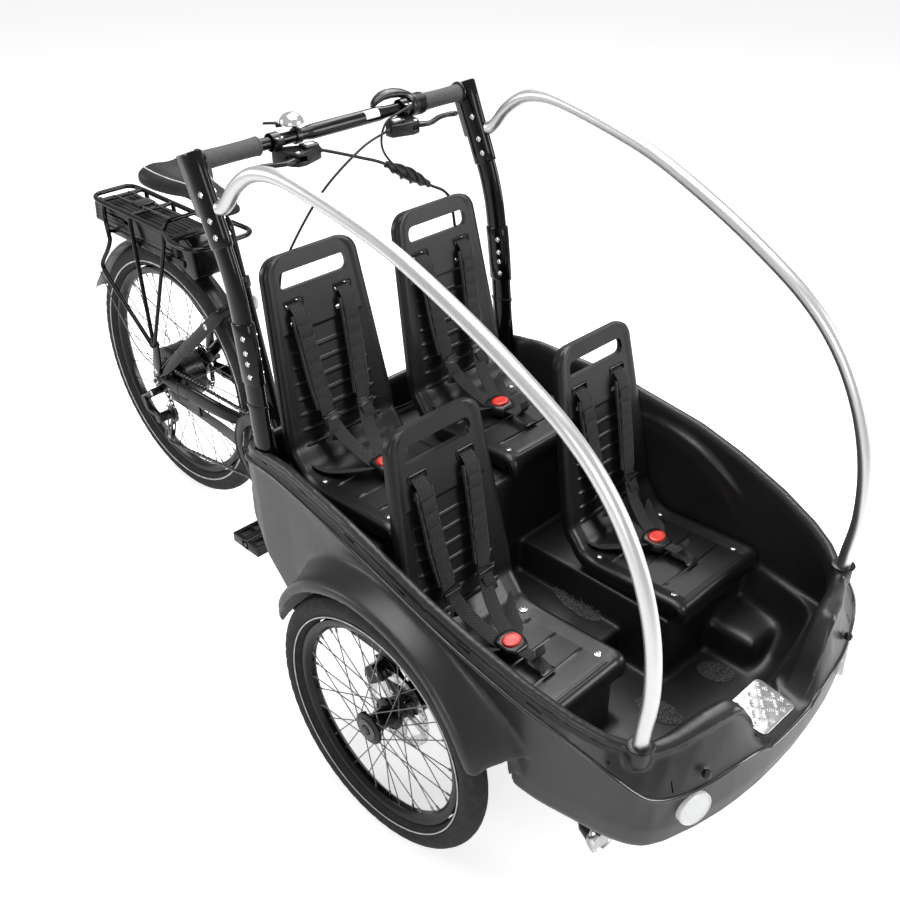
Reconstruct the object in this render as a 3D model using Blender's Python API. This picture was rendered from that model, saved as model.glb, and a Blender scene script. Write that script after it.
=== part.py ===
# Front-box cargo trike: a moulded child box on two front wheels, hinged to a rear cycle
# frame with a hub motor. Lengths are in metres, +Z up, +X forward, +Y left. Every shape is
# laid out from the front axle: x = 0 there, y = 0 in the middle plane, z = 0 on the ground.
# The empty named trike then carries the whole to the part's origin.

import math

import bmesh
import bpy
from mathutils import Matrix, Vector

# Fits
GAP = 0.0003  # between pieces that touch
RUNNING = 0.0004  # between pieces that turn or slide in each other

# Wheels
FRONT_WHEEL_R = 0.254
REAR_WHEEL_R = 0.337
FRONT_TRACK = 0.812
WHEELBASE = 1.220
FRONT_TYRE_TALL = 0.051  # from the rim's edge to the tread
REAR_TYRE_TALL = 0.0575
FRONT_RIM_R = FRONT_WHEEL_R - FRONT_TYRE_TALL
REAR_RIM_R = REAR_WHEEL_R - REAR_TYRE_TALL
RIM_WIDTH = 0.026
RIM_DEPTH = 0.018
FRONT_TYRE_WIDTH = 0.050
REAR_TYRE_WIDTH = 0.047
SPOKE_R = 0.0012
SPOKE_SHIFT = 0.0026  # of leading and trailing spokes to the two sides of their flange
FRONT_SPOKES = 36
REAR_SPOKES = 36
FRONT_FLANGE_R = 0.0315
FRONT_FLANGE_OUT = 0.030  # from the wheel's middle plane to the outer flange
FRONT_FLANGE_IN = 0.026
FRONT_HUB_R = 0.018
SPINDLE_R = 0.0085
DISC_R = 0.080
DISC_THICK = 0.002
DISC_OFFSET = 0.043  # from the wheel's middle plane, towards the box
MOTOR_R = 0.074
MOTOR_WIDTH = 0.072
REAR_AXLE_R = 0.006

# Box
WALL = 0.007
RIM_ROLL = 0.022  # thickness of the rolled rim
FLOOR_Z = 0.200
STEP_Z = 0.272
STEP_X = 0.163
BENCH_Z = 0.345
BENCH_FRONT_X = 0.262
REAR_BENCH_Z = 0.520
REAR_BENCH_X = -0.105
CHANNEL_WIDTH = 0.150
ARCH_CLEAR = 0.022  # over the front tyre
ARCH_R = FRONT_WHEEL_R + ARCH_CLEAR
WELL_INSET = 0.050  # from the wheel's middle plane to the well's wall
WELL_Y = FRONT_TRACK / 2 - WELL_INSET


# Toolkit


for old in list(bpy.data.objects):
    bpy.data.objects.remove(old, do_unlink=True)


def mesh_of(bm):
    bmesh.ops.recalc_face_normals(bm, faces=bm.faces)
    mesh = bpy.data.meshes.new("shape")
    bm.to_mesh(mesh)
    bm.free()
    return mesh


def turned_to(axis):
    """The rotation that takes +Z to axis."""
    return Vector((0, 0, 1)).rotation_difference(Vector(axis)).to_matrix().to_4x4()


def moved(mesh, matrix):
    copy = mesh.copy()
    copy.transform(matrix)
    if matrix.determinant() < 0:
        copy.flip_normals()
    return copy


def mirrored(mesh):
    return moved(mesh, Matrix.Scale(-1, 4, (0, 1, 0)))


def block(low, high, bevel=0.0, segments=2):
    """A box between two corners, with rounded edges where bevel is above 0."""
    bm = bmesh.new()
    middle = (Vector(low) + Vector(high)) / 2
    size = Vector(high) - Vector(low)
    place = Matrix.Translation(middle) @ Matrix.Diagonal((*size, 1))
    bmesh.ops.create_cube(bm, size=1, matrix=place)
    if bevel > 0:
        bmesh.ops.bevel(bm, geom=bm.edges[:], offset=bevel, segments=segments, profile=0.5, affect="EDGES")
    return mesh_of(bm)


def rod(start, end, radius, sides=12, end_radius=None):
    bm = bmesh.new()
    start, end = Vector(start), Vector(end)
    place = Matrix.Translation((start + end) / 2) @ turned_to(end - start)
    bmesh.ops.create_cone(
        bm,
        cap_ends=True,
        segments=sides,
        radius1=radius,
        radius2=radius if end_radius is None else end_radius,
        depth=(end - start).length,
        matrix=place,
    )
    return mesh_of(bm)


def lathe(profile, centre, axis, steps, closed=False):
    """Turns (radius, along) points about an axis. A closed profile makes a ring."""
    bm = bmesh.new()
    corners = [bm.verts.new((0, -radius, along)) for radius, along in profile]
    joins = list(zip(corners, corners[1:]))
    if closed:
        joins.append((corners[-1], corners[0]))
    edges = [bm.edges.new(pair) for pair in joins]
    bmesh.ops.spin(
        bm,
        geom=corners + edges,
        cent=(0, 0, 0),
        axis=(0, 0, 1),
        angle=2 * math.pi,
        steps=steps,
        use_merge=True,
    )
    bmesh.ops.remove_doubles(bm, verts=bm.verts, dist=1e-6)
    bmesh.ops.transform(bm, matrix=Matrix.Translation(centre) @ turned_to(axis), verts=bm.verts)
    return mesh_of(bm)


def prism(outline, origin, across, up, depth, bevel=0.0, segments=1):
    """Extrudes an outline drawn in the across-up plane by depth, to both sides of origin."""
    across, up = Vector(across), Vector(up)
    normal = across.cross(up)
    bm = bmesh.new()
    base = Vector(origin) - normal * depth / 2
    corners = [bm.verts.new(base + across * u + up * v) for u, v in outline]
    face = bm.faces.new(corners)
    grown = bmesh.ops.extrude_face_region(bm, geom=[face])
    far = [item for item in grown["geom"] if isinstance(item, bmesh.types.BMVert)]
    bmesh.ops.translate(bm, vec=normal * depth, verts=far)
    if bevel > 0:
        rims = [edge for edge in bm.edges if abs((edge.verts[1].co - edge.verts[0].co).dot(normal)) < 1e-6]
        bmesh.ops.bevel(bm, geom=rims, offset=bevel, segments=segments, profile=0.5, affect="EDGES")
    return mesh_of(bm)


def side_prism(outline, y_low, y_high, bevel=0.0, segments=1):
    """An outline in x and z, extruded across the trike."""
    middle = (0, (y_low + y_high) / 2, 0)
    return prism(outline, middle, (1, 0, 0), (0, 0, 1), y_high - y_low, bevel, segments)


def plan_prism(outline, z_low, z_high, bevel=0.0):
    """An outline in x and y, extruded upwards."""
    middle = (0, 0, (z_low + z_high) / 2)
    return prism(outline, middle, (1, 0, 0), (0, 1, 0), z_high - z_low, bevel)


def loft(rings, wrap=False):
    """Skins rings of equally many points. The ends are capped, or joined where wrap is set."""
    bm = bmesh.new()
    levels = [[bm.verts.new(point) for point in ring] for ring in rings]
    count = len(levels[0])
    pairs = list(zip(levels, levels[1:]))
    if wrap:
        pairs.append((levels[-1], levels[0]))
    for low, high in pairs:
        for i in range(count):
            j = (i + 1) % count
            bm.faces.new((low[i], low[j], high[j], high[i]))
    if not wrap:
        bm.faces.new(levels[0])
        bm.faces.new(levels[-1])
    return mesh_of(bm)


def tube(points, radius, sides=8):
    """A round tube along a route: a curve with a bevel, read as a mesh."""
    curve = bpy.data.curves.new("route", "CURVE")
    curve.dimensions = "3D"
    curve.bevel_depth = radius
    curve.bevel_resolution = (sides - 4) // 2
    curve.use_fill_caps = True
    line = curve.splines.new("POLY")
    line.points.add(len(points) - 1)
    for knot, point in zip(line.points, points):
        knot.co = (*point, 1)
    holder = bpy.data.objects.new("route", curve)
    mesh = bpy.data.meshes.new_from_object(holder)
    bpy.data.objects.remove(holder)
    bm = bmesh.new()
    bm.from_mesh(mesh)
    bmesh.ops.remove_doubles(bm, verts=bm.verts, dist=1e-6)
    return mesh_of(bm)


def joined(meshes):
    bm = bmesh.new()
    for mesh in meshes:
        bm.from_mesh(mesh)
    mesh = bpy.data.meshes.new("shape")
    bm.to_mesh(mesh)
    bm.free()
    return mesh


def boolean(first, second, operation):
    base = bpy.data.objects.new("base", first)
    tool = bpy.data.objects.new("tool", second)
    for holder in (base, tool):
        bpy.context.scene.collection.objects.link(holder)
    step = base.modifiers.new("cut", "BOOLEAN")
    step.operation = operation
    step.solver = "EXACT"
    step.use_self = True
    step.object = tool
    graph = bpy.context.evaluated_depsgraph_get()
    mesh = bpy.data.meshes.new_from_object(base.evaluated_get(graph))
    for holder in (base, tool):
        bpy.data.objects.remove(holder)
    return mesh


def fused(meshes):
    """One body from meshes that overlap."""
    if len(meshes) == 1:
        return meshes[0]
    return boolean(joined(meshes[:-1]), meshes[-1], "UNION")


def cut(mesh, cutters):
    return boolean(mesh, joined(cutters), "DIFFERENCE")


MATERIALS = {}


def material(name, colour, roughness, metallic=0.0):
    if name not in MATERIALS:
        made = bpy.data.materials.new(name)
        made.use_nodes = True
        shader = made.node_tree.nodes["Principled BSDF"]
        shader.inputs["Base Color"].default_value = (*colour, 1)
        shader.inputs["Roughness"].default_value = roughness
        shader.inputs["Metallic"].default_value = metallic
        MATERIALS[name] = made
    return MATERIALS[name].copy()


FINISHES = {
    "moulded_black": ((0.020, 0.020, 0.021), 0.45, 0.0),
    "frame_black": ((0.010, 0.010, 0.011), 0.22, 0.3),
    "tyre": ((0.025, 0.025, 0.025), 0.85, 0.0),
    "rim_black": ((0.012, 0.012, 0.013), 0.35, 0.6),
    "steel": ((0.60, 0.60, 0.60), 0.30, 1.0),
    "aluminium": ((0.80, 0.80, 0.80), 0.32, 1.0),
    "webbing": ((0.014, 0.014, 0.015), 0.90, 0.0),
    "red_button": ((0.80, 0.06, 0.03), 0.35, 0.0),
    "grip": ((0.018, 0.018, 0.018), 0.75, 0.0),
    "reflector": ((0.85, 0.85, 0.85), 0.25, 0.0),
    "saddle": ((0.016, 0.016, 0.017), 0.60, 0.0),
}

BODIES = {}


def body(name, place, parent=None):
    """An empty on a joint's axis, which carries the pieces of one moving body."""
    empty = bpy.data.objects.new("body_" + name, None)
    bpy.context.scene.collection.objects.link(empty)
    place = Vector(place)
    if parent:
        empty.parent = BODIES[parent][0]
        empty.location = place - BODIES[parent][1]
    else:
        empty.location = place
    BODIES[name] = (empty, place)


def piece(name, mesh, finish, carrier):
    """Makes one named piece of a body. Its origin is on the body's joint axis."""
    empty, origin = BODIES[carrier]
    mesh = moved(mesh, Matrix.Translation(-origin))
    mesh.name = name
    mesh.materials.clear()
    mesh.materials.append(material(finish, *FINISHES[finish]))
    mesh.shade_smooth()
    mesh.set_sharp_from_angle(angle=math.radians(35))
    made = bpy.data.objects.new(name, mesh)
    made.parent = empty
    bpy.context.scene.collection.objects.link(made)
    return made


# Carriage: the axle frame and the box ahead of the steering pin

PIN_X = -0.250
ORIGIN_X = 0.5075  # from the front axle back to the middle of the whole length

root = bpy.data.objects.new("trike", None)
bpy.context.scene.collection.objects.link(root)
BODIES["trike"] = (root, Vector((0, 0, 0)))
body("rear_frame", (-0.795, 0, 0.290), "trike")
body("carriage", (PIN_X, 0, 0.250), "trike")

# Plan of the box from the middle of the tail to the middle of the nose: rim x, y and
# height, ledge x, y and height, then x and y of the foot of the flank.
STATIONS = [
    (-0.462, 0.000, 0.600, -0.460, 0.000, 0.572, -0.448, 0.000),
    (-0.460, 0.275, 0.602, -0.458, 0.275, 0.574, -0.446, 0.270),
    (-0.454, 0.312, 0.605, -0.454, 0.314, 0.578, -0.441, 0.306),
    (-0.438, 0.333, 0.610, -0.438, 0.337, 0.583, -0.426, 0.328),
    (-0.400, 0.346, 0.619, -0.400, 0.350, 0.590, -0.394, 0.338),
    (-0.300, 0.355, 0.629, -0.300, 0.359, 0.592, -0.300, 0.343),
    (-0.100, 0.377, 0.614, -0.100, 0.381, 0.578, -0.100, 0.356),
    (0.100, 0.391, 0.576, 0.100, 0.395, 0.544, 0.100, 0.356),
    (0.200, 0.387, 0.551, 0.200, 0.392, 0.517, 0.200, 0.356),
    (0.300, 0.376, 0.522, 0.300, 0.382, 0.487, 0.300, 0.352),
    (0.380, 0.358, 0.497, 0.385, 0.366, 0.460, 0.375, 0.340),
    (0.430, 0.338, 0.480, 0.442, 0.350, 0.433, 0.436, 0.330),
    (0.463, 0.312, 0.467, 0.488, 0.328, 0.401, 0.478, 0.316),
    (0.486, 0.286, 0.459, 0.508, 0.302, 0.382, 0.502, 0.297),
    (0.503, 0.255, 0.463, 0.524, 0.262, 0.372, 0.518, 0.268),
    (0.524, 0.200, 0.480, 0.541, 0.205, 0.370, 0.538, 0.205),
    (0.538, 0.150, 0.486, 0.552, 0.150, 0.374, 0.550, 0.150),
    (0.545, 0.105, 0.478, 0.558, 0.105, 0.370, 0.556, 0.105),
    (0.549, 0.078, 0.440, 0.560, 0.078, 0.362, 0.558, 0.078),
    (0.551, 0.055, 0.388, 0.562, 0.055, 0.352, 0.560, 0.055),
    (0.552, 0.000, 0.380, 0.563, 0.000, 0.350, 0.561, 0.000),
]


def around(values):
    """Mirrors a half-list of (x, y, ...) rows, tail to nose, into a whole ring."""
    right = [(x, -y, *rest) for x, y, *rest in values]
    left = [(x, y, *rest) for x, y, *rest in values[-2:0:-1]]
    return right + left


def drawn_in(outline, amounts):
    """Moves each corner of an anticlockwise plan outline inwards by its own amount."""
    moved_in = []
    count = len(outline)
    for i, (x, y) in enumerate(outline):
        before = Vector(outline[i - 1])
        after = Vector(outline[(i + 1) % count])
        here = Vector((x, y))
        ahead = (after - here).normalized() + (here - before).normalized()
        ahead.normalize()
        moved_in.append((x - ahead.y * amounts[i], y + ahead.x * amounts[i]))
    return moved_in


def box_ring(outline, inset, heights):
    amounts = inset if isinstance(inset, list) else [inset] * len(outline)
    plan = drawn_in(outline, amounts)
    return [(x, y, z) for (x, y), z in zip(plan, heights)]


def low_ring(shorter, narrower, z):
    """A level of the rounded underside: the foot of the flank, drawn back and narrowed."""
    ring = []
    for x, y in foot_plan:
        forward = min(max((x - 0.30) / 0.25, 0), 1)
        ring.append((x - shorter * forward, y * narrower, z))
    return ring


rim_plan = [(row[0], row[1]) for row in around([(s[0], s[1]) for s in STATIONS])]
rim_z = [row[2] for row in around([(s[0], s[1], s[2]) for s in STATIONS])]
ledge_plan = [(row[0], row[1]) for row in around([(s[3], s[4]) for s in STATIONS])]
ledge_z = [row[2] for row in around([(s[3], s[4], s[5]) for s in STATIONS])]
foot_plan = [(row[0], row[1]) for row in around([(s[6], s[7]) for s in STATIONS])]
# The rolled rim and the wall under it are broader along the nose
noses = [min(max((x - 0.47) / 0.05, 0), 1) for x, _ in rim_plan]
roll = [RIM_ROLL * (1 + 0.7 * nose) for nose in noses]


def lowered(heights, drop):
    return [z - drop for z in heights]


def box_hull():
    count = len(rim_plan)
    rings = [
        low_ring(0.070, 0.78, 0.193),
        low_ring(0.036, 0.90, 0.214),
        low_ring(0.012, 0.967, 0.250),
        low_ring(0, 1, 0.300),
        box_ring(ledge_plan, 0.001, lowered(ledge_z, 0.007)),
        box_ring(ledge_plan, -0.001, lowered(ledge_z, 0.002)),
        box_ring(ledge_plan, 0.003, lowered(ledge_z, -0.002)),
        box_ring(rim_plan, 0.007, lowered(rim_z, 0.019)),
        box_ring(rim_plan, 0.000, lowered(rim_z, 0.015)),
        box_ring(rim_plan, 0.0005, lowered(rim_z, 0.006)),
        box_ring(rim_plan, [0.35 * r for r in roll], lowered(rim_z, 0.0005)),
        box_ring(rim_plan, [0.65 * r for r in roll], lowered(rim_z, 0.0005)),
        box_ring(rim_plan, roll, lowered(rim_z, 0.010)),
        box_ring(rim_plan, [1.15 * r for r in roll], lowered(rim_z, 0.035)),
        box_ring(foot_plan, [0.009 + 0.070 * nose for nose in noses], [BENCH_Z] * count),
    ]
    return loft(rings)


def foot_basin():
    """The deep foot space ahead of the front seats."""
    rings = [
        low_ring(0.130, 0.62, FLOOR_Z),
        low_ring(0.112, 0.80, 0.222),
        low_ring(0.098, 0.91, 0.265),
        low_ring(0.084, 0.955, 0.362),
    ]
    behind = block((-0.6, -0.5, 0.1), (BENCH_FRONT_X, 0.5, 0.5))
    shoulders = [
        block((0.1, side * 0.215, 0.1), (0.372, side * 0.45, 0.268)) for side in (-1, 1)
    ]
    return cut(loft(rings), [behind] + shoulders)


# The flare over each wheel: angle about the wheel's centre in degrees from straight
# ahead, y of the lip, then radius and y of the valley where it leaves the flank.
FLARE = [
    (168, 0.408, 0.284, 0.3530),
    (161, 0.420, 0.300, 0.3540),
    (150, 0.430, 0.309, 0.3600),
    (134, 0.437, 0.307, 0.3710),
    (115, 0.442, 0.302, 0.3800),
    (95, 0.444, 0.299, 0.3830),
    (75, 0.446, 0.299, 0.3840),
    (56, 0.448, 0.303, 0.3820),
    (41, 0.450, 0.311, 0.3760),
    (30, 0.452, 0.320, 0.3690),
    (20, 0.448, 0.328, 0.3640),
]


def flare():
    """The right-hand wheel arch."""
    rings = []
    under = ARCH_R + 0.0005
    for degrees, lip, valley_r, valley_y in FLARE:
        turn = math.radians(degrees)
        inner = 0.343 if degrees > 130 else 0.3525
        section = [
            (under, inner),
            (under, lip - 0.004),
            (under + 0.002, lip),
            (under + 0.007, lip + 0.001),
            (min(under + 0.012, valley_r - 0.001), lip - 0.006),
            (min(under + 0.014, valley_r), (lip + valley_y) / 2),
            (valley_r - 0.007 if valley_r > 0.29 else valley_r, valley_y + 0.014),
            (valley_r, valley_y - 0.002),
            (valley_r, inner),
        ]
        rings.append([(r * math.cos(turn), -y, FRONT_WHEEL_R + r * math.sin(turn)) for r, y in section])
    return loft(rings)


def make_tub():
    hull = box_hull()
    rear_bench = block((-0.450, -0.333, 0.300), (REAR_BENCH_X, 0.333, REAR_BENCH_Z), 0.010, 1)
    hull = fused([hull, rear_bench])
    wells = []
    bulges = []
    for side in (-1, 1):
        wells.append(rod((0, side * WELL_Y, FRONT_WHEEL_R), (0, side * 0.60, FRONT_WHEEL_R), ARCH_R, 34))
        bulges.append(
            rod((0, side * (WELL_Y - WALL), FRONT_WHEEL_R), (0, side * 0.372, FRONT_WHEEL_R), ARCH_R + 0.006, 34)
        )
    hull = fused([hull] + [cut(bulge, [block((-0.5, -0.5, -0.1), (0.5, 0.5, 0.30))]) for bulge in bulges])
    under_bench = block((REAR_BENCH_X - WALL, 0, 0.05), (BENCH_FRONT_X - WALL, 0.358, BENCH_Z - WALL))
    under_wheel = block((-0.262, 0, 0.05), (REAR_BENCH_X, 0.358, BENCH_Z - WALL))
    under_rear = block((-0.436, -0.321, 0.05), (REAR_BENCH_X - WALL, 0.321, REAR_BENCH_Z - WALL), 0.010, 1)
    shoulder = block((BENCH_FRONT_X + 0.004, 0.222, 0.05), (0.362, 0.300, 0.260))
    keel_half = CHANNEL_WIDTH / 2 + WALL
    keel = block((REAR_BENCH_X - WALL, -keel_half, 0.1), (0.40, keel_half, 0.34))
    hollows = cut(fused([under_bench, under_wheel]), [keel])
    under_rear = cut(under_rear, [keel])
    step_under = block((-0.5, -0.2, 0.05), (STEP_X - WALL, 0.2, STEP_Z - WALL))
    tail = side_prism(
        [
            (-0.60, 0.05),
            (-0.262, 0.05),
            (-0.268, 0.262),
            (-0.300, 0.290),
            (-0.334, 0.306),
            (-0.400, 0.372),
            (-0.439, 0.432),
            (-0.459, 0.494),
            (-0.600, 0.500),
        ],
        -0.5,
        0.5,
    )
    channel = block((REAR_BENCH_X + 0.004, -CHANNEL_WIDTH / 2, STEP_Z), (0.30, CHANNEL_WIDTH / 2, 0.42))
    low_channel = block((STEP_X, -CHANNEL_WIDTH / 2, FLOOR_Z), (0.30, CHANNEL_WIDTH / 2, 0.30))
    notch = prism(
        [(-0.12, 0.0), (0.12, 0.0), (0.12, 0.2), (-0.12, 0.2)],
        (0.50, 0, 0.3555),
        (0.992, 0, -0.124),
        (0.124, 0, 0.992),
        0.105,
    )
    cutters = wells + [hollows, mirrored(hollows), under_rear, shoulder, mirrored(shoulder), step_under, tail, notch]
    hull = cut(hull, cutters)
    hull = cut(hull, [fused([foot_basin(), channel, low_channel])])
    arch = flare()
    return fused([hull, arch, mirrored(arch)])


tub_mesh = make_tub()


# Axle frame under the box

BEAM_Z = 0.236
BEAM_R = 0.019
RAIL_Y = 0.170
RAIL_SIZE = 0.030
LEG_INSET = 0.084  # from the wheel's middle plane to the axle leg's
LEG_Y = FRONT_TRACK / 2 - LEG_INSET
PIN_R = 0.012
PIN_LOW_Z = 0.160
PLATE_THICK = 0.008
YOKE_R = 0.028
WHEEL_Y = FRONT_TRACK / 2
DISC_Y = WHEEL_Y - DISC_OFFSET
CALIPER_WIDE = 0.034

rail_top = BENCH_Z - WALL - GAP
rail_low = rail_top - RAIL_SIZE


def make_axle_frame():
    solids = [rod((0, -LEG_Y, BEAM_Z), (0, LEG_Y, BEAM_Z), BEAM_R, 12)]
    for side in (-1, 1):
        low = RAIL_Y - RAIL_SIZE / 2
        high = RAIL_Y + RAIL_SIZE / 2
        rail = block(
            (PIN_X - 0.045, min(side * low, side * high), rail_low),
            (BENCH_FRONT_X - 0.030, max(side * low, side * high), rail_top),
        )
        post = block(
            (-0.014, side * RAIL_Y - 0.012, BEAM_Z),
            (0.014, side * RAIL_Y + 0.012, rail_low + 0.01),
        )
        knuckle = rod((0, side * (LEG_Y - 0.014), FRONT_WHEEL_R), (0, side * (LEG_Y + 0.014), FRONT_WHEEL_R), 0.032, 14)
        spindle_end = side * (WHEEL_Y + FRONT_FLANGE_OUT + 0.004)
        spindle = rod((0, side * LEG_Y, FRONT_WHEEL_R), (0, spindle_end, FRONT_WHEEL_R), SPINDLE_R, 16)
        arm = side_prism(
            [(-0.010, 0.250), (-0.010, 0.284), (-0.060, 0.330), (-0.078, 0.318), (-0.052, 0.262)],
            min(side * (LEG_Y + 0.006), side * (DISC_Y - CALIPER_WIDE / 2 - GAP)),
            max(side * (LEG_Y + 0.006), side * (DISC_Y - CALIPER_WIDE / 2 - GAP)),
        )
        solids += [rail, post, knuckle, spindle, arm]
    bridge = block((PIN_X - 0.020, -RAIL_Y, rail_low + 0.001), (PIN_X + 0.020, RAIL_Y, rail_top - 0.001))
    pin = rod((PIN_X, 0, PIN_LOW_Z - PLATE_THICK), (PIN_X, 0, rail_low + 0.005), PIN_R, 16)
    plate = rod((PIN_X, 0, PIN_LOW_Z - PLATE_THICK), (PIN_X, 0, PIN_LOW_Z), YOKE_R, 14)
    brace = tube([(0, 0, BEAM_Z), (-0.10, 0, 0.185), (PIN_X, 0, PIN_LOW_Z - 0.006)], 0.016, 8)
    brace = cut(brace, [block((PIN_X - 0.1, -0.1, PIN_LOW_Z - 0.001), (PIN_X + YOKE_R + 0.012, 0.1, 0.3))])
    return fused(solids + [bridge, pin, plate, brace])


piece("axle_frame", make_axle_frame(), "frame_black", "carriage")


# Wheels

BEAD_GAP = 0.0003
TYRE_STEPS = 26


def make_tyre(radius, rim_r, width, centre):
    half = width / 2
    bead = rim_r + BEAD_GAP
    depth = radius - bead
    profile = [
        (radius, 0),
        (radius - 0.10 * depth, 0.50 * half),
        (radius - 0.37 * depth, 0.95 * half),
        (bead + 0.28 * depth, 0.93 * half),
        (bead, 0.46 * half),
        (bead, -0.46 * half),
        (bead + 0.28 * depth, -0.93 * half),
        (radius - 0.37 * depth, -0.95 * half),
        (radius - 0.10 * depth, -0.50 * half),
    ]
    return lathe(profile, centre, (0, 1, 0), TYRE_STEPS, closed=True)


def make_rim(rim_r, centre):
    half = RIM_WIDTH / 2
    profile = [
        (rim_r, half),
        (rim_r - 0.55 * RIM_DEPTH, half),
        (rim_r - RIM_DEPTH, 0.5 * half),
        (rim_r - RIM_DEPTH, -0.5 * half),
        (rim_r - 0.55 * RIM_DEPTH, -half),
        (rim_r, -half),
    ]
    return lathe(profile, centre, (0, 1, 0), TYRE_STEPS, closed=True)


def make_spokes(count, flange_r, flange_y, rim_r, centre, lean):
    """Crossed spokes, alternately to each flange. Leading and trailing ones pass clear of each other."""
    spokes = []
    rim_in = rim_r - RIM_DEPTH + 0.003
    for i in range(count):
        side = 1 if i % 2 else -1
        leading = 1 if i % 4 < 2 else -1
        turn = 2 * math.pi * (i + 0.5) / count
        sweep = math.radians(lean) * leading
        start = (
            centre[0] + flange_r * math.cos(turn + sweep),
            centre[1] + side * (flange_y + leading * SPOKE_SHIFT),
            centre[2] + flange_r * math.sin(turn + sweep),
        )
        end = (
            centre[0] + rim_in * math.cos(turn),
            centre[1] + side * 0.0025,
            centre[2] + rim_in * math.sin(turn),
        )
        spokes.append(rod(start, end, SPOKE_R, 3))
    return spokes


def make_front_wheel(side):
    centre = Vector((0, side * WHEEL_Y, FRONT_WHEEL_R))
    disc_seat = DISC_OFFSET - DISC_THICK / 2 - GAP
    profile = [
        (SPINDLE_R + RUNNING, FRONT_FLANGE_OUT + 0.001),
        (FRONT_FLANGE_R - 0.006, FRONT_FLANGE_OUT + 0.001),
        (FRONT_FLANGE_R, FRONT_FLANGE_OUT - 0.002),
        (FRONT_FLANGE_R, FRONT_FLANGE_OUT - 0.010),
        (FRONT_HUB_R, FRONT_FLANGE_OUT - 0.014),
        (FRONT_HUB_R, -FRONT_FLANGE_IN + 0.012),
        (FRONT_FLANGE_R, -FRONT_FLANGE_IN + 0.008),
        (FRONT_FLANGE_R, -FRONT_FLANGE_IN),
        (0.0225, -disc_seat),
        (SPINDLE_R + RUNNING, -disc_seat),
    ]
    hub = lathe(profile, centre, (0, side, 0), 12, closed=True)
    flange_y = (FRONT_FLANGE_OUT + FRONT_FLANGE_IN) / 2 - 0.0045
    spokes = make_spokes(FRONT_SPOKES, FRONT_FLANGE_R - 0.004, flange_y, FRONT_RIM_R, centre, 62)
    return fused([make_rim(FRONT_RIM_R, centre), hub] + spokes)


def make_disc(centre, inner_r, arms, outward):
    half = DISC_THICK / 2
    ring = [(DISC_R, half), (DISC_R, -half), (DISC_R - 0.015, -half), (DISC_R - 0.015, half)]
    seat = [(inner_r + 0.011, half), (inner_r + 0.011, -half), (inner_r, -half), (inner_r, half)]
    solids = [
        lathe(ring, centre, (0, 1, 0), 20, closed=True),
        lathe(seat, centre, (0, 1, 0), 10, closed=True),
    ]
    for i in range(arms):
        turn = 2 * math.pi * i / arms + 0.2
        sweep = turn + outward * 0.42
        start = centre + Vector((math.cos(turn), 0, math.sin(turn))) * (inner_r + 0.007)
        end = centre + Vector((math.cos(sweep), 0, math.sin(sweep))) * (DISC_R - 0.010)
        along = (end - start).normalized()
        middle = (start + end) / 2
        reach = (end - start).length / 2
        outline = [(-reach, -0.004), (reach, -0.004), (reach, 0.004), (-reach, 0.004)]
        solids.append(prism(outline, middle, along, along.cross(Vector((0, 1, 0))), DISC_THICK * 0.9))
    return fused(solids)


def make_caliper(disc_centre, angle, grip_r, wide=CALIPER_WIDE, shift=0.0, bevel=0.003):
    """A caliper over the disc's edge, at an angle about its axle."""
    turn = math.radians(angle)
    out = Vector((math.cos(turn), 0, math.sin(turn)))
    middle = disc_centre + out * grip_r
    along = out.cross(Vector((0, 1, 0)))
    shell = [
        (-0.026, -0.014),
        (0.026, -0.014),
        (0.026, 0.006),
        (0.014, 0.020),
        (-0.014, 0.020),
        (-0.026, 0.006),
    ]
    housing = prism(shell, middle + Vector((0, shift, 0)), along, out, wide, bevel)
    slot = block((-0.1, -0.0022, -0.05), (0.1, 0.0022, DISC_R + 0.002 - grip_r))
    slot = moved(slot, Matrix.Translation(middle) @ out_matrix(along, out))
    return cut(housing, [slot])


def out_matrix(along, out):
    """Rotation with X along the first axis and Z along the second."""
    side = out.cross(along)
    return Matrix((along, side, out)).transposed().to_4x4()


for name, side in (("right", -1), ("left", 1)):
    hub_centre = Vector((0, side * WHEEL_Y, FRONT_WHEEL_R))
    disc_centre = Vector((0, side * DISC_Y, FRONT_WHEEL_R))
    body("front_wheel_" + name, hub_centre, "carriage")
    tyre = make_tyre(FRONT_WHEEL_R, FRONT_RIM_R, FRONT_TYRE_WIDTH, hub_centre)
    piece("front_tyre_" + name, tyre, "tyre", "front_wheel_" + name)
    piece("front_wheel_" + name, make_front_wheel(side), "rim_black", "front_wheel_" + name)
    disc = make_disc(disc_centre, SPINDLE_R + RUNNING + 0.004, 5, side)
    piece("front_disc_" + name, disc, "steel", "front_wheel_" + name)
    caliper = make_caliper(disc_centre, 132, 0.072)
    piece("front_caliper_" + name, caliper, "frame_black", "carriage")

rear_axle = Vector((-WHEELBASE, 0, REAR_WHEEL_R))
REAR_FLANGE_Y = 0.029


def make_rear_wheel():
    bore = REAR_AXLE_R + RUNNING
    half = MOTOR_WIDTH / 2
    profile = [
        (bore, half + 0.012),
        (0.020, half + 0.012),
        (0.022, half + 0.004),
        (0.045, half),
        (0.066, half - 0.003),
        (MOTOR_R, half - 0.006),
        (MOTOR_R, -half + 0.006),
        (0.066, -half + 0.003),
        (0.040, -half),
        (0.018, -half - 0.001),
        (bore, -half - 0.001),
    ]
    motor = lathe(profile, rear_axle, (0, 1, 0), 20, closed=True)
    spokes = make_spokes(REAR_SPOKES, MOTOR_R - 0.004, REAR_FLANGE_Y - 0.004, REAR_RIM_R, rear_axle, 22)
    return fused([make_rim(REAR_RIM_R, rear_axle), motor] + spokes)


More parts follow.
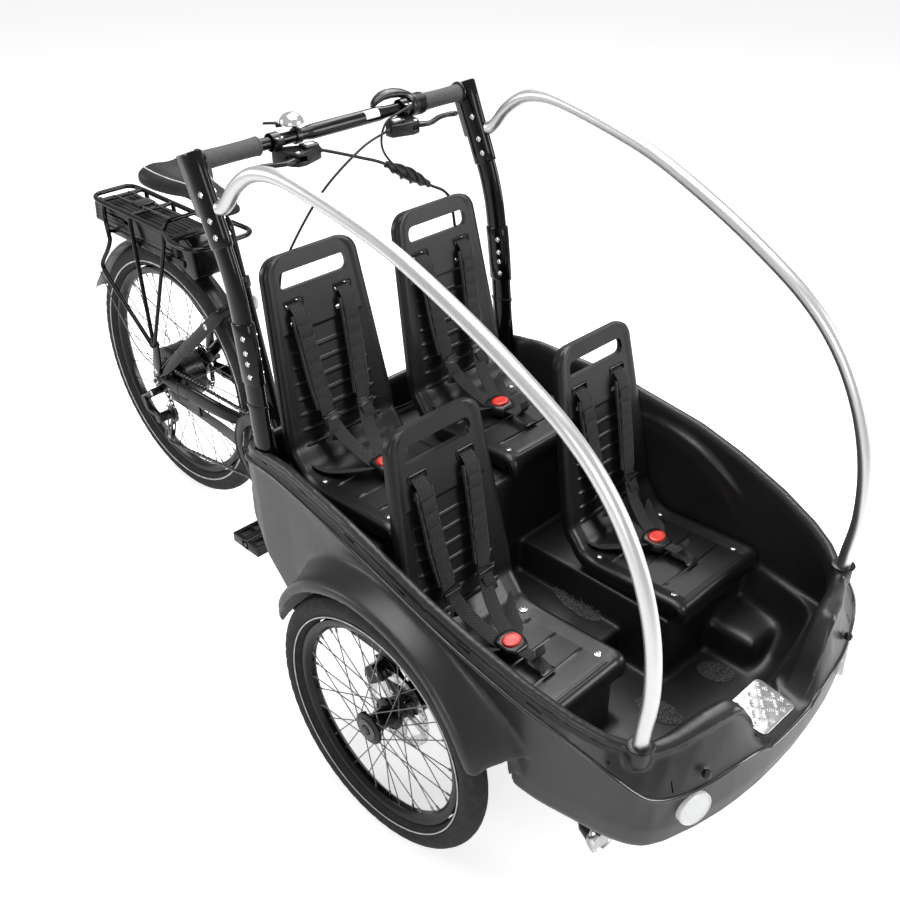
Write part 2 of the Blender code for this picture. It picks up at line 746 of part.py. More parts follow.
body("rear_wheel", rear_axle, "rear_frame")
tyre = make_tyre(REAR_WHEEL_R, REAR_RIM_R, REAR_TYRE_WIDTH, rear_axle)
piece("rear_tyre", tyre, "tyre", "rear_wheel")
piece("rear_wheel", make_rear_wheel(), "rim_black", "rear_wheel")
rear_disc_centre = rear_axle + Vector((0, MOTOR_WIDTH / 2 + 0.012 + GAP + DISC_THICK / 2, 0))
piece("rear_disc", make_disc(rear_disc_centre, REAR_AXLE_R + RUNNING + 0.003, 5, 1), "steel", "rear_wheel")


# Seats and harnesses. They are laid out for a front seat, then moved to each place.

FRONT_SEAT_Y = 0.2115
REAR_SEAT_Y = 0.158
SEAT_PITCH_X = -0.375  # from a front seat back to a rear one
SEAT_WIDTH = 0.262
SEAT_TOP_WIDTH = 0.205
BACK_FOOT_X = 0.022
BACK_FOOT_Z = 0.372
BACK_LEAN = 0.209  # x lost for each metre of height
BACK_HEIGHT = 0.412
BACK_THICK = 0.016
SQUAB_FRONT_X = 0.285
SLOT_UP = 0.290
SLOT_Y = 0.052
STRAP_WIDTH = 0.034
STRAP_THICK = 0.0035
BUCKLE_X = 0.132
BUCKLE_Z = 0.393
BUTTON_TRAVEL = 0.003
BUTTON_RY = 0.0195
BUTTON_RX = 0.0150

seat_base_z = BENCH_Z + GAP
up_back = Vector((-BACK_LEAN, 0, 1)).normalized()
out_back = Vector((1, 0, BACK_LEAN)).normalized()
across = Vector((0, 1, 0))
back_foot = Vector((BACK_FOOT_X, 0, BACK_FOOT_Z))


def on_back(up, out, y=0.0):
    return back_foot + up_back * up + out_back * out + across * y


def outline_with_corners(corners, cut_off):
    """Cuts each corner of a closed outline, at a share of cut_off from it."""
    rounded_off = []
    for i, corner in enumerate(corners):
        here = Vector(corner)
        before = Vector(corners[i - 1])
        after = Vector(corners[(i + 1) % len(corners)])
        rounded_off.append(here + (before - here).normalized() * cut_off)
        rounded_off.append(here + (after - here).normalized() * cut_off)
    return rounded_off


def make_seat():
    half_low = SEAT_WIDTH / 2
    half_top = SEAT_TOP_WIDTH / 2
    back_outline = [
        (-half_low, -0.012),
        (half_low, -0.012),
        (half_low, 0.09),
        (half_top + 0.004, BACK_HEIGHT - 0.035),
        (half_top - 0.006, BACK_HEIGHT - 0.010),
        (half_top - 0.028, BACK_HEIGHT),
        (-half_top + 0.028, BACK_HEIGHT),
        (-half_top + 0.006, BACK_HEIGHT - 0.010),
        (-half_top - 0.004, BACK_HEIGHT - 0.035),
        (-half_low, 0.09),
    ]
    back = prism(back_outline, on_back(0, -BACK_THICK / 2), across, up_back, BACK_THICK, 0.005)
    side_outline = [
        (SQUAB_FRONT_X, seat_base_z),
        (SQUAB_FRONT_X + 0.003, 0.372),
        (SQUAB_FRONT_X - 0.004, 0.3845),
        (SQUAB_FRONT_X - 0.014, 0.3860),
        (0.105, 0.3725),
        (0.050, 0.3700),
        (0.034, 0.3760),
        (0.020, 0.3900),
        (0.006, 0.3820),
        (0.006, seat_base_z),
    ]
    squab = side_prism(side_outline, -half_low + 0.0015, half_low - 0.0015)
    hollow = block((0.020, -half_low + 0.012, 0.30), (SQUAB_FRONT_X - 0.016, half_low - 0.012, 0.362))
    dish_low = [(-half_low + 0.016, 0.006), (half_low - 0.016, 0.006), (half_low - 0.016, 0.092)]
    dish_top = [(half_top - 0.012, 0.306), (-half_top + 0.012, 0.306), (-half_low + 0.016, 0.092)]
    dish = prism(dish_low + dish_top, on_back(0.0, 0.006), across, up_back, 0.020)
    handle_corners = [(-0.060, 0.334), (0.060, 0.334), (0.056, 0.380), (-0.056, 0.380)]
    handle = prism(outline_with_corners(handle_corners, 0.012), on_back(0, 0), across, up_back, 0.08)
    cutters = [dish, handle]
    for side in (-1, 1):
        low = SLOT_UP - 0.007
        high = SLOT_UP + 0.007
        inner = side * SLOT_Y - STRAP_WIDTH / 2 - 0.002
        outer = side * SLOT_Y + STRAP_WIDTH / 2 + 0.002
        corners = [(inner, low), (outer, low), (outer, high), (inner, high)]
        cutters.append(prism(corners, on_back(0, 0), across, up_back, 0.08))
    squab_dish = prism(
        [(0.060, -half_low + 0.016), (0.252, -half_low + 0.016), (0.252, half_low - 0.016), (0.060, half_low - 0.016)],
        (0, 0, 0.3795),
        (1, 0, 0.076),
        (0, 1, 0),
        0.0215,
    )
    seat = cut(fused([back, squab]), [hollow])
    seat = cut(seat, cutters + [squab_dish])
    ribs = []
    for i in range(7):
        up = 0.052 + 0.030 * i
        reach = 0.092 - 0.0035 * i
        corners = [(-reach, up - 0.0035), (reach, up - 0.0035), (reach, up + 0.0035), (-reach, up + 0.0035)]
        ribs.append(prism(corners, on_back(0, -0.006), across, up_back, 0.0125))
    for i in range(3):
        x = 0.090 + 0.060 * i
        ribs.append(block((x, -0.100, 0.360), (x + 0.008, 0.100, 0.3725 + 0.0045 * i)))
    return fused([seat] + ribs)


def ribbon(points, width, thickness):
    """A flat strap along points (x, z, y, thickness share), lying across the trike."""
    rings = []
    count = len(points)
    for i, (x, z, y, share) in enumerate(points):
        before = points[max(i - 1, 0)]
        after = points[min(i + 1, count - 1)]
        ahead = Vector((after[0] - before[0], 0, after[1] - before[1])).normalized()
        lift = Vector((-ahead.z, 0, ahead.x)) * thickness * share / 2
        reach = Vector((0, width / 2, 0))
        middle = Vector((x, y, z))
        rings.append([middle - reach - lift, middle + reach - lift, middle + reach + lift, middle - reach + lift])
    return loft(rings)


def make_harness():
    solids = []
    for side in (-1, 1):
        route = []
        for up, out, y, share in (
            (SLOT_UP, -0.012, 0.0, 1.0),
            (SLOT_UP - 0.002, 0.004, 0.0, 1.0),
            (SLOT_UP - 0.020, 0.012, 0.001, 1.4),
            (SLOT_UP - 0.034, 0.014, 0.002, 2.6),
            (0.180, 0.016, 0.006, 2.6),
            (0.115, 0.018, 0.012, 2.6),
            (0.095, 0.022, 0.016, 1.2),
            (0.055, 0.040, 0.026, 1.2),
        ):
            place = on_back(up, out)
            route.append((place.x, place.z, side * (SLOT_Y - y), share))
        route.append((BUCKLE_X - 0.040, BUCKLE_Z + 0.010, side * (SLOT_Y - 0.036), 1.2))
        route.append((BUCKLE_X - 0.016, BUCKLE_Z, side * (SLOT_Y - 0.040), 1.2))
        solids.append(ribbon(route, STRAP_WIDTH, STRAP_THICK))
    shell = [(-0.026, -0.016), (-0.012, -0.027), (0.012, -0.027), (0.026, -0.016)]
    shell += [(0.026, 0.016), (0.012, 0.027), (-0.012, 0.027), (-0.026, 0.016)]
    buckle = prism(shell, (BUCKLE_X, 0, BUCKLE_Z), (1, 0, 0.07), (0, 1, 0), 0.018)
    crotch = [
        (BUCKLE_X + 0.014, BUCKLE_Z - 0.001, 0.0, 1.0),
        (BUCKLE_X + 0.040, BUCKLE_Z + 0.002, 0.0, 1.0),
        (BUCKLE_X + 0.066, BUCKLE_Z - 0.001, 0.0, 1.0),
        (BUCKLE_X + 0.082, BUCKLE_Z - 0.0094, 0.0, 1.0),
    ]
    tab = ribbon(
        [(BUCKLE_X + 0.060, BUCKLE_Z, 0.0, 1), (BUCKLE_X + 0.066, BUCKLE_Z + 0.018, 0.0, 1),
         (BUCKLE_X + 0.060, BUCKLE_Z + 0.032, 0.0, 1)],
        0.022,
        STRAP_THICK,
    )
    solids += [buckle, ribbon(crotch, 0.026, STRAP_THICK), tab]
    pocket = button_shape(BUCKLE_Z - 0.001, BUCKLE_Z + 0.02, RUNNING)
    return cut(fused(solids), [pocket])


def button_shape(low, high, clearance):
    rim = []
    for i in range(12):
        turn = 2 * math.pi * i / 12
        rim.append(((BUTTON_RX + clearance) * math.cos(turn), (BUTTON_RY + clearance) * math.sin(turn)))
    return prism(rim, (BUCKLE_X, 0, (low + high) / 2), (1, 0, 0), (0, 1, 0), high - low)


button_low = BUCKLE_Z - 0.001 + BUTTON_TRAVEL + GAP
seat_mesh = make_seat()
harness_mesh = make_harness()
button_mesh = button_shape(button_low, BUCKLE_Z + 0.0125, 0)
SEATS = [
    ("front_right", (0, -FRONT_SEAT_Y, 0)),
    ("front_left", (0, FRONT_SEAT_Y, 0)),
    ("rear_right", (SEAT_PITCH_X, -REAR_SEAT_Y, REAR_BENCH_Z - BENCH_Z)),
    ("rear_left", (SEAT_PITCH_X, REAR_SEAT_Y, REAR_BENCH_Z - BENCH_Z)),
]
for name, shift in SEATS:
    place = Matrix.Translation(shift)
    piece("seat_" + name, moved(seat_mesh, place), "moulded_black", "carriage")
    piece("harness_" + name, moved(harness_mesh, place), "webbing", "carriage")
    body("buckle_button_" + name, Vector(shift) + Vector((BUCKLE_X, 0, BUCKLE_Z)), "carriage")
    piece("buckle_button_" + name, moved(button_mesh, place), "red_button", "buckle_button_" + name)


# Handlebar posts, hoops and handlebar

POST_Y = 0.326
POST_LONG = 0.050  # of the oval tube, fore and aft
POST_WIDE = 0.025
SLEEVE_LONG = 0.057
SLEEVE_WIDE = 0.031
HOOP_R = 0.0127
BAR_X = -0.517
BAR_Z = 1.122
BAR_R = 0.0111
BAR_BULGE_R = 0.0150
GRIP_R = 0.0170
GRIP_LENGTH = 0.120

POST_BEND_Z = 0.866


def up_post(share):
    """A height on the way from the post's bend, at 0, to the bar, at 1."""
    return POST_BEND_Z + (BAR_Z - POST_BEND_Z) * share


# The middle line of a post in x and z, from its foot on the rear bench to its top
POST_LINE = [
    (-0.3740, 0.5205),
    (-0.3920, 0.6420),
    (-0.4020, 0.7420),
    (-0.4140, 0.8380),
    (-0.4190, POST_BEND_Z),
    (-0.4275, up_post(0.18)),
    (-0.4415, up_post(0.37)),
    (-0.4545, up_post(0.49)),
    (-0.4730, up_post(0.66)),
    (-0.4950, up_post(0.85)),
    (-0.5190, up_post(1.08)),
]


def post_point(z):
    for (x0, z0), (x1, z1) in zip(POST_LINE, POST_LINE[1:]):
        if z <= z1 + 1e-9:
            t = (z - z0) / (z1 - z0)
            return Vector((x0 + (x1 - x0) * t, 0, z))
    return Vector((POST_LINE[-1][0], 0, POST_LINE[-1][1]))


def post_way(z):
    return (post_point(z + 0.004) - post_point(z - 0.004)).normalized()


def oval_ring(z, side, long, wide):
    middle = post_point(z) + Vector((0, side * POST_Y, 0))
    way = post_way(min(z, POST_LINE[-1][1] - 0.006))
    fore = Vector((way.z, 0, -way.x))
    ring = []
    for i in range(12):
        turn = 2 * math.pi * (i + 0.5) / 12
        ring.append(middle + fore * (long / 2 * math.cos(turn)) + across * (wide / 2 * math.sin(turn)))
    return ring


def oval_tube(heights, side, long, wide):
    return loft([oval_ring(z, side, long, wide) for z in heights])


SLEEVE_LOW_Z = 0.748
SLEEVE_TOP_Z = 0.862
CLAMP_LOW_Z = up_post(0.485)


def make_post_base(side):
    """The straight lower tube, with the bolted sleeve on its top."""
    tube_part = oval_tube([POST_LINE[0][1], 0.642, SLEEVE_LOW_Z + 0.01], side, POST_LONG, POST_WIDE)
    sleeve = oval_tube([SLEEVE_LOW_Z, 0.838, SLEEVE_TOP_Z], side, SLEEVE_LONG, SLEEVE_WIDE)
    collar = oval_tube([0.700, 0.706], side, POST_LONG + 0.003, POST_WIDE + 0.003)
    hook = side_prism(
        [(-0.362, 0.560), (-0.350, 0.560), (-0.352, 0.640), (-0.362, 0.668), (-0.385, 0.668), (-0.385, 0.655)],
        min(side * (POST_Y - 0.006), side * (POST_Y - 0.002)),
        max(side * (POST_Y - 0.006), side * (POST_Y - 0.002)),
    )
    return fused([tube_part, sleeve, collar, hook])


def make_post(side):
    """The bent upper tube, with the clamp that holds the handlebar and the hoop."""
    low = SLEEVE_TOP_Z + GAP
    upper = oval_tube([low] + [up_post(share) for share in (0.055, 0.18, 0.275, 0.37)] + [CLAMP_LOW_Z + 0.01], side, POST_LONG, POST_WIDE)
    clamp_heights = [CLAMP_LOW_Z, up_post(0.66), up_post(0.85), up_post(1.08)]
    clamp = oval_tube(clamp_heights, side, SLEEVE_LONG, SLEEVE_WIDE)
    wing = side_prism(
        [
            (-0.500, up_post(0.64)),
            (-0.520, up_post(0.805)),
            (-0.548, up_post(1.04)),
            (-0.530, up_post(1.06)),
            (-0.490, up_post(0.68)),
        ],
        min(side * (POST_Y - 0.012), side * (POST_Y + 0.012)),
        max(side * (POST_Y - 0.012), side * (POST_Y + 0.012)),
    )
    return fused([upper, clamp, wing])


# One hoop: x and z of its middle line from the clamp to its plug in the rim
HOOP_LINE = [
    (-0.448, 1.062),
    (-0.432, 1.074),
    (-0.395, 1.112),
    (-0.352, 1.141),
    (-0.300, 1.152),
    (-0.240, 1.148),
    (-0.030, 1.100),
    (0.190, 1.003),
    (0.300, 0.938),
    (0.375, 0.868),
    (0.430, 0.780),
    (0.464, 0.680),
    (0.476, 0.580),
    (0.470, 0.500),
    (0.4670, 0.4610),
]
HOOP_REAR_Y = 0.326
HOOP_FRONT_Y = 0.302
SOCKET_FLOOR_Z = 0.4600


def hoop_route(side):
    span = HOOP_LINE[-1][0] - HOOP_LINE[0][0]
    route = []
    for x, z in HOOP_LINE:
        share = min(max((x - HOOP_LINE[0][0]) / span, 0), 1)
        route.append((x, side * (HOOP_REAR_Y + (HOOP_FRONT_Y - HOOP_REAR_Y) * share), z))
    return route


BAR_PLUG = 0.0005


def make_handlebar():
    end = POST_Y - SLEEVE_WIDE / 2 - BAR_PLUG
    profile = [
        (0, end),
        (BAR_R, end),
        (BAR_R, 0.112),
        (BAR_BULGE_R, 0.094),
        (BAR_BULGE_R, -0.072),
        (BAR_R, -0.086),
        (BAR_R, -end),
        (0, -end),
    ]
    return lathe(profile, (BAR_X, 0, BAR_Z), (0, 1, 0), 14)


def band_on_bar(y_low, y_high, radius):
    """A plain ring around the bar."""
    bore = BAR_R + GAP
    profile = [(bore, y_low), (radius, y_low), (radius, y_high), (bore, y_high)]
    return lathe(profile, (BAR_X, 0, BAR_Z), (0, 1, 0), 14, closed=True)


def sleeve_on_bar(y_low, y_high, radius, steps=14, waist=0.0):
    middle = (y_low + y_high) / 2
    profile = [
        (BAR_R + GAP, y_low),
        (radius - 0.002, y_low),
        (radius, y_low + 0.003),
        (radius - waist, middle),
        (radius, y_high - 0.003),
        (radius - 0.002, y_high),
        (BAR_R + GAP, y_high),
    ]
    if waist == 0:
        profile.pop(3)
    return lathe(profile, (BAR_X, 0, BAR_Z), (0, 1, 0), steps, closed=True)


LEVER_PIVOT_X = BAR_X + 0.050
LEVER_PIVOT_Y = 0.142
LEVER_Z = BAR_Z - 0.022
LEVER_THICK = 0.009
LEVER_PIN_R = 0.003


def make_bracket(side):
    """The clamp on the bar with the lever's housing, and the hinge pin."""
    ring = band_on_bar(LEVER_PIVOT_Y + 0.004, LEVER_PIVOT_Y + 0.022, 0.0165)
    outline = [
        (BAR_X + 0.002, -0.004 + LEVER_PIVOT_Y),
        (BAR_X + 0.004, 0.022 + LEVER_PIVOT_Y),
        (BAR_X + 0.044, 0.014 + LEVER_PIVOT_Y),
        (BAR_X + 0.058, 0.004 + LEVER_PIVOT_Y),
        (BAR_X + 0.060, -0.012 + LEVER_PIVOT_Y),
        (BAR_X + 0.046, -0.056 + LEVER_PIVOT_Y),
        (BAR_X + 0.028, -0.056 + LEVER_PIVOT_Y),
    ]
    housing = plan_prism(outline, LEVER_Z - 0.014, LEVER_Z + 0.0103, 0.002)
    room = plan_prism(
        [
            (LEVER_PIVOT_X - 0.014, LEVER_PIVOT_Y - 0.014),
            (LEVER_PIVOT_X + 0.040, LEVER_PIVOT_Y - 0.014),
            (LEVER_PIVOT_X + 0.040, LEVER_PIVOT_Y + 0.040),
            (LEVER_PIVOT_X - 0.014, LEVER_PIVOT_Y + 0.040),
        ],
        LEVER_Z - LEVER_THICK / 2 - RUNNING,
        LEVER_Z + LEVER_THICK / 2 + RUNNING,
    )
    housing = cut(housing, [room])
    pin = rod(
        (LEVER_PIVOT_X, LEVER_PIVOT_Y, LEVER_Z - 0.008),
        (LEVER_PIVOT_X, LEVER_PIVOT_Y, LEVER_Z + 0.008),
        LEVER_PIN_R,
        12,
    )
    mesh = fused([ring, housing, pin])
    return mesh if side > 0 else mirrored(mesh)


def make_lever(side):
    # Middle line in x and y, with half of the blade's width there
    blade = [
        (-0.0085, -0.004, 0.0060),
        (0.001, 0.012, 0.0085),
        (0.006, 0.034, 0.0062),
        (-0.002, 0.062, 0.0052),
        (-0.006, 0.092, 0.0052),
        (-0.003, 0.122, 0.0055),
        (0.003, 0.140, 0.0058),
    ]
    front = [(LEVER_PIVOT_X + x + half, LEVER_PIVOT_Y + y) for x, y, half in blade]
    back = [(LEVER_PIVOT_X + x - half, LEVER_PIVOT_Y + y) for x, y, half in blade[:0:-1]]
    nose = [(LEVER_PIVOT_X - 0.008, LEVER_PIVOT_Y - 0.008), (LEVER_PIVOT_X + 0.008, LEVER_PIVOT_Y - 0.009)]
    low = LEVER_Z - LEVER_THICK / 2
    mesh = plan_prism(front[1:] + back + nose, low, low + LEVER_THICK, 0.002)
    bore = rod(
        (LEVER_PIVOT_X, LEVER_PIVOT_Y, LEVER_Z - 0.02),
        (LEVER_PIVOT_X, LEVER_PIVOT_Y, LEVER_Z + 0.02),
        LEVER_PIN_R + RUNNING / 4,
        12,
    )
    mesh = cut(mesh, [bore])
    return mesh if side > 0 else mirrored(mesh)


for name, side in (("right", -1), ("left", 1)):
    piece("post_base_" + name, make_post_base(side), "frame_black", "carriage")
    piece("post_" + name, make_post(side), "frame_black", "carriage")
    route = hoop_route(side)
    hoop = tube(route, HOOP_R, 8)
    clear_of_post = oval_tube([1.02, 1.05, 1.084, 1.12], side, SLEEVE_LONG + 2 * GAP, SLEEVE_WIDE + 2 * GAP)
    piece("hoop_" + name, cut(hoop, [clear_of_post]), "aluminium", "carriage")
    piece("lever_bracket_" + name, make_bracket(side), "moulded_black", "carriage")
    pivot = (LEVER_PIVOT_X, side * LEVER_PIVOT_Y, LEVER_Z)
    body("brake_lever_" + name, pivot, "carriage")
    piece("brake_lever_" + name, make_lever(side), "moulded_black", "brake_lever_" + name)

piece("handlebar", make_handlebar(), "frame_black", "carriage")
grip_end = POST_Y - SLEEVE_WIDE / 2 - 0.001
right_grip = sleeve_on_bar(-grip_end, -grip_end + GRIP_LENGTH, GRIP_R, waist=0.0012)
piece("grip_right", right_grip, "grip", "carriage")
SHIFTER_LOW_Y = 0.1650
SHIFTER_TWIST_Y = 0.1900
SHIFTER_TOP_Y = 0.2060
left_grip = sleeve_on_bar(SHIFTER_TOP_Y + GAP, grip_end, GRIP_R, waist=0.0008)
piece("grip_left", left_grip, "grip", "carriage")


def make_shifter():
    """The thumb lever that curls over the bar from its collar."""
    collar = sleeve_on_bar(SHIFTER_LOW_Y, SHIFTER_TOP_Y - GAP, 0.0215, 14)
    hood = []
    for x, z, y, half in (
        (-0.010, 0.018, 0.180, 0.010),
        (-0.016, 0.026, 0.160, 0.011),
        (-0.020, 0.028, 0.135, 0.010),
        (-0.020, 0.024, 0.110, 0.008),
        (-0.018, 0.016, 0.092, 0.006),
    ):
        middle = Vector((BAR_X + x, y, BAR_Z + z))
        lift = Vector((0.25, 0, 0.95)) * 0.0035
        wide = Vector((0.95, 0, -0.25)) * half
        hood.append([middle - wide - lift, middle + wide - lift, middle + wide + lift, middle - wide + lift])
    return fused([collar, loft(hood)])


body("shifter", (BAR_X, (SHIFTER_LOW_Y + SHIFTER_TOP_Y) / 2, BAR_Z), "carriage")
piece("shifter", make_shifter(), "moulded_black", "shifter")

BELL_Y = -0.104
BELL_TOP = Vector((BAR_X - 0.004, BELL_Y - 0.006, BAR_Z + 0.026))


def make_bell():
    ring = band_on_bar(BELL_Y - 0.006, BELL_Y + 0.006, 0.0145)
    stem = rod((BAR_X, BELL_Y, BAR_Z + BAR_BULGE_R + 0.0010), BELL_TOP, 0.006, 8)
    dome = [(0, 0.0165), (0.009, 0.0150), (0.018, 0.0095), (0.0225, 0.0), (0.0205, -0.003), (0, -0.003)]
    ear = rod(BELL_TOP + Vector((-0.009, -0.014, -0.0055)), BELL_PIN + Vector((0, 0, -0.0042)), 0.0032, 6)
    pin = rod(BELL_PIN - Vector((0, 0, 0.0055)), BELL_PIN + Vector((0, 0, 0.0036)), BELL_PIN_R, 10)
    return fused([ring, stem, lathe(dome, BELL_TOP, (0.05, -0.05, 1), 14), ear, pin])


BELL_PIN = BELL_TOP + Vector((-0.014, -0.024, -0.002))
BELL_PIN_R = 0.0016
piece("bell", make_bell(), "steel", "carriage")
body("bell_lever", BELL_PIN, "carriage")
lever_outline = [(-0.004, -0.004), (0.005, -0.002), (0.007, 0.003), (-0.002, 0.008), (-0.012, 0.020), (-0.018, 0.014)]
bell_lever = prism(lever_outline, BELL_PIN + Vector((0, 0, 0.001)), (1, 0, 0), (0, -1, 0), 0.003)
bell_bore = rod(BELL_PIN - Vector((0, 0, 0.01)), BELL_PIN + Vector((0, 0, 0.01)), BELL_PIN_R + RUNNING / 4, 10)
piece("bell_lever", cut(bell_lever, [bell_bore]), "moulded_black", "bell_lever")


# The box again, with room for what passes through it and what is fixed to it

PLATE_SLOPE = (0.992, 0, -0.124)
PLATE_MIDDLE = Vector((0.50, 0, 0.3555))
TREAD_THICK = 0.0025


def fitted_tub(tub):
    """Lets the posts pass the rolled rim, and gives each hoop a socket."""
    bosses = []
    holes = []
    for side in (-1, 1):
        foot = Vector((HOOP_LINE[-1][0], side * HOOP_FRONT_Y, 0))
        bosses.append(rod(foot + Vector((0, 0, 0.432)), foot + Vector((0, 0, 0.4675)), 0.0200, 10))
        holes.append(rod(foot + Vector((0, 0, SOCKET_FLOOR_Z)), foot + Vector((0, 0, 0.52)), HOOP_R + 0.0012, 10))
        room = oval_tube([0.5203, 0.640, 0.760], side, POST_LONG + 4 * GAP, POST_WIDE + 4 * GAP)
        holes.append(room)
    tub = fused([tub] + bosses)
    return cut(tub, holes)


def seated(mesh, against, way, off=GAP):
    """Shapes a piece to the surface that it is pushed against, then draws it off a little."""
    shaped = cut(mesh, [against])
    return moved(shaped, Matrix.Translation(Vector(way).normalized() * off))


PEG_FOOT = Vector((0.517, -0.214, 0.393))
PEG_BALL = Vector((0.543, -0.219, 0.396))


def make_peg():
    """A ball-headed knob, which holds a rain cover."""
    way = (PEG_BALL - PEG_FOOT).normalized()
    ball = lathe(
        [(0, 0.0062), (0.0044, 0.0044), (0.0062, 0), (0.0044, -0.0044), (0, -0.0062)],
        PEG_BALL,
        way,
        10,
    )
    flange = rod(PEG_FOOT, PEG_FOOT + way * 0.0175, 0.0065, 10)
    return fused([rod(PEG_FOOT, PEG_BALL, 0.0040, 8), flange, ball])


peg = make_peg()
tub_mesh = fused([fitted_tub(tub_mesh), peg, mirrored(peg)])
piece("tub", tub_mesh, "moulded_black", "carriage")

tread = prism(
    [(-0.028, -0.0500), (0.040, -0.0500), (0.040, 0.0500), (-0.028, 0.0500)],
    PLATE_MIDDLE + Vector((0.124, 0, 0.992)) * (TREAD_THICK / 2 + GAP),
    PLATE_SLOPE,
    (0, 1, 0),
    TREAD_THICK,
)
piece("tread_plate", tread, "aluminium", "carriage")

REFLECTOR_MIDDLE = Vector((0.532, 0.233, 0.330))
REFLECTOR_WAY = Vector((0.955, 0.290, 0.06)).normalized()
REFLECTOR_R = 0.031

for name, side in (("right", -1), ("left", 1)):
    mirror = Matrix.Diagonal((1, side, 1))
    middle = mirror @ REFLECTOR_MIDDLE
    way = mirror @ REFLECTOR_WAY
    plate = rod(middle - way * 0.02, middle + way * 0.0095, REFLECTOR_R, 20)
    piece("front_reflector_" + name, seated(plate, tub_mesh, way), "reflector", "carriage")

LIGHT_MIDDLE = Vector((0.372, -0.250, 0.147))
LIGHT_R = 0.030


def make_headlight():
    shell = [(0, -0.034), (0.012, -0.032), (0.020, -0.022), (0.024, 0.000), (LIGHT_R, 0.016), (LIGHT_R, 0.021)]
    shell += [(LIGHT_R - 0.003, 0.021), (LIGHT_R - 0.004, 0.018), (0, 0.020)]
    bell_shape = lathe(shell, LIGHT_MIDDLE, (0.985, -0.12, -0.12), 16)
    strap = tube(
        [
            (0.318, -0.250, 0.264),
            (0.320, -0.250, 0.175),
            (0.336, -0.250, 0.152),
            LIGHT_MIDDLE + Vector((-0.004, 0, 0)),
        ],
        0.0055,
        6,
    )
    return fused([bell_shape, strap])


piece("headlight", seated(make_headlight(), tub_mesh, (0, 0, -1)), "frame_black", "carriage")


# Cables on the carriage

HOSE_R = 0.0030
CABLE_R = 0.0024
BUNDLE_R = 0.0125
CABLE_X = -0.4600
hose_right = [
    (-0.4790, -0.0857, 1.0985),
    (-0.4790, -0.0780, 1.0985),
    (CABLE_X, -0.0060, 1.0730),
    (CABLE_X, 0.0590, 1.0450),
    (CABLE_X, 0.1660, 0.9810),
    (CABLE_X - 0.001, 0.2160, 0.9520),
    (CABLE_X - 0.001, 0.2360, 0.9150),
    (-0.4460, 0.2350, 0.8200),
    (-0.4260, 0.2200, 0.6500),
    (-0.4150, 0.1200, 0.5480),
    (-0.4290, 0.0100, 0.5350),
    (-0.4300, 0.0000, 0.5350),
]
hose_left = [
    (-0.4790, 0.0857, 1.0985),
    (-0.4790, 0.0780, 1.0985),
    (CABLE_X, -0.0020, 1.0880),
    (CABLE_X, -0.0980, 1.0300),
    (CABLE_X, -0.1800, 0.9420),
    (CABLE_X + 0.002, -0.2120, 0.8800),
    (-0.4350, -0.2350, 0.7400),
    (-0.4200, -0.2100, 0.6100),
    (-0.4150, -0.1200, 0.5480),
    (-0.4290, -0.0100, 0.5350),
    (-0.4300, 0.0000, 0.5350),
]
shift_cable = [
    (-0.4890, 0.1520, 1.1310),
    (-0.4860, 0.1220, 1.1260),
    (-0.4830, 0.0840, 1.1160),
    (-0.4790, 0.0660, 1.0900),
    (-0.4720, 0.0660, 1.0620),
    (CABLE_X, 0.0900, 1.0260),
]


def make_cables():
    wrap = []
    way = Vector((0, 0.107, -0.064)).normalized()
    for along, share in ((0.0, 0.35), (0.022, 0.8), (0.058, 1.0), (0.098, 0.75), (0.124, 0.35)):
        middle = Vector((CABLE_X, 0.0590, 1.0450)) + way * along
        ring = []
        for i in range(8):
            turn = 2 * math.pi * i / 8
            out = Vector((1, 0, 0)) * math.cos(turn) + way.cross(Vector((1, 0, 0))) * math.sin(turn)
            ring.append(middle + out * (BUNDLE_R * share))
        wrap.append(ring)
    outlet = rod((-0.4240, 0, 0.5350), (-0.4460, 0, 0.5350), 0.008, 8)
    return fused(
        [loft(wrap), outlet, tube(hose_right, HOSE_R, 6)]
        + [tube(hose_left, CABLE_R, 6), tube(shift_cable, CABLE_R, 6)]
    )


piece("cable_bundle", seated(make_cables(), tub_mesh, (1, 0, 0)), "grip", "carriage")


# Rear frame: the root, which the carriage steers against

BB = Vector((-0.795, 0, 0.290))
SEAT_TUBE_TOP = Vector((-0.901, 0, 0.700))
seat_way = (SEAT_TUBE_TOP - BB).normalized()
SEAT_TUBE_R = 0.0165
SEAT_POST_R = 0.0135
SHELL_R = 0.021
SHELL_HALF = 0.034
CRANK_SPINDLE_R = 0.0125
MAIN_TUBE_R = 0.024
HEAD_TUBE_R = 0.021
DROPOUT_IN = 0.0605
DROPOUT_OUT = 0.0695
STAY_Y = 0.068



def oval_sweep(stations, sides=8):
    """An oval tube through (x, y, z, half height, half width), its width level."""
    rings = []
    for i, (x, y, z, tall, wide) in enumerate(stations):
        before = stations[max(i - 1, 0)]
        after = stations[min(i + 1, len(stations) - 1)]
        ahead = (Vector(after[:3]) - Vector(before[:3])).normalized()
        level = Vector((0, 0, 1)).cross(ahead).normalized()
        level = level if level.y > 0 else -level
        lift = ahead.cross(level)
        ring = []
        for k in range(sides):
            turn = 2 * math.pi * (k + 0.5) / sides
            ring.append(Vector((x, y, z)) + level * wide * math.cos(turn) + lift * tall * math.sin(turn))
        rings.append(ring)
    return loft(rings)


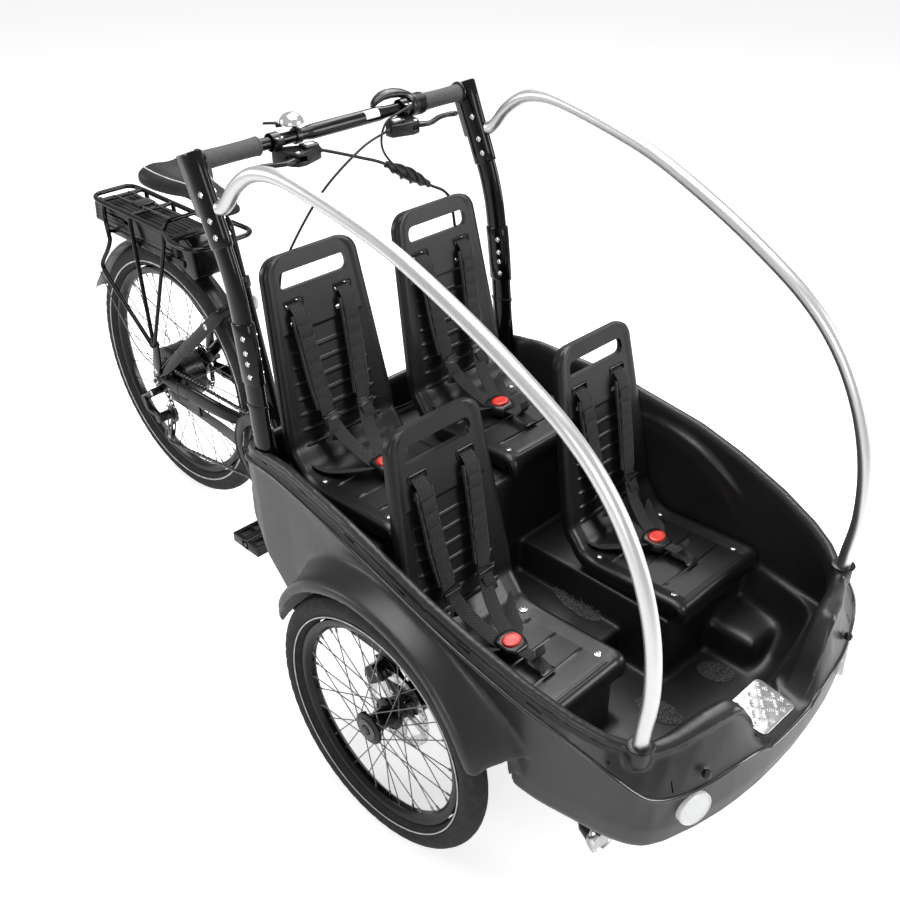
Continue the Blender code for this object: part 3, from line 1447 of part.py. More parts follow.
def make_rear_frame():
    head = lathe(
        [
            (PIN_R + RUNNING, PIN_LOW_Z + RUNNING),
            (HEAD_TUBE_R, PIN_LOW_Z + RUNNING),
            (HEAD_TUBE_R, rail_low - RUNNING),
            (PIN_R + RUNNING, rail_low - RUNNING),
        ],
        (PIN_X, 0, 0),
        (0, 0, 1),
        16,
        closed=True,
    )
    main_start = Vector((PIN_X - 0.0165, 0, 0.233))
    main_tube = rod(main_start, BB + Vector((0.006, 0, 0)), MAIN_TUBE_R, 12)
    shell = rod(BB - across * SHELL_HALF, BB + across * SHELL_HALF, SHELL_R, 14)
    seat_tube = rod(BB + seat_way * 0.006, SEAT_TUBE_TOP, SEAT_TUBE_R, 14)
    collar = rod(SEAT_TUBE_TOP - seat_way * 0.024, SEAT_TUBE_TOP - seat_way * 0.002, SEAT_TUBE_R + 0.0035, 14)
    axle = rod(
        (rear_axle.x, -DROPOUT_OUT - 0.012, rear_axle.z),
        (rear_axle.x, DROPOUT_OUT + 0.010, rear_axle.z),
        REAR_AXLE_R,
        16,
    )
    solids = [main_tube, shell, seat_tube, collar, axle]
    for side in (-1, 1):
        inner = DROPOUT_IN if side < 0 else 0.0528
        chainstay = [
            (-1.195, side * STAY_Y, 0.343, 0.012, 0.0070),
            (-1.146, side * 0.0675, 0.345, 0.018, 0.0080),
            (-1.050, side * 0.0660, 0.350, 0.024, 0.0085),
            (-0.950, side * 0.0560, 0.346, 0.021, 0.0085),
            (-0.905, side * 0.0360, 0.333, 0.017, 0.0080),
            (-0.860, side * 0.0280, 0.315, 0.015, 0.0080),
            (-0.796, side * 0.0200, 0.292, 0.012, 0.0080),
        ]
        seatstay = [
            (-1.203, side * STAY_Y, 0.356, 0.010, 0.0070),
            (-1.150, side * 0.0670, 0.404, 0.015, 0.0085),
            (-0.955, side * 0.0540, 0.585, 0.0155, 0.0090),
            (-0.915, side * 0.0380, 0.620, 0.0140, 0.0090),
            (-0.886, side * 0.0100, 0.642, 0.0120, 0.0090),
        ]
        outline = [
            (-1.242, 0.318),
            (-1.242, 0.352),
            (-1.214, 0.388),
            (-1.186, 0.384),
            (-1.172, 0.350),
            (-1.190, 0.322),
            (-1.212, 0.300),
            (-1.230, 0.296),
        ]
        plate = side_prism(outline, min(side * inner, side * DROPOUT_OUT), max(side * inner, side * DROPOUT_OUT))
        nut = rod(
            (rear_axle.x, side * (DROPOUT_OUT - 0.002), rear_axle.z),
            (rear_axle.x, side * (DROPOUT_OUT + 0.008), rear_axle.z),
            0.0105,
            6,
        )
        lug = rod((-1.200, side * (DROPOUT_OUT - 0.002), 0.374), (-1.200, side * RACK_FOOT_Y, 0.374), 0.007, 8)
        solids += [oval_sweep(chainstay), oval_sweep(seatstay), plate, nut, lug]
    bridge_route = [(-0.9585, 0.0525, 0.5905), (-0.9698, 0.0340, 0.5961)]
    bridge_right = [(x, -y, z) for x, y, z in bridge_route]
    bridge = tube(bridge_right + bridge_route[::-1], 0.006, 6)
    caliper = make_caliper(rear_disc_centre, 35, 0.072, 0.026, 0.0035, 0.0)
    arm = tube([(-1.160, 0.064, 0.372), (-1.140, 0.0655, 0.385)], 0.008, 8)
    frame = fused(solids + [bridge, caliper, arm, head])
    bores = [
        rod((PIN_X, 0, 0.0), (PIN_X, 0, 0.4), PIN_R + RUNNING, 16),
        rod(BB - across * 0.05, BB + across * 0.05, CRANK_SPINDLE_R + RUNNING, 14),
        rod(SEAT_TUBE_TOP - seat_way * SEAT_BORE_DEPTH, SEAT_TUBE_TOP + seat_way * 0.02, SEAT_POST_R + RUNNING, 14),
    ]
    return cut(frame, bores)


RACK_FOOT_Y = 0.0765
SEAT_BORE_DEPTH = 0.270
SEAT_INSERTED = 0.140
DECK_Z = 0.767

frame_mesh = make_rear_frame()
piece("rear_frame", frame_mesh, "frame_black", "rear_frame")


# Drive

CHAIN_Y = -0.048
PITCH = 0.0127
RING_TEETH = 44
SPROCKET_TEETH = 17
PULLEY_TEETH = 11
CHAIN_TALL = 0.0070
CHAIN_WIDE = 0.0070
CRANK_LENGTH = 0.170
CRANK_ANGLE = -63.7  # of the right crank arm above the level, forwards
GUIDE_PULLEY = Vector((-1.212, CHAIN_Y, 0.233))
TENSION_PULLEY = Vector((-1.236, CHAIN_Y, 0.152))


def pitch_radius(teeth):
    return PITCH / (2 * math.sin(math.pi / teeth))


ring_r = pitch_radius(RING_TEETH)
sprocket_r = pitch_radius(SPROCKET_TEETH)
pulley_r = pitch_radius(PULLEY_TEETH)
wheels_of_chain = [
    (Vector((BB.x, BB.z)), ring_r, 1),
    (Vector((rear_axle.x, rear_axle.z)), sprocket_r, 1),
    (Vector((GUIDE_PULLEY.x, GUIDE_PULLEY.z)), pulley_r, -1),
    (Vector((TENSION_PULLEY.x, TENSION_PULLEY.z)), pulley_r, 1),
]


def chain_route():
    """Where the chain's middle line runs, over every wheel in turn."""
    tangents = []
    count = len(wheels_of_chain)
    for i in range(count):
        start, start_r, start_turn = wheels_of_chain[i]
        end, end_r, end_turn = wheels_of_chain[(i + 1) % count]
        apart = end - start
        offset = end_turn * end_r - start_turn * start_r
        run = math.sqrt(apart.length_squared - offset * offset)
        heading = math.atan2(apart.y, apart.x) - math.atan2(offset, run)
        left = Vector((-math.sin(heading), math.cos(heading)))
        tangents.append((start - left * start_turn * start_r, end - left * end_turn * end_r))
    route = []
    for i in range(count):
        centre, radius, turn = wheels_of_chain[i]
        arrive = tangents[i - 1][1] - centre
        leave = tangents[i][0] - centre
        first = math.atan2(arrive.y, arrive.x)
        sweep = (math.atan2(leave.y, leave.x) - first) * turn % (2 * math.pi)
        steps = math.ceil(max(sweep * radius / 0.020, sweep / math.radians(26)))
        for k in range(steps + 1):
            here = first + turn * sweep * k / steps
            route.append(centre + Vector((math.cos(here), math.sin(here))) * radius)
    return route


def make_chain():
    route = chain_route()
    rings = []
    for i, here in enumerate(route):
        way = (route[(i + 1) % len(route)] - route[i - 1]).normalized()
        out = Vector((way.y, 0, -way.x)) * CHAIN_TALL / 2
        reach = across * CHAIN_WIDE / 2
        middle = Vector((here.x, CHAIN_Y, here.y))
        rings.append([middle - reach - out, middle + reach - out, middle + reach + out, middle - reach + out])
    return loft(rings, wrap=True)


piece("chain", make_chain(), "steel", "rear_frame")

CHAIN_CLEAR = CHAIN_TALL / 2 + 0.0012
body("cassette", rear_axle, "rear_frame")


def make_cassette():
    wide = CHAIN_WIDE / 2
    profile = [
        (REAR_AXLE_R + RUNNING, -MOTOR_WIDTH / 2 - 0.0020),
        (0.0270, -MOTOR_WIDTH / 2 - 0.0020),
        (0.0460, -0.0390),
        (0.0460, -0.0410),
        (0.0400, -0.0412),
        (0.0400, CHAIN_Y + wide + 0.0006),
        (sprocket_r - CHAIN_CLEAR, CHAIN_Y + wide + 0.0006),
        (sprocket_r - CHAIN_CLEAR, CHAIN_Y - wide),
        (0.0240, -0.0575),
        (REAR_AXLE_R + RUNNING, -0.0585),
    ]
    return lathe(profile, rear_axle - Vector((0, rear_axle.y, 0)), (0, 1, 0), 17, closed=True)


piece("cassette", make_cassette(), "steel", "cassette")

body("crank", BB, "rear_frame")
CRANK_IN = 0.0740
CRANK_OUT = 0.0880
PEDAL_IN = 0.0960
PEDAL_OUT = 0.1860
PEDAL_PIN_R = 0.0060
crank_out = Vector((math.cos(math.radians(CRANK_ANGLE)), 0, math.sin(math.radians(CRANK_ANGLE))))
crank_up = across.cross(crank_out)


def make_crankset():
    ring_out = ring_r - CHAIN_CLEAR
    ring = lathe(
        [(ring_out, -0.0016), (ring_out, 0.0016), (ring_out - 0.017, 0.0016), (ring_out - 0.017, -0.0016)],
        (BB.x, CHAIN_Y, BB.z),
        (0, 1, 0),
        32,
        closed=True,
    )
    spindle = rod((BB.x, -CRANK_IN - 0.004, BB.z), (BB.x, CRANK_IN + 0.004, BB.z), CRANK_SPINDLE_R, 14)
    carrier = rod((BB.x, -CRANK_IN - 0.002, BB.z), (BB.x, CHAIN_Y + 0.0016, BB.z), 0.024, 14)
    solids = [ring, spindle, carrier]
    for i in range(5):
        turn = math.radians(CRANK_ANGLE + 36 + 72 * i)
        out = Vector((math.cos(turn), 0, math.sin(turn)))
        outline = [(0.015, -0.008), (ring_out - 0.008, -0.005), (ring_out - 0.008, 0.005), (0.015, 0.008)]
        solids.append(prism(outline, (BB.x, CHAIN_Y, BB.z), out, across.cross(out), 0.0028))
    for side in (-1, 1):
        outline = [
            (-0.016, -0.010),
            (-0.010, -0.017),
            (0.012, -0.016),
            (CRANK_LENGTH - 0.010, -0.0105),
            (CRANK_LENGTH + 0.009, -0.0105),
            (CRANK_LENGTH + 0.015, -0.004),
            (CRANK_LENGTH + 0.015, 0.004),
            (CRANK_LENGTH + 0.009, 0.0105),
            (CRANK_LENGTH - 0.010, 0.0105),
            (0.012, 0.016),
            (-0.010, 0.017),
            (-0.016, 0.010),
        ]
        out = crank_out * -side
        middle = BB + across * side * (CRANK_IN + CRANK_OUT) / 2
        solids.append(prism(outline, middle, out, across.cross(out), CRANK_OUT - CRANK_IN))
        pin_foot = BB + out * CRANK_LENGTH + across * side * (CRANK_OUT - 0.004)
        solids.append(rod(pin_foot, pin_foot + across * side * (PEDAL_OUT - CRANK_OUT - 0.010), PEDAL_PIN_R, 12))
    return fused(solids)


piece("crankset", make_crankset(), "frame_black", "crank")


def make_pedal(side):
    centre = BB + crank_out * -side * CRANK_LENGTH
    low = min(side * PEDAL_IN, side * PEDAL_OUT)
    high = max(side * PEDAL_IN, side * PEDAL_OUT)
    cage = block(
        (centre.x - 0.047, low, centre.z - 0.012),
        (centre.x + 0.047, high, centre.z + 0.012),
    )
    barrel = rod((centre.x, low - 0.002, centre.z), (centre.x, high, centre.z), 0.0135, 12)
    if side < 0:
        barrel = rod((centre.x, low, centre.z), (centre.x, high + 0.002, centre.z), 0.0135, 12)
    windows = []
    for way in (-1, 1):
        near = centre.x + way * 0.0145
        far = centre.x + way * 0.0370
        windows.append(
            block(
                (min(near, far), low + 0.010, centre.z - 0.03),
                (max(near, far), high - 0.010, centre.z + 0.03),
            )
        )
    bore_end = side * (PEDAL_OUT - 0.008)
    bore = rod((centre.x, side * (PEDAL_IN - 0.02), centre.z), (centre.x, bore_end, centre.z), PEDAL_PIN_R + RUNNING, 12)
    return cut(fused([cut(cage, windows), barrel]), [bore])


for name, side in (("right", -1), ("left", 1)):
    pedal_centre = BB + crank_out * -side * CRANK_LENGTH
    body("pedal_" + name, pedal_centre + across * side * (PEDAL_IN + PEDAL_OUT) / 2, "crank")
    piece("pedal_" + name, make_pedal(side), "moulded_black", "pedal_" + name)


def make_chain_guard():
    """A ring around the chain wheel, with a strip back along the lower side of the stay."""
    ring = lathe(
        [(0.108, -0.0015), (0.108, 0.0015), (0.082, 0.0015), (0.082, -0.0015)],
        (BB.x, GUARD_Y, BB.z),
        (0, 1, 0),
        28,
        closed=True,
    )
    strip = [
        (-1.176, 0.2960),
        (-1.168, 0.3240),
        (-0.960, 0.3180),
        (-0.900, 0.3130),
        (-0.880, 0.2900),
        (-0.892, 0.2760),
        (-0.968, 0.2860),
        (-1.100, 0.2940),
    ]
    panel = side_prism(strip, GUARD_Y - 0.0014, GUARD_Y + 0.0014)
    tab = block((-1.060, GUARD_Y - 0.0060, 0.300), (-1.040, GUARD_Y - 0.0005, 0.3360))
    tab = seated(tab, frame_mesh, (0, 0, -1))
    return fused([ring, panel, tab])


GUARD_Y = -0.0625
piece("chain_guard", make_chain_guard(), "moulded_black", "rear_frame")


# Gear changer: its arm is fixed to the dropout, and its cage swings

CAGE_PIVOT = Vector((-1.212, -0.070, 0.233))


def make_derailleur():
    knuckle = rod((-1.222, -DROPOUT_OUT - GAP, 0.306), (-1.222, -0.094, 0.306), 0.010, 12)
    arm = oval_sweep(
        [
            (-1.222, -0.086, 0.306, 0.008, 0.007),
            (-1.262, -0.092, 0.276, 0.012, 0.009),
            (-1.250, -0.088, 0.248, 0.012, 0.009),
            (-1.212, -0.084, 0.233, 0.011, 0.008),
        ]
    )
    pivot = rod((-1.212, -0.092, 0.233), (-1.212, CHAIN_Y - 0.0095, 0.233), 0.0130, 12)
    pin = rod((-1.212, -0.080, 0.233), (-1.212, CHAIN_Y - 0.0072, 0.233), 0.0050, 12)
    return fused([knuckle, arm, pivot, pin])


piece("derailleur", make_derailleur(), "frame_black", "rear_frame")
body("derailleur_cage", CAGE_PIVOT, "rear_frame")


def make_cage():
    way = Vector((TENSION_PULLEY.x - GUIDE_PULLEY.x, TENSION_PULLEY.z - GUIDE_PULLEY.z))
    long = way.length
    down = Vector((way.x, 0, way.y)) / long
    aside = across.cross(down)
    solids = []
    for low in (-0.0070, 0.0055):
        outline = [(-0.012, -0.008), (-0.006, -0.012), (long + 0.004, -0.007), (long + 0.011, 0.0)]
        outline += [(long + 0.004, 0.007), (-0.006, 0.012), (-0.012, 0.008)]
        middle = GUIDE_PULLEY + across * (low + 0.00075)
        solids.append(prism(outline, middle, down, aside, 0.0015))
    for centre in (GUIDE_PULLEY, TENSION_PULLEY):
        solids.append(rod(centre - across * 0.0065, centre + across * 0.0065, 0.0040, 8))
        solids.append(rod(centre - across * 0.0011, centre + across * 0.0011, pulley_r - CHAIN_CLEAR, 12))
    cage = fused(solids)
    pocket = rod(CAGE_PIVOT - across * 0.02, CAGE_PIVOT + across * 0.0160, 0.0050 + RUNNING / 2, 12)
    return cut(cage, [pocket])


piece("derailleur_cage", make_cage(), "steel", "derailleur_cage")


# Rack with the battery's dock, mudguard, seat post and saddle

RACK_TUBE_R = 0.006
STRIP_TOP_Z = 0.7050
BATTERY_HALF = 0.0515
DOCK_X = -1.074


def make_rack():
    half = [(-1.3800, 0.060), (-1.1100, 0.060), (-1.0600, 0.084), (-1.0400, 0.092), (-0.9750, 0.095)]
    half += [(-0.9540, 0.082), (-0.9480, 0.060)]
    right = [(x, -y, DECK_Z) for x, y in half]
    left = [(x, y, DECK_Z) for x, y in reversed(half)]
    tail = [(-1.3760, 0.060, DECK_Z + 0.0003), (-1.4100, 0.056, 0.769), (-1.4280, 0.038, 0.771)]
    tail_left = [(x, -y, z) for x, y, z in tail]
    solids = [
        tube(right + left, RACK_TUBE_R, 6),
        tube(tail_left + tail[::-1], RACK_TUBE_R - 0.0004, 6),
        rod((-1.385, -0.058, DECK_Z), (-1.385, 0.058, DECK_Z), 0.005, 6),
        rod((-1.250, -0.058, DECK_Z), (-1.250, 0.058, DECK_Z), 0.005, 6),
        rod((-1.040, -0.090, DECK_Z), (-1.040, 0.090, DECK_Z), 0.005, 6),
        rod((-1.352, -0.045, 0.690), (-1.352, 0.045, 0.690), 0.004, 6),
        rod((-1.352, 0, 0.690), (-1.352, 0, 0.6692), 0.004, 6),
        tube(
            [(-1.105, -0.060, DECK_Z), (-1.102, -0.046, 0.789), (-1.102, 0.046, 0.789), (-1.105, 0.060, DECK_Z)],
            0.005,
            6,
        ),
    ]
    foot = (-1.184, 0.454)
    for side in (-1, 1):
        legs = [
            [(-1.369, 0.060, DECK_Z), (-1.369, 0.062, 0.740), (-1.337, 0.075, 0.687), (-1.392, 0.080, 0.605)],
            [(-1.250, 0.060, DECK_Z), (-1.250, 0.061, 0.745)],
            [(-1.108, 0.060, DECK_Z), (-1.108, 0.061, 0.738)],
        ]
        for i, leg in enumerate(legs):
            route = [(x, side * y, z) for x, y, z in leg]
            end = (foot[0] - 0.004 + 0.004 * i, side * 0.086, foot[1] - 0.006 + 0.004 * i)
            solids.append(tube(route + [end], 0.0055 - 0.0003 * i, 6))
        plate = [(-1.194, 0.465), (-1.172, 0.465), (-1.176, 0.400), (-1.190, 0.362), (-1.210, 0.362), (-1.212, 0.384)]
        low = RACK_FOOT_Y + GAP
        high = RACK_FOOT_Y + GAP + 0.0055
        solids.append(side_prism(plate, min(side * low, side * high), max(side * low, side * high)))
        strip_low = min(side * 0.0400, side * 0.0515)
        strip_high = max(side * 0.0400, side * 0.0515)
        solids.append(block((-1.395, strip_low, 0.688), (-1.050, strip_high, STRIP_TOP_Z)))
        solids.append(rod((-1.352, side * 0.048, 0.6965), (-1.350, side * 0.071, 0.7030), 0.0045, 6))
    dock = side_prism(
        [(DOCK_X, 0.683), (DOCK_X, 0.756), (-1.036, 0.764), (-1.017, 0.752), (-1.004, 0.676), (-1.020, 0.665)],
        -0.048,
        0.048,
        0.004,
    )
    brace = tube([(-0.948, 0, DECK_Z), (-0.9240, 0, 0.690), (-0.9125, 0, 0.667)], 0.0055, 6)
    brace = seated(brace, frame_mesh, (-1, 0, -0.60), 2 * GAP)
    return fused(solids + [dock, brace])


piece("rack", make_rack(), "frame_black", "rear_frame")

BATTERY_TRAVEL = 0.300


def make_battery():
    outline = [
        (-1.4390, STRIP_TOP_Z + GAP),
        (-1.4330, 0.7560),
        (DOCK_X - GAP, 0.7560),
        (DOCK_X - GAP, STRIP_TOP_Z + GAP),
    ]
    case = side_prism(outline, -BATTERY_HALF, BATTERY_HALF, 0.0)
    keel = block((-1.400, -0.0395, 0.6995), (DOCK_X - GAP, 0.0395, 0.720))
    lamp = block((-1.4750, -0.030, 0.7085), (-1.430, 0.030, 0.742), 0.005, 1)
    return fused([case, keel, lamp])


body("battery", (-1.250, 0, 0.730), "rear_frame")
piece("battery", make_battery(), "moulded_black", "battery")

GUARD_R = 0.3560


def make_mudguard():
    section = [(-0.0290, -0.0120), (-0.0170, -0.0010), (0.0170, -0.0010), (0.0290, -0.0120)]
    section += [(0.0275, -0.0135), (0.0160, -0.0030), (-0.0160, -0.0030), (-0.0275, -0.0135)]
    rings = []
    for i in range(19):
        share = i / 18
        turn = math.radians(8 + 152 * share)
        flare_out = max(share - 0.86, 0) ** 2 * 1.30
        out = Vector((math.cos(turn), 0, math.sin(turn)))
        rings.append([rear_axle + across * y + out * (GUARD_R + flare_out + lift) for y, lift in section])
    return loft(rings)


piece("mudguard", make_mudguard(), "moulded_black", "rear_frame")

CLAMP_MIDDLE = Vector((-0.985, 0, 0.850))
SADDLE_RAIL_R = 0.0035
SADDLE_RAIL_Y = 0.022
body("seat_post", SEAT_TUBE_TOP, "rear_frame")


def make_seat_post():
    foot = SEAT_TUBE_TOP - seat_way * SEAT_INSERTED
    straight = SEAT_TUBE_TOP + seat_way * 0.098
    shank = rod(foot, straight, SEAT_POST_R, 14)
    neck = tube([straight - seat_way * 0.02, straight, (-0.946, 0, 0.826), (-0.985, 0, 0.842)], SEAT_POST_R - 0.0006, 10)
    cradle = block(CLAMP_MIDDLE - Vector((0.020, 0.030, 0.011)), CLAMP_MIDDLE + Vector((0.020, 0.030, 0.009)), 0.003, 1)
    bores = []
    for side in (-1, 1):
        middle = CLAMP_MIDDLE + across * side * SADDLE_RAIL_Y
        bores.append(rod(middle - Vector((0.03, 0, 0)), middle + Vector((0.03, 0, 0)), SADDLE_RAIL_R + GAP, 10))
    return cut(fused([shank, neck, cradle]), bores)


piece("seat_post", make_seat_post(), "frame_black", "seat_post")

SADDLE_STATIONS = [
    (-0.902, 0.015, 0.864, 0.853),
    (-0.912, 0.020, 0.874, 0.851),
    (-0.940, 0.0235, 0.8845, 0.8600),
    (-0.985, 0.029, 0.8900, 0.8660),
    (-1.035, 0.043, 0.8960, 0.8700),
    (-1.075, 0.068, 0.9040, 0.8760),
    (-1.110, 0.090, 0.9140, 0.8840),
    (-1.145, 0.099, 0.9230, 0.8920),
    (-1.172, 0.094, 0.9270, 0.8960),
    (-1.186, 0.072, 0.9240, 0.9010),
]


def make_saddle():
    rings = []
    for x, half, top, low in SADDLE_STATIONS:
        ring = [(-1.0, 0.30), (-0.90, 0.76), (-0.55, 1.0), (0.0, 0.92), (0.55, 1.0), (0.90, 0.76), (1.0, 0.30)]
        ring += [(0.90, 0.0), (-0.90, 0.0)]
        rings.append([(x, half * y, low + (top - low) * z) for y, z in ring])
    rails = []
    for side in (-1, 1):
        route = [(-0.928, 0.010, 0.866), (-0.938, 0.014, 0.852), (-0.958, SADDLE_RAIL_Y, 0.850)]
        route += [(-1.020, SADDLE_RAIL_Y, 0.850), (-1.060, 0.026, 0.856), (-1.120, 0.034, 0.896)]
        rails.append(tube([(x, side * y, z) for x, y, z in route], SADDLE_RAIL_R, 6))
    return fused([loft(rings)] + rails)


piece("saddle", make_saddle(), "saddle", "seat_post")

BODIES["trike"][0].location.x = ORIGIN_X
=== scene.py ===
import math

import bmesh
import bpy
from mathutils import Matrix, Vector


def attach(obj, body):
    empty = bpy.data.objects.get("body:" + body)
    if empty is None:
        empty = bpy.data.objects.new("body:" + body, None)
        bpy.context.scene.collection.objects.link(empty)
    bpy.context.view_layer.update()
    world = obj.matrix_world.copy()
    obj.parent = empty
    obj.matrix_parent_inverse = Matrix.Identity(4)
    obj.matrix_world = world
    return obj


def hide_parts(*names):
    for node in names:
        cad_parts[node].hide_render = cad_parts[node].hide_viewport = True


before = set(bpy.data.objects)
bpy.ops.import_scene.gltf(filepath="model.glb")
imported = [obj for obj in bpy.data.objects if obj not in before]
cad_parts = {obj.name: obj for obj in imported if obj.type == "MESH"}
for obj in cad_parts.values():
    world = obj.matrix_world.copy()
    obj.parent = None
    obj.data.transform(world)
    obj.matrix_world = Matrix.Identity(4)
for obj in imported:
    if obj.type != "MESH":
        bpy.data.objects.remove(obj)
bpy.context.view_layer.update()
scene = bpy.context.scene
axleX = 0.5075  # from the part's origin forward to the front axle
across = Vector((0, 1, 0))
upward = Vector((0, 0, 1))
upright = ((1, 0, 0), (0, 0, 1))  # the right and up of a shape that stands in the x-z plane


# Camera, light and floor

def at(x, y, z):
    return Vector((x + axleX, y, z))


def aimed(obj, place, target):
    obj.location = place
    obj.rotation_euler = (Vector(target) - Vector(place)).to_track_quat("-Z", "Y").to_euler()


photoView = {"place": (1.595, -1.319, 1.7185), "target": (0.3485, -0.072, 0.6), "focal": 44.64, "sensor": 36}
lens = bpy.data.cameras.new("photoLens")
lens.sensor_width = photoView["sensor"]
lens.lens = photoView["focal"]
lens.clip_end = 60
camera = bpy.data.objects.new("photoCamera", lens)
scene.collection.objects.link(camera)
aimed(camera, photoView["place"], photoView["target"])
scene.camera = camera
scene.view_settings.view_transform = "Standard"

softLamps = {
    "overhead": {"place": (0.1, 0.3, 3.4), "size": 2.2, "power": 88},
    "leftFront": {"place": (2.4, -2.9, 1.9), "size": 1.3, "power": 29},
    "rightBack": {"place": (-1.3, 2.1, 3.5), "size": 1.5, "power": 64},
    "rightFront": {"place": (3.0, 2.0, 1.7), "size": 1.4, "power": 72},
    "leftBack": {"place": (-2.6, -2.2, 1.8), "size": 1.2, "power": 30},
}
for lampName, given in softLamps.items():
    lampData = bpy.data.lights.new(lampName, "AREA")
    lampData.energy = given["power"]
    lampData.size = given["size"]
    lamp = bpy.data.objects.new(lampName, lampData)
    scene.collection.objects.link(lamp)
    aimed(lamp, given["place"], (0, 0, 0.5))


# Shader maths: numbers that Math nodes work out, written as plain sums

class Number:
    def __init__(self, tree, socket):
        self.tree = tree
        self.socket = socket

    def step(self, operation, other=None, swapped=False):
        made = self.tree.nodes.new("ShaderNodeMath")
        made.operation = operation
        parts = [self] if other is None else [self, other]
        if swapped:
            parts.reverse()
        for slot, part in zip(made.inputs, parts):
            if isinstance(part, Number):
                self.tree.links.new(part.socket, slot)
            else:
                slot.default_value = part
        return Number(self.tree, made.outputs[0])

    def __add__(self, other):
        return self.step("ADD", other)

    def __radd__(self, other):
        return self.step("ADD", other)

    def __sub__(self, other):
        return self.step("SUBTRACT", other)

    def __rsub__(self, other):
        return self.step("SUBTRACT", other, True)

    def __mul__(self, other):
        return self.step("MULTIPLY", other)

    def __rmul__(self, other):
        return self.step("MULTIPLY", other)

    def clamped(self):
        return self.step("MAXIMUM", 0.0).step("MINIMUM", 1.0)

    def sine(self):
        return self.step("SINE")

    def size(self):
        return self.step("ABSOLUTE")


class Finish:
    def __init__(self, name, colour, roughness, metallic=0.0, coat=0.0, coatRoughness=0.1, specular=0.5):
        self.made = bpy.data.materials.new(name)
        self.made.use_nodes = True
        self.tree = self.made.node_tree
        self.shader = self.tree.nodes["Principled BSDF"]
        self.colour = colour
        self.put("Base Color", (*colour, 1))
        self.put("Roughness", roughness)
        self.put("Metallic", metallic)
        self.put("Coat Weight", coat)
        self.put("Coat Roughness", coatRoughness)
        self.put("Specular IOR Level", specular)
        self.made.diffuse_color = (*colour, 1)

    def put(self, socket, value):
        if isinstance(value, Number):
            self.tree.links.new(value.socket, self.shader.inputs[socket])
        elif isinstance(value, bpy.types.NodeSocket):
            self.tree.links.new(value, self.shader.inputs[socket])
        else:
            self.shader.inputs[socket].default_value = value

    def node(self, kind, settings=None, **inputs):
        made = self.tree.nodes.new(kind)
        for key, value in (settings or {}).items():
            setattr(made, key, value)
        for key, value in inputs.items():
            slot = made.inputs[key.replace("_", " ")]
            if isinstance(value, Number):
                self.tree.links.new(value.socket, slot)
            elif isinstance(value, bpy.types.NodeSocket):
                self.tree.links.new(value, slot)
            else:
                slot.default_value = value
        return made

    def spot(self):
        return self.node("ShaderNodeTexCoord").outputs["Object"]

    def noise(self, scale, detail=3.0, vector=None, rough=0.55):
        made = self.node(
            "ShaderNodeTexNoise", None, Vector=vector or self.spot(), Scale=scale, Detail=detail,
            Roughness=rough
        )
        return Number(self.tree, made.outputs["Fac"])

    def axes(self, source="Object"):
        split = self.node("ShaderNodeSeparateXYZ", None,
                          Vector=self.node("ShaderNodeTexCoord").outputs[source])
        return [Number(self.tree, out) for out in split.outputs]

    def blendTo(self, other, share):
        mixed = self.node("ShaderNodeMix", {"data_type": "RGBA"})
        slots = [s for s in mixed.inputs if s.type == "RGBA"]
        slots[0].default_value = (*self.colour, 1)
        slots[1].default_value = (*other, 1)
        self.tree.links.new(share.socket, mixed.inputs["Factor"])
        self.put("Base Color", [s for s in mixed.outputs if s.type == "RGBA"][0])

    def bump(self, height, distance, strength=1.0):
        made = self.node("ShaderNodeBump", None, Strength=strength, Distance=distance, Height=height)
        self.put("Normal", made.outputs["Normal"])


def mouldedFinish(name, colour, roughness, grain, specular=0.42):
    made = Finish(name, colour, roughness, specular=specular)
    dust = ((made.noise(7.0, 5.0) - 0.42) * 2.2).clamped()
    fine = made.noise(2600.0, 2.0)
    made.blendTo([c * 1.7 + 0.004 for c in colour], dust * 0.6 + fine * 0.2)
    made.put("Roughness", made.noise(30.0) * 0.12 + fine * 0.10 + (roughness - 0.11))
    made.bump(made.noise(1500.0, 2.0) * 0.7 + made.noise(420.0, 2.0) * 0.3, grain)
    return made.made


def paintFinish(name, colour, roughness):
    made = Finish(name, colour, roughness, specular=0.26)
    made.blendTo([c * 1.8 + 0.003 for c in colour], ((made.noise(55.0, 6.0) - 0.5) * 3).clamped())
    made.put("Roughness", made.noise(24.0, 5.0) * 0.16 + (roughness - 0.08))
    made.bump(made.noise(240.0, 1.0), 0.00006)
    return made.made


def metalFinish(name, colour, roughness, brush, worn):
    made = Finish(name, colour, roughness, metallic=1.0)
    stretched = made.node("ShaderNodeMapping", None, Vector=made.spot(), Scale=brush)
    lines = made.noise(1.0, 4.0, stretched.outputs["Vector"], 0.7)
    made.blendTo([c * worn for c in colour],
                 ((made.noise(38.0, 5.0) - 0.45) * 2.4).clamped() * 0.6 + lines * 0.3)
    made.put("Roughness", lines * 0.09 + made.noise(18.0) * 0.08 + (roughness - 0.085))
    made.bump(lines, 0.00002)
    return made.made


def rubberFinish(name, colour, roughness, scale, depth):
    made = Finish(name, colour, roughness, specular=0.3)
    made.blendTo([c * 2.2 + 0.006 for c in colour], ((made.noise(60.0, 6.0) - 0.45) * 2.5).clamped() * 0.7)
    made.put("Roughness", made.noise(90.0) * 0.2 + (roughness - 0.1))
    made.bump(made.noise(scale, 2.0), depth)
    return made.made


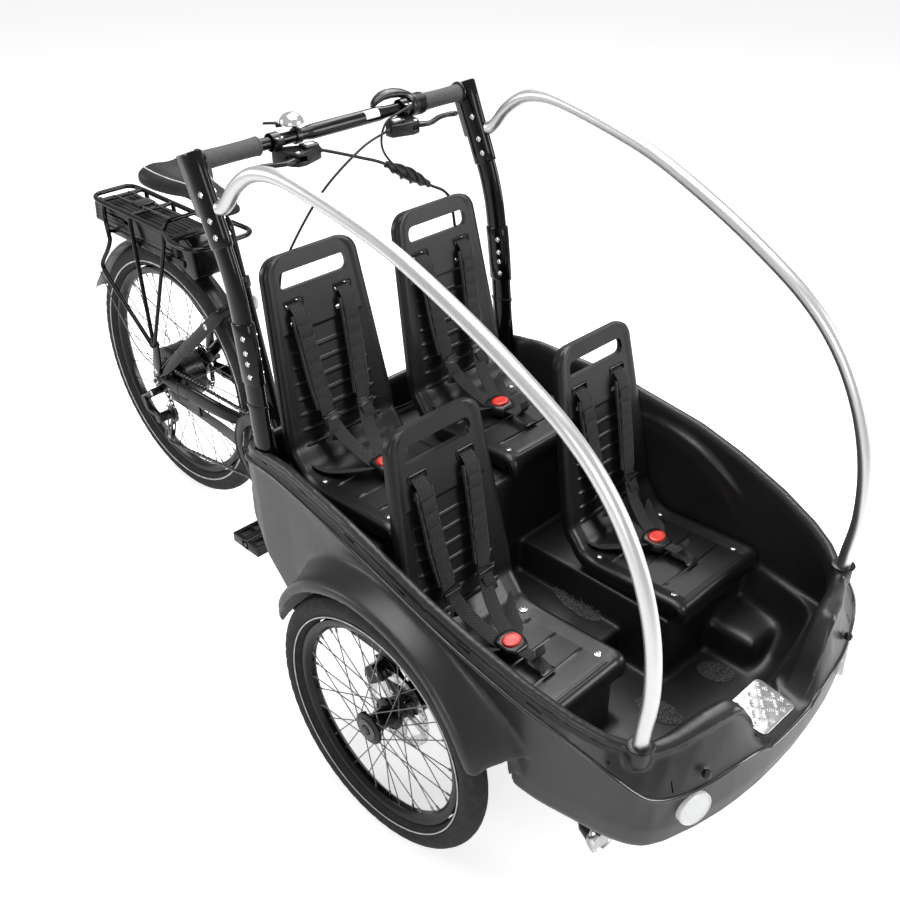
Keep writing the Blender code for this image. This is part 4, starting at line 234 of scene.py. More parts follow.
def wovenFinish(name, colour, pitch):
    made = Finish(name, colour, 0.78, specular=0.28)
    u, v, _ = made.axes("UV")
    turn = 2 * math.pi / pitch
    over = (u * turn).sine() * (v * turn).sine()
    ribs = (u * turn * 0.5).sine().size() * 0.7 + over * 0.3
    fuzz = made.noise(1900.0, 3.0)
    dots = ((over - 0.10) * 3).clamped()
    made.blendTo([c * 3.2 + 0.052 for c in colour],
                 (dots * 0.62 + ribs * 0.10 + fuzz * 0.22 - 0.06).clamped())
    made.put("Roughness", fuzz * 0.2 + 0.68)
    made.bump(ribs * 0.5 + over * 0.5 + fuzz * 0.35, 0.0007)
    return made.made


def studdedFinish(name, colour, roughness):
    made = Finish(name, colour, roughness, specular=0.4)
    dots = made.node("ShaderNodeTexVoronoi", {"feature": "F1"}, Vector=made.spot(), Scale=520.0)
    near = Number(made.tree, dots.outputs["Distance"])
    bright = ((0.46 - near) * 4).clamped()
    made.blendTo((0.34, 0.34, 0.34), bright * (made.noise(700.0) * 0.8 + 0.3))
    made.put("Roughness", 0.9 - bright * 0.4)
    made.bump(bright, 0.0006)
    return made.made


def prismFinish(name):
    made = Finish(name, (0.84, 0.85, 0.86), 0.22, coat=0.8, coatRoughness=0.05)
    x, y, z = made.axes()
    pitch = 2 * math.pi / 0.0042
    lattice = ((y + z) * pitch).sine() * ((y - z) * pitch).sine()
    made.blendTo((0.97, 0.98, 0.99), (lattice * 0.5 + 0.5).clamped())
    made.put("Roughness", lattice.size() * 0.25 + 0.15)
    made.bump(lattice, 0.0004)
    return made.made


def gripFinish(name):
    made = Finish(name, (0.034, 0.034, 0.034), 0.72, specular=0.35)
    cells = made.node("ShaderNodeTexVoronoi", {"feature": "F1"}, Vector=made.spot(), Scale=430.0)
    near = Number(made.tree, cells.outputs["Distance"])
    made.blendTo((0.085, 0.085, 0.085), (near * 1.4).clamped())
    made.put("Roughness", near * 0.3 + 0.55)
    made.bump(near, 0.0007)
    return made.made


finishes = {
    "tub": mouldedFinish("tubPlastic", (0.0112, 0.0112, 0.0115), 0.37, 0.00012, 0.47),
    "bead": mouldedFinish("beadPlastic", (0.0120, 0.0120, 0.0122), 0.22, 0.00004, 0.75),
    "seat": mouldedFinish("seatPlastic", (0.0056, 0.0056, 0.0058), 0.34, 0.00008, 0.34),
    "part": mouldedFinish("partPlastic", (0.0060, 0.0060, 0.0063), 0.28, 0.00006, 0.34),
    "paint": paintFinish("glossPaint", (0.0028, 0.0028, 0.0030), 0.13),
    "satin": paintFinish("satinPaint", (0.0038, 0.0038, 0.0040), 0.22),
    "rubber": rubberFinish("tyreRubber", (0.0170, 0.0170, 0.0173), 0.74, 900.0, 0.00025),
    "cable": rubberFinish("cableCover", (0.0120, 0.0120, 0.0125), 0.45, 500.0, 0.00008),
    "ring": rubberFinish("reflectiveRing", (0.55, 0.55, 0.55), 0.45, 1600.0, 0.00008),
    "steel": metalFinish("brightSteel", (0.74, 0.74, 0.75), 0.20, (320, 320, 320), 0.93),
    "dark": metalFinish("darkSteel", (0.13, 0.13, 0.135), 0.38, (300, 300, 300), 0.6),
    "spoke": metalFinish("spokeSteel", (0.20, 0.20, 0.205), 0.30, (320, 320, 320), 0.72),
    "alloy": metalFinish("satinAlloy", (0.70, 0.702, 0.705), 0.36, (900, 900, 900), 0.93),
    "tread": metalFinish("treadAlloy", (0.52, 0.525, 0.53), 0.30, (500, 500, 500), 0.8),
    "web": wovenFinish("wovenWebbing", (0.0090, 0.0090, 0.0094), 0.0042),
    "pad": wovenFinish("padCloth", (0.0105, 0.0105, 0.011), 0.0028),
    "stitch": wovenFinish("stitchThread", (0.060, 0.060, 0.062), 0.0008),
    "button": mouldedFinish("redPlastic", (0.62, 0.030, 0.018), 0.30, 0.00003),
    "grip": gripFinish("gripRubber"),
    "lensWhite": prismFinish("prismLens"),
    "patch": studdedFinish("gripPatch", (0.020, 0.020, 0.020), 0.85),
    "cover": rubberFinish("saddleCover", (0.0110, 0.0110, 0.0110), 0.52, 420.0, 0.00020),
    # Light grey for the flat plate on the post clamps: a painted highlight, where that black face catches the
    # light
    "paintedHighlight": mouldedFinish("paintedHighlightPlastic", (0.150, 0.150, 0.153), 0.40, 0.00003),
    "blank": mouldedFinish("blankPatch", (0.70, 0.70, 0.69), 0.45, 0.00002),
    "tailLens": mouldedFinish("tailLens", (0.16, 0.012, 0.010), 0.18, 0.00002),
}
print("finishes made:", len(finishes))

floorMesh = bpy.data.meshes.new("paleFloor")
floorMesh.from_pydata([(-14, -14, 0), (14, -14, 0), (14, 14, 0), (-14, 14, 0)], [], [(0, 1, 2, 3)])
floor = bpy.data.objects.new("paleFloor", floorMesh)
scene.collection.objects.link(floor)
floorFinish = Finish("floorWhite", (0.86, 0.86, 0.86), 0.9, specular=0.1)
lightPath = floorFinish.node("ShaderNodeLightPath")
seen = Number(floorFinish.tree, lightPath.outputs["Is Camera Ray"])
floorFinish.blendTo((0.90, 0.90, 0.90), seen)
floorFinish.put("Emission Color", (1, 1, 1, 1))
mirrored = Number(floorFinish.tree, lightPath.outputs["Is Glossy Ray"])
floorFinish.put("Emission Strength", seen * 0.66 + mirrored * 0.3)
floorMesh.materials.append(floorFinish.made)

world = bpy.data.worlds.new("paleStudio")
scene.world = world
world.use_nodes = True
worldTree = world.node_tree
sky = worldTree.nodes["Background"]
skyPath = worldTree.nodes.new("ShaderNodeLightPath")
direct = Number(worldTree, skyPath.outputs["Is Camera Ray"])
sky.inputs["Color"].default_value = (1, 1, 1, 1)
glossy = Number(worldTree, skyPath.outputs["Is Glossy Ray"])
through = Number(worldTree, skyPath.outputs["Is Transmission Ray"])
worldTree.links.new((direct * 0.74 + glossy * 0.30 + through * 0.30 + 0.26).socket, sky.inputs["Strength"])


# Mesh tools

def objectOf(bm, name):
    mesh = bpy.data.meshes.new(name)
    bmesh.ops.recalc_face_normals(bm, faces=bm.faces)
    bm.to_mesh(mesh)
    bm.free()
    made = bpy.data.objects.new(name, mesh)
    scene.collection.objects.link(made)
    return made


def only(obj):
    bpy.ops.object.select_all(action="DESELECT")
    obj.select_set(True)
    bpy.context.view_layer.objects.active = obj


def applied(obj, kind, **settings):
    made = obj.modifiers.new("shaping", kind)
    for key, value in settings.items():
        setattr(made, key, value)
    only(obj)
    bpy.ops.object.modifier_apply(modifier=made.name)
    return obj


def smooth(obj, degrees=35):
    only(obj)
    bpy.ops.object.shade_smooth_by_angle(angle=math.radians(degrees))
    return obj


def bevelled(obj, width, segments=2, degrees=30):
    return applied(
        obj, "BEVEL", width=width, segments=segments, limit_method="ANGLE",
        angle_limit=math.radians(degrees), miter_outer="MITER_ARC", harden_normals=False,
    )


def copied(node, name, dissolve=0.8):
    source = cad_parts[node].data
    bm = bmesh.new()
    verts = [bm.verts.new(v.co) for v in source.vertices]
    for face in source.polygons:
        bm.faces.new([verts[i] for i in face.vertices])
    bmesh.ops.remove_doubles(bm, verts=bm.verts, dist=0.00001)
    if dissolve:
        bmesh.ops.dissolve_limit(
            bm, angle_limit=math.radians(dissolve), verts=list(bm.verts), edges=list(bm.edges)
        )
    return objectOf(bm, name)


def joined(objs, name):
    bpy.ops.object.select_all(action="DESELECT")
    for obj in objs:
        obj.select_set(True)
    bpy.context.view_layer.objects.active = objs[0]
    bpy.ops.object.join()
    objs[0].name = name
    return objs[0]


def painted(obj, finish):
    obj.data.materials.clear()
    obj.data.materials.append(finishes[finish])
    return obj


def placed(obj, body, slot, *nodes, degrees=35):
    smooth(obj, degrees)
    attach(obj, body)
    if nodes:
        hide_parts(*nodes)
    return obj


def assembled(parts, name, body, slot, *nodes, degrees=40):
    whole = joined([smooth(part, degrees) for part in parts], name)
    return placed(whole, body, slot, *nodes, degrees=degrees)


def dropped(*objs):
    for obj in objs:
        bpy.data.objects.remove(obj, do_unlink=True)


def twin(obj, name, matrix=None):
    mesh = obj.data.copy()
    made = bpy.data.objects.new(name, mesh)
    scene.collection.objects.link(made)
    if matrix is not None:
        mesh.transform(matrix)
        if matrix.determinant() < 0:
            mesh.flip_normals()
    return made


mirror = Matrix.Diagonal((1, -1, 1, 1))
hands = (("left", None), ("right", mirror))


def turnedTo(axis):
    return Vector((0, 0, 1)).rotation_difference(Vector(axis)).to_matrix().to_4x4()


def ovalRing(middle, one, other, count):
    # Points round an oval with one and other as its half axes
    turns = [2 * math.pi * k / count for k in range(count)]
    return [middle + one * math.cos(a) + other * math.sin(a) for a in turns]


def around(radius, angle, y=0.0):
    # A step out from a wheel's axis
    return Vector((radius * math.cos(angle), y, radius * math.sin(angle)))


def lofted(rings, closed=False):
    bm = bmesh.new()
    rows = [[bm.verts.new(p) for p in ring] for ring in rings]
    count = len(rows[0])
    pairs = list(zip(rows, rows[1:]))
    if closed:
        pairs.append((rows[-1], rows[0]))
    for low, high in pairs:
        for i in range(count):
            j = (i + 1) % count
            bm.faces.new([low[i], low[j], high[j], high[i]])
    if not closed:
        bm.faces.new(rows[0][::-1])
        bm.faces.new(rows[-1])
    return bm


def lathed(profile, centre, axis, steps, name, closed=False):
    turn = Matrix.Translation(Vector(centre)) @ turnedTo(axis)
    bm = bmesh.new()
    rows = []
    for i in range(steps):
        a = 2 * math.pi * i / steps
        wide = [(max(r, 0.00001), h) for r, h in profile]
        rows.append([bm.verts.new(turn @ Vector((r * math.cos(a), r * math.sin(a), h))) for r, h in wide])
    last = len(profile) if closed else len(profile) - 1
    for i, low in enumerate(rows):
        high = rows[(i + 1) % steps]
        for k in range(last):
            n = (k + 1) % len(profile)
            bm.faces.new([low[k], high[k], high[n], low[n]])
    bmesh.ops.remove_doubles(bm, verts=bm.verts, dist=0.00004)
    return objectOf(bm, name)


def flowing(points, steps):
    # A smooth line through points, by Catmull-Rom
    pts = [Vector(p) for p in points]
    pts = [pts[0] * 2 - pts[1]] + pts + [pts[-1] * 2 - pts[-2]]
    line = []
    for i in range(1, len(pts) - 2):
        a, b, c, d = pts[i - 1:i + 3]
        for k in range(steps):
            t = k / steps
            line.append(0.5 * (2 * b + (c - a) * t + (2 * a - 5 * b + 4 * c - d) * t * t
                               + (3 * b - a - 3 * c + d) * t ** 3))
    line.append(pts[-2])
    return line


def framesOf(line):
    # The way ahead and a carried sideways direction at each point
    ways = []
    for i in range(len(line)):
        ways.append((line[min(i + 1, len(line) - 1)] - line[max(i - 1, 0)]).normalized())
    side = ways[0].orthogonal().normalized()
    frames = []
    for i, way in enumerate(ways):
        if i:
            side = ways[i - 1].rotation_difference(way) @ side
        side = (side - way * side.dot(way)).normalized()
        frames.append((way, side, way.cross(side)))
    return frames


def piped(line, radius, sides, name):
    rings = []
    for i, (here, (way, side, lift)) in enumerate(zip(line, framesOf(line))):
        r = radius[i] if isinstance(radius, list) else radius
        rings.append(ovalRing(here, side * r, lift * r, sides))
    return objectOf(lofted(rings), name)


def pegged(start, end, radius, sides, name):
    return piped([Vector(start), Vector(end)], radius, sides, name)


def slab(outline, centre, right, up, thick, name):
    right = Vector(right).normalized()
    up = Vector(up).normalized()
    out = right.cross(up)
    rings = [[Vector(centre) + right * x + up * y + out * h for x, y in outline] for h in (-thick / 2,
        thick / 2)]
    return objectOf(lofted(rings), name)


def roundedOutline(corners, radius, steps=5):
    outline = []
    count = len(corners)
    for i, corner in enumerate(corners):
        here = Vector(corner)
        before = Vector(corners[i - 1])
        after = Vector(corners[(i + 1) % count])
        r = radius[i] if isinstance(radius, list) else radius
        inWay = (before - here).normalized()
        outWay = (after - here).normalized()
        half = inWay.angle(outWay) / 2
        reach = r / math.tan(half)
        start = here + inWay * reach
        end = here + outWay * reach
        for k in range(steps + 1):
            t = k / steps
            outline.append(((1 - t) ** 2) * start + 2 * t * (1 - t) * here + t * t * end)
    return [(p.x, p.y) for p in outline]


def roundedBox(halfWide, halfTall, radius, steps):
    corners = [(-halfWide, -halfTall), (halfWide, -halfTall), (halfWide, halfTall), (-halfWide, halfTall)]
    return roundedOutline(corners, radius, steps)


def carved(obj, cutters):
    cutter = joined(cutters, "cutter") if len(cutters) > 1 else cutters[0]
    applied(obj, "BOOLEAN", object=cutter, operation="DIFFERENCE", solver="EXACT", use_self=True)
    dropped(cutter)
    return obj


def boltHead(place, way, radius, name, finish="steel", tall=0.35):
    # A domed screw head with a six-sided socket, on a thin washer
    tallness = radius * tall
    profile = [(0, -0.001), (radius * 1.25, -0.001), (radius * 1.25, 0.0004), (radius, 0.0006),
               (radius * 0.96, tallness * 0.6), (radius * 0.72, tallness), (radius * 0.45, tallness),
               (radius * 0.42, tallness * 0.25), (0, tallness * 0.2)]
    return painted(lathed(profile, place, way, 18, name), finish)


nodeFinish = {
    "rear_frame": "paint", "axle_frame": "paint", "rack": "paint", "derailleur": "part",
    "derailleur_cage": "dark",
    "chain": "dark", "cassette": "dark", "mudguard": "part", "chain_guard": "part", "seat_post": "satin",
    "handlebar": "satin", "headlight": "paint", "crankset": "satin", "rear_wheel": "satin",
    "front_wheel_right": "satin",
    "front_wheel_left": "satin", "front_tyre_right": "rubber", "front_tyre_left": "rubber",
    "rear_tyre": "rubber",
    "front_disc_right": "steel", "front_disc_left": "steel", "rear_disc": "steel", "hoop_right": "alloy",
    "hoop_left": "alloy", "tread_plate": "tread", "front_reflector_right": "lensWhite",
    "front_reflector_left": "lensWhite", "saddle": "cover", "grip_right": "grip", "grip_left": "grip",
    "cable_bundle": "cable", "post_right": "paint", "post_left": "paint", "post_base_right": "paint",
    "post_base_left": "paint", "bell": "steel",
}

# The moulded box

moulded = {"grain": 0.0042, "softening": 14, "flow": 90, "faces": 100000}
tub = copied("tub", "tubShell", 0)
# The flare over each front wheel: angle in degrees from straight ahead, y of its lip, then
# the radius and y at which it leaves the flank
flareLine = [
    (168, 0.404, 0.284, 0.3900), (164, 0.414, 0.292, 0.3700), (158, 0.421, 0.302, 0.3580),
    (150, 0.430, 0.309, 0.3600),
    (134, 0.437, 0.307, 0.3710), (115, 0.442, 0.303, 0.3800), (95, 0.444, 0.301, 0.3830),
    (75, 0.446, 0.301, 0.3840),
    (56, 0.448, 0.304, 0.3820), (41, 0.450, 0.311, 0.3760), (30, 0.452, 0.320, 0.3690),
    (20, 0.448, 0.328, 0.3640),
]
wheelR, flareR = 0.254, 0.2765


def flareShape():
    turns = flowing([(degrees, lip, 0) for degrees, lip, r, y in flareLine], 5)
    valleys = flowing([(degrees, r, y) for degrees, lip, r, y in flareLine], 5)
    rings = []
    for (degrees, lip, zero), (same, farR, farY) in zip(turns, valleys):
        inner = 0.343 if degrees > 130 else 0.3525
        skirt = flareR - 0.011 * min((168 - degrees) / 20, 1.0)
        section = [(flareR, inner), (flareR, lip - 0.010), (skirt + 0.001, lip - 0.0062),
                   (skirt, lip - 0.0030),
                   (skirt + 0.001, lip), (flareR, lip + 0.0010), (flareR + 0.0055, lip + 0.0002),
                   (flareR + 0.0085, lip - 0.0026), (flareR + 0.0110, lip - 0.0070)]
        nearR, nearY = section[-1]
        farR = max(farR, nearR + 0.001)
        for t in (0.2, 0.4, 0.6, 0.8, 1.0):
            section.append((nearR + (farR - nearR) * t ** 1.7, nearY + (farY - nearY) * t))
        section.append((farR + 0.002, farY - 0.004))
        section.append((farR, inner))
        ring = []
        for r, y in section:
            # Towards its rear end the flare runs out into a horn at the lip
            turn = math.radians(degrees - max(degrees - 134, 0) / 34 * 16 * min((lip - y) / 0.05, 1.0))
            ring.append(at(r * math.cos(turn), -y, wheelR + r * math.sin(turn)))
        rings.append(ring)
    return objectOf(lofted(rings), "flare")


for v in tub.data.vertices:
    x, y, z = v.co.x - axleX, abs(v.co.y), v.co.z - wheelR
    away = math.hypot(x, z)
    if away < 0.345 and y > 0.398 and z > 0.02:
        tucked = 0.398 + (y - 0.398) * 0.55 if math.atan2(z, x) < math.radians(140) else 0.358
        v.co.y = math.copysign(tucked, v.co.y)
        v.co.x = axleX + x * (away - 0.002) / away
        v.co.z = wheelR + z * (away - 0.002) / away
arch = flareShape()
tub = joined([tub, arch, twin(arch, "flare", mirror)], "tubShell")
slopeWay = Vector((0.992, 0, -0.124)).normalized()
slopeUp = Vector((0.124, 0, 0.992)).normalized()
applied(tub, "REMESH", mode="VOXEL", voxel_size=moulded["grain"], adaptivity=0)


def easing(t):
    t = min(max(t, 0.0), 1.0)
    return t * t * (3 - 2 * t)


# On both sides of the tread plate the rim comes down to it
dip = {"from": 0.40, "half": 0.150, "plateZ": 0.3555, "plateX": 0.50, "fall": 0.125, "ledgeZ": 0.350,
       "ledgeX": 0.520}
for v in tub.data.vertices:
    x, y = v.co.x - axleX, abs(v.co.y)
    if x > dip["from"] and y < dip["half"]:
        plane = dip["plateZ"] - dip["fall"] * (x - dip["plateX"])
        ledgeZ = dip["ledgeZ"] + 0.024 * easing((y - 0.03) / 0.1)
        brim = plane + (ledgeZ - plane) * easing((x - dip["ledgeX"]) / 0.03)
        if v.co.z > brim:
            v.co.z = brim + (v.co.z - brim) * easing((y - 0.050) / 0.098)
applied(tub, "SMOOTH", factor=0.5, iterations=moulded["softening"])


def within(value, low, high, fade):
    return max(0.0, min((value - low) / fade, (high - value) / fade, 1.0))


wellGroup = tub.vertex_groups.new(name="footWell")
for v in tub.data.vertices:
    share = within(v.co.x - axleX, 0.175, 0.475, 0.02) * within(abs(v.co.y), -1, 0.330, 0.03)
    share *= within(v.co.z, 0.196, 0.335, 0.012)
    if share > 0:
        wellGroup.add([v.index], share, "REPLACE")
applied(tub, "SMOOTH", factor=0.5, iterations=moulded["flow"], vertex_group="footWell")
tub.vertex_groups.clear()
applied(tub, "DECIMATE", ratio=min(moulded["faces"] / (2 * len(tub.data.polygons)), 1))
print("box softened:", len(tub.data.polygons))
# Places on the outer band: x, y, z on the right side, ahead of the front axle
bandSlots = [
    (-0.3707, -0.3486, 0.6030), (-0.2384, -0.3580, 0.6035), (-0.0976, -0.3745, 0.5880),
    (0.0384, -0.3856, 0.5605), (0.1840, -0.3856, 0.5300), (0.3195, -0.3716, 0.4880),
]
slotLine, slitLine = roundedBox(0.015, 0.0017, 0.0016, 3), roundedBox(0.0013, 0.010, 0.0012, 3)
cutters = []
for side in (-1, 1):
    for i, (x, y, z) in enumerate(bandSlots):
        before = Vector(bandSlots[max(i - 1, 0)])
        after = Vector(bandSlots[min(i + 1, 5)])
        along = after - before
        out = Vector((0.10 + 0.05 * i, -1, 0.12 if i < 1 else 0.62)).normalized()
        along = (along - out * along.dot(out)).normalized()
        here = at(x, y, z)
        if side > 0:
            here.y *= -1
            along.y *= -1
            out.y *= -1
        cutters.append(slab(slotLine, here, along, out.cross(along), 0.007, "slotCutter"))
    nose = at(0.5125, side * 0.2706, 0.3889)
    noseWay = Vector((0.93, side * 0.30, 0.2)).normalized()
    noseUp = (upward - noseWay * noseWay.z).normalized()
    cutters.append(slab(slitLine, nose, noseUp.cross(noseWay), noseUp, 0.008, "slitCutter"))
    drain = at(0.4403, side * 0.3401, 0.441)
    drainWay = Vector((0.626, side * 0.469, 0.623)).normalized()
    cutters.append(pegged(drain - drainWay * 0.004, drain + drainWay * 0.004, 0.0032, 16, "drainCutter"))
carved(tub, cutters)
painted(tub, "tub")
# The bright bead along the ledge under the rim, from tail to nose and back
ledge = [
    (-0.460, 0.000, 0.572), (-0.458, 0.275, 0.574), (-0.454, 0.314, 0.578), (-0.438, 0.337, 0.583),
    (-0.400, 0.350, 0.590),
    (-0.300, 0.359, 0.592), (-0.100, 0.381, 0.578), (0.100, 0.395, 0.544), (0.200, 0.392, 0.517),
    (0.300, 0.382, 0.487),
    (0.385, 0.366, 0.460), (0.442, 0.350, 0.433), (0.488, 0.328, 0.401), (0.508, 0.302, 0.382),
    (0.524, 0.262, 0.372),
    (0.541, 0.205, 0.370), (0.552, 0.150, 0.374), (0.558, 0.105, 0.370), (0.560, 0.078, 0.362),
    (0.562, 0.055, 0.352),
    (0.563, 0.000, 0.350),
]
loop = [at(x, -y, z - 0.003) for x, y, z in ledge] + [at(x, y, z - 0.003) for x, y, z in ledge[-2:0:-1]]
dense = flowing([loop[-1]] + loop + loop[:2], 6)[6:-7]
rings = []
for i, here in enumerate(dense):
    way = (dense[(i + 1) % len(dense)] - dense[i - 1]).normalized()
    out = way.cross(upward).normalized()
    rings.append(ovalRing(here - out * 0.0016, out * 0.0042, upward * 0.0036, 14))
bead = smooth(painted(objectOf(lofted(rings, closed=True), "ledgeBead"), "bead"), 60)
pegs = []
for side in (-1, 1):
    foot, tip = at(0.512, side * 0.213, 0.3925), at(0.543, side * 0.219, 0.396)
    shape = [(0, -0.006), (0.0082, -0.006), (0.0086, 0.004), (0.0070, 0.0075), (0.0048, 0.0100),
             (0.0044, 0.0190),
             (0.0050, 0.0205), (0.0068, 0.0225), (0.0078, 0.0262), (0.0074, 0.0300), (0.0050, 0.0328),
             (0, 0.0338)]
    pegs.append(painted(lathed(shape, foot, tip - foot, 28, "ballPeg"), "part"))
tub = joined([tub, bead] + [smooth(peg, 40) for peg in pegs], "tubShell")
placed(tub, "carriage", "moulded_black", "tub", degrees=38)


def gripPatch(middle, long, wide, heading, name):
    # A thin oval laid on the box's surface
    rings = []
    steps = [(1.0, -0.0020), (1.0, 0.0012)] + [(share, 0.0016) for share in (0.9, 0.75, 0.6, 0.45, 0.3, 0.15)]
    for share, lift in steps:
        ring = []
        for i in range(40):
            a = 2 * math.pi * i / 40
            r = share * (1 + 0.05 * math.sin(2 * a))
            here = Vector((long * r * math.cos(a), wide * share * math.sin(a), 0))
            here = middle + Matrix.Rotation(heading, 3, "Z") @ here
            found, spot, normal, face = tub.ray_cast(here + Vector((0, 0, 0.06)), (0, 0, -1))
            here.z = spot.z if found and abs(spot.z - middle.z) < 0.03 else middle.z
            ring.append(here + Vector((0, 0, lift)))
        rings.append(ring)
    return objectOf(lofted(rings), name)


patches = [
    (at(0.0600, 0.0655, 0.272), 0.062, 0.021, -0.13), (at(0.0600, -0.0655, 0.272), 0.062, 0.021, 0.13),
    (at(0.3250, 0.1700, 0.200), 0.036, 0.027, 0.25), (at(0.3250, -0.1700, 0.200), 0.036, 0.027, -0.25),
    (at(0.3080, 0.0080, 0.200), 0.048, 0.027, 0.1),
]
for i, (middle, long, wide, heading) in enumerate(patches):
    patch = gripPatch(middle, long, wide, heading, "gripPatch_" + str(i + 1))
    painted(patch, "patch")
    placed(patch, "carriage", "grip")
print("box made")


# Seats: a moulded shell swept down the back and along the squab

lean = Vector((-0.209, 0, 1)).normalized()
outBack = Vector((1, 0, 0.209)).normalized()
foot = Vector((0.022, 0, 0.372))


def onBack(up, out, y=0.0):
    return foot + lean * up + outBack * out + across * y


seatPath = [onBack(up, 0.0040) for up in (0.412, 0.36, 0.30, 0.24, 0.18, 0.12, 0.080, 0.052)]
seatPath += [
    Vector(p) for p in (
        (0.0330, 0, 0.4010), (0.0470, 0, 0.3850), (0.0700, 0, 0.3765), (0.1000, 0, 0.3755),
        (0.1500, 0, 0.3780),
        (0.2000, 0, 0.3805), (0.2450, 0, 0.3830), (0.2660, 0, 0.3835), (0.2790, 0, 0.3790),
        (0.2855, 0, 0.3680),
        (0.2868, 0, 0.3560), (0.2865, 0, 0.3462),
    )
]
seatSlots = {"up": 0.322, "y": 0.057}
# Lengths along the shell are measured from its upper edge
seatMould = {
    "high": 0.412, "topHalf": 0.1065, "half": 0.1305, "corner": 0.034, "fold": 0.40, "deep": 0.0155,
    "panel": (0.142, 0.640), "backRibs": [0.052 + 0.030 * k for k in range(7)],
    "squabRibs": (0.096, 0.156, 0.216),
}
spread = [-1, -0.94, -0.86, -0.7, -0.5, -0.3, -0.1, 0.1, 0.3, 0.5, 0.7, 0.86, 0.94, 1]
buckle = Vector((0.132, 0, 0.393))


def resampled(line, gap):
    out = [line[0]]
    travelled = 0.0
    for a, b in zip(line, line[1:]):
        run = (b - a).length
        while run > 0 and travelled + run >= gap:
            a = a + (b - a) * ((gap - travelled) / run)
            out.append(a)
            run = (b - a).length
            travelled = 0.0
        travelled += run
    out.append(line[-1])
    return out


def seatShell():
    line = resampled(flowing(seatPath, 12), 0.0020)
    total = sum((b - a).length for a, b in zip(line, line[1:]))
    rings = []
    gone = 0.0
    for i, here in enumerate(line):
        if i:
            gone += (here - line[i - 1]).length
        way = (line[min(i + 1, len(line) - 1)] - line[max(i - 1, 0)]).normalized()
        out = Vector((-way.z, 0, way.x))
        up = seatMould["high"] - gone
        half = seatMould["half"]
        if up > 0.09:
            half = seatMould["topHalf"] + (half - seatMould["topHalf"]) * (seatMould["high"]
                - up) / (seatMould["high"] - 0.09)
        corner = seatMould["corner"]
        if gone < corner:
            half -= corner - math.sqrt(max(corner ** 2 - (corner - gone) ** 2, 0.0))
        fromEnd = total - gone
        if fromEnd < 0.006:
            half -= 0.004
        squab = gone > seatMould["fold"]
        deep = seatMould["deep"]
        if squab:
            deep += min((gone - seatMould["fold"]) / 0.05, 1) * 0.010
            deep = min(deep, max(here.z - 0.3460, 0.006))
        if fromEnd < 0.045:
            deep = 0.010
        edgeFade = min(gone / 0.012, 1.0)
        inner = half - 0.024
        # The ribbed panel sits a little lower than the border round it
        panel = 0.0
        first, last = seatMould["panel"]
        if first < gone < last:
            panel = -0.0030 * max(min((gone - first) / 0.004, (last - gone) / 0.006, 1.0), 0)
        marks = [abs(up - mark) for mark in seatMould["backRibs"]]
        if squab:
            marks += [abs(here.x - mark) for mark in seatMould["squabRibs"]]
        ridge = easing(1 - min(marks) / 0.0034)
        profile = [(half, -deep), (half, -0.006), (half - 0.0012, -0.0022), (half - 0.0045, 0.0012)]
        profile += [(half - 0.010, 0.0022), (half - 0.017, 0.0018), (half - 0.0225, 0.0)]
        right = [(-y, h * edgeFade if h > 0 else h) for y, h in profile]
        if panel:
            reach = inner - 0.010
            middle = [(share * reach,
                       panel + (0.0032 * ridge if abs(share) < 0.94 else 0.0)) for share in spread]
        else:
            middle = [(share * inner * 0.999, 0.0) for share in spread]
        left = [(-y, h) for y, h in right[::-1]]
        ring = right + [(-inner, 0.0)] + middle + [(inner, 0.0)] + left
        ring += [(half - 0.010, -deep), (0.0, -deep), (-half + 0.010, -deep)]
        rings.append([here + across * y + out * h for y, h in ring])
    return objectOf(lofted(rings), "seatShape")


def flared(outline, centre, right, up, levels, name):
    # A cutter whose outline grows towards its mouths
    out = Vector(right).normalized().cross(Vector(up).normalized())
    rings = []
    for height, grow in levels:
        ring = []
        for x, y in outline:
            spread = Vector((x, y))
            spread = spread + spread.normalized() * grow
            ring.append(centre + Vector(right) * spread.x + Vector(up) * spread.y + out * height)
        rings.append(ring)
    return objectOf(lofted(rings), name)


def looped(points, radius, sides, name):
    count = len(points)
    rings = []
    for i, here in enumerate(points):
        way = (points[(i + 1) % count] - points[i - 1]).normalized()
        side = outBack if abs(way.dot(outBack)) < 0.9 else across
        side = (side - way * side.dot(way)).normalized()
        rings.append(ovalRing(here, side * radius, way.cross(side) * radius, sides))
    return objectOf(lofted(rings, closed=True), name)


seat = seatShell()
mouths = [(-0.05, 0.004), (-0.0125, 0.004), (-0.0105, 0.0015), (-0.008, 0), (0.001, 0), (0.003, 0.001),
          (0.0045, 0.003), (0.02, 0.02)]
handleOutline = roundedOutline([(-0.080, 0.350), (0.080, 0.350), (0.0765, 0.3815), (-0.0765, 0.3815)], 0.0145,
                               6)
handleMiddle = Vector((0, 0.3658))
centred = [(x, y - handleMiddle.y) for x, y in handleOutline]
holes = [flared(centred, onBack(0.3658, 0.004), across, lean, mouths, "handleHole")]
slotOutline = roundedBox(0.0195, 0.0065, 0.005, 4)
for side in (-1, 1):
    middle = onBack(seatSlots["up"], 0.004, side * seatSlots["y"])
    holes.append(flared(slotOutline, middle, across, lean, [(-0.05, 0), (0.05, 0)], "strapHole"))
    middle = onBack(seatSlots["up"] - 0.036, 0.004, side * (seatSlots["y"] - 0.004))
    spare = [(x, y * 0.62) for x, y in slotOutline]
    holes.append(flared(spare, middle, across, lean, [(-0.05, 0), (0.05, 0)], "spareHole"))
carved(seat, holes)
painted(seat, "seat")
collars = []
for side in (-1, 1):
    middle = onBack(seatSlots["up"], 0.0045, side * seatSlots["y"])
    loop = [middle + across * x * 1.06 + lean * y * 1.18 for x, y in slotOutline]
    collars.append(painted(looped(loop, 0.0019, 8, "collar"), "part"))
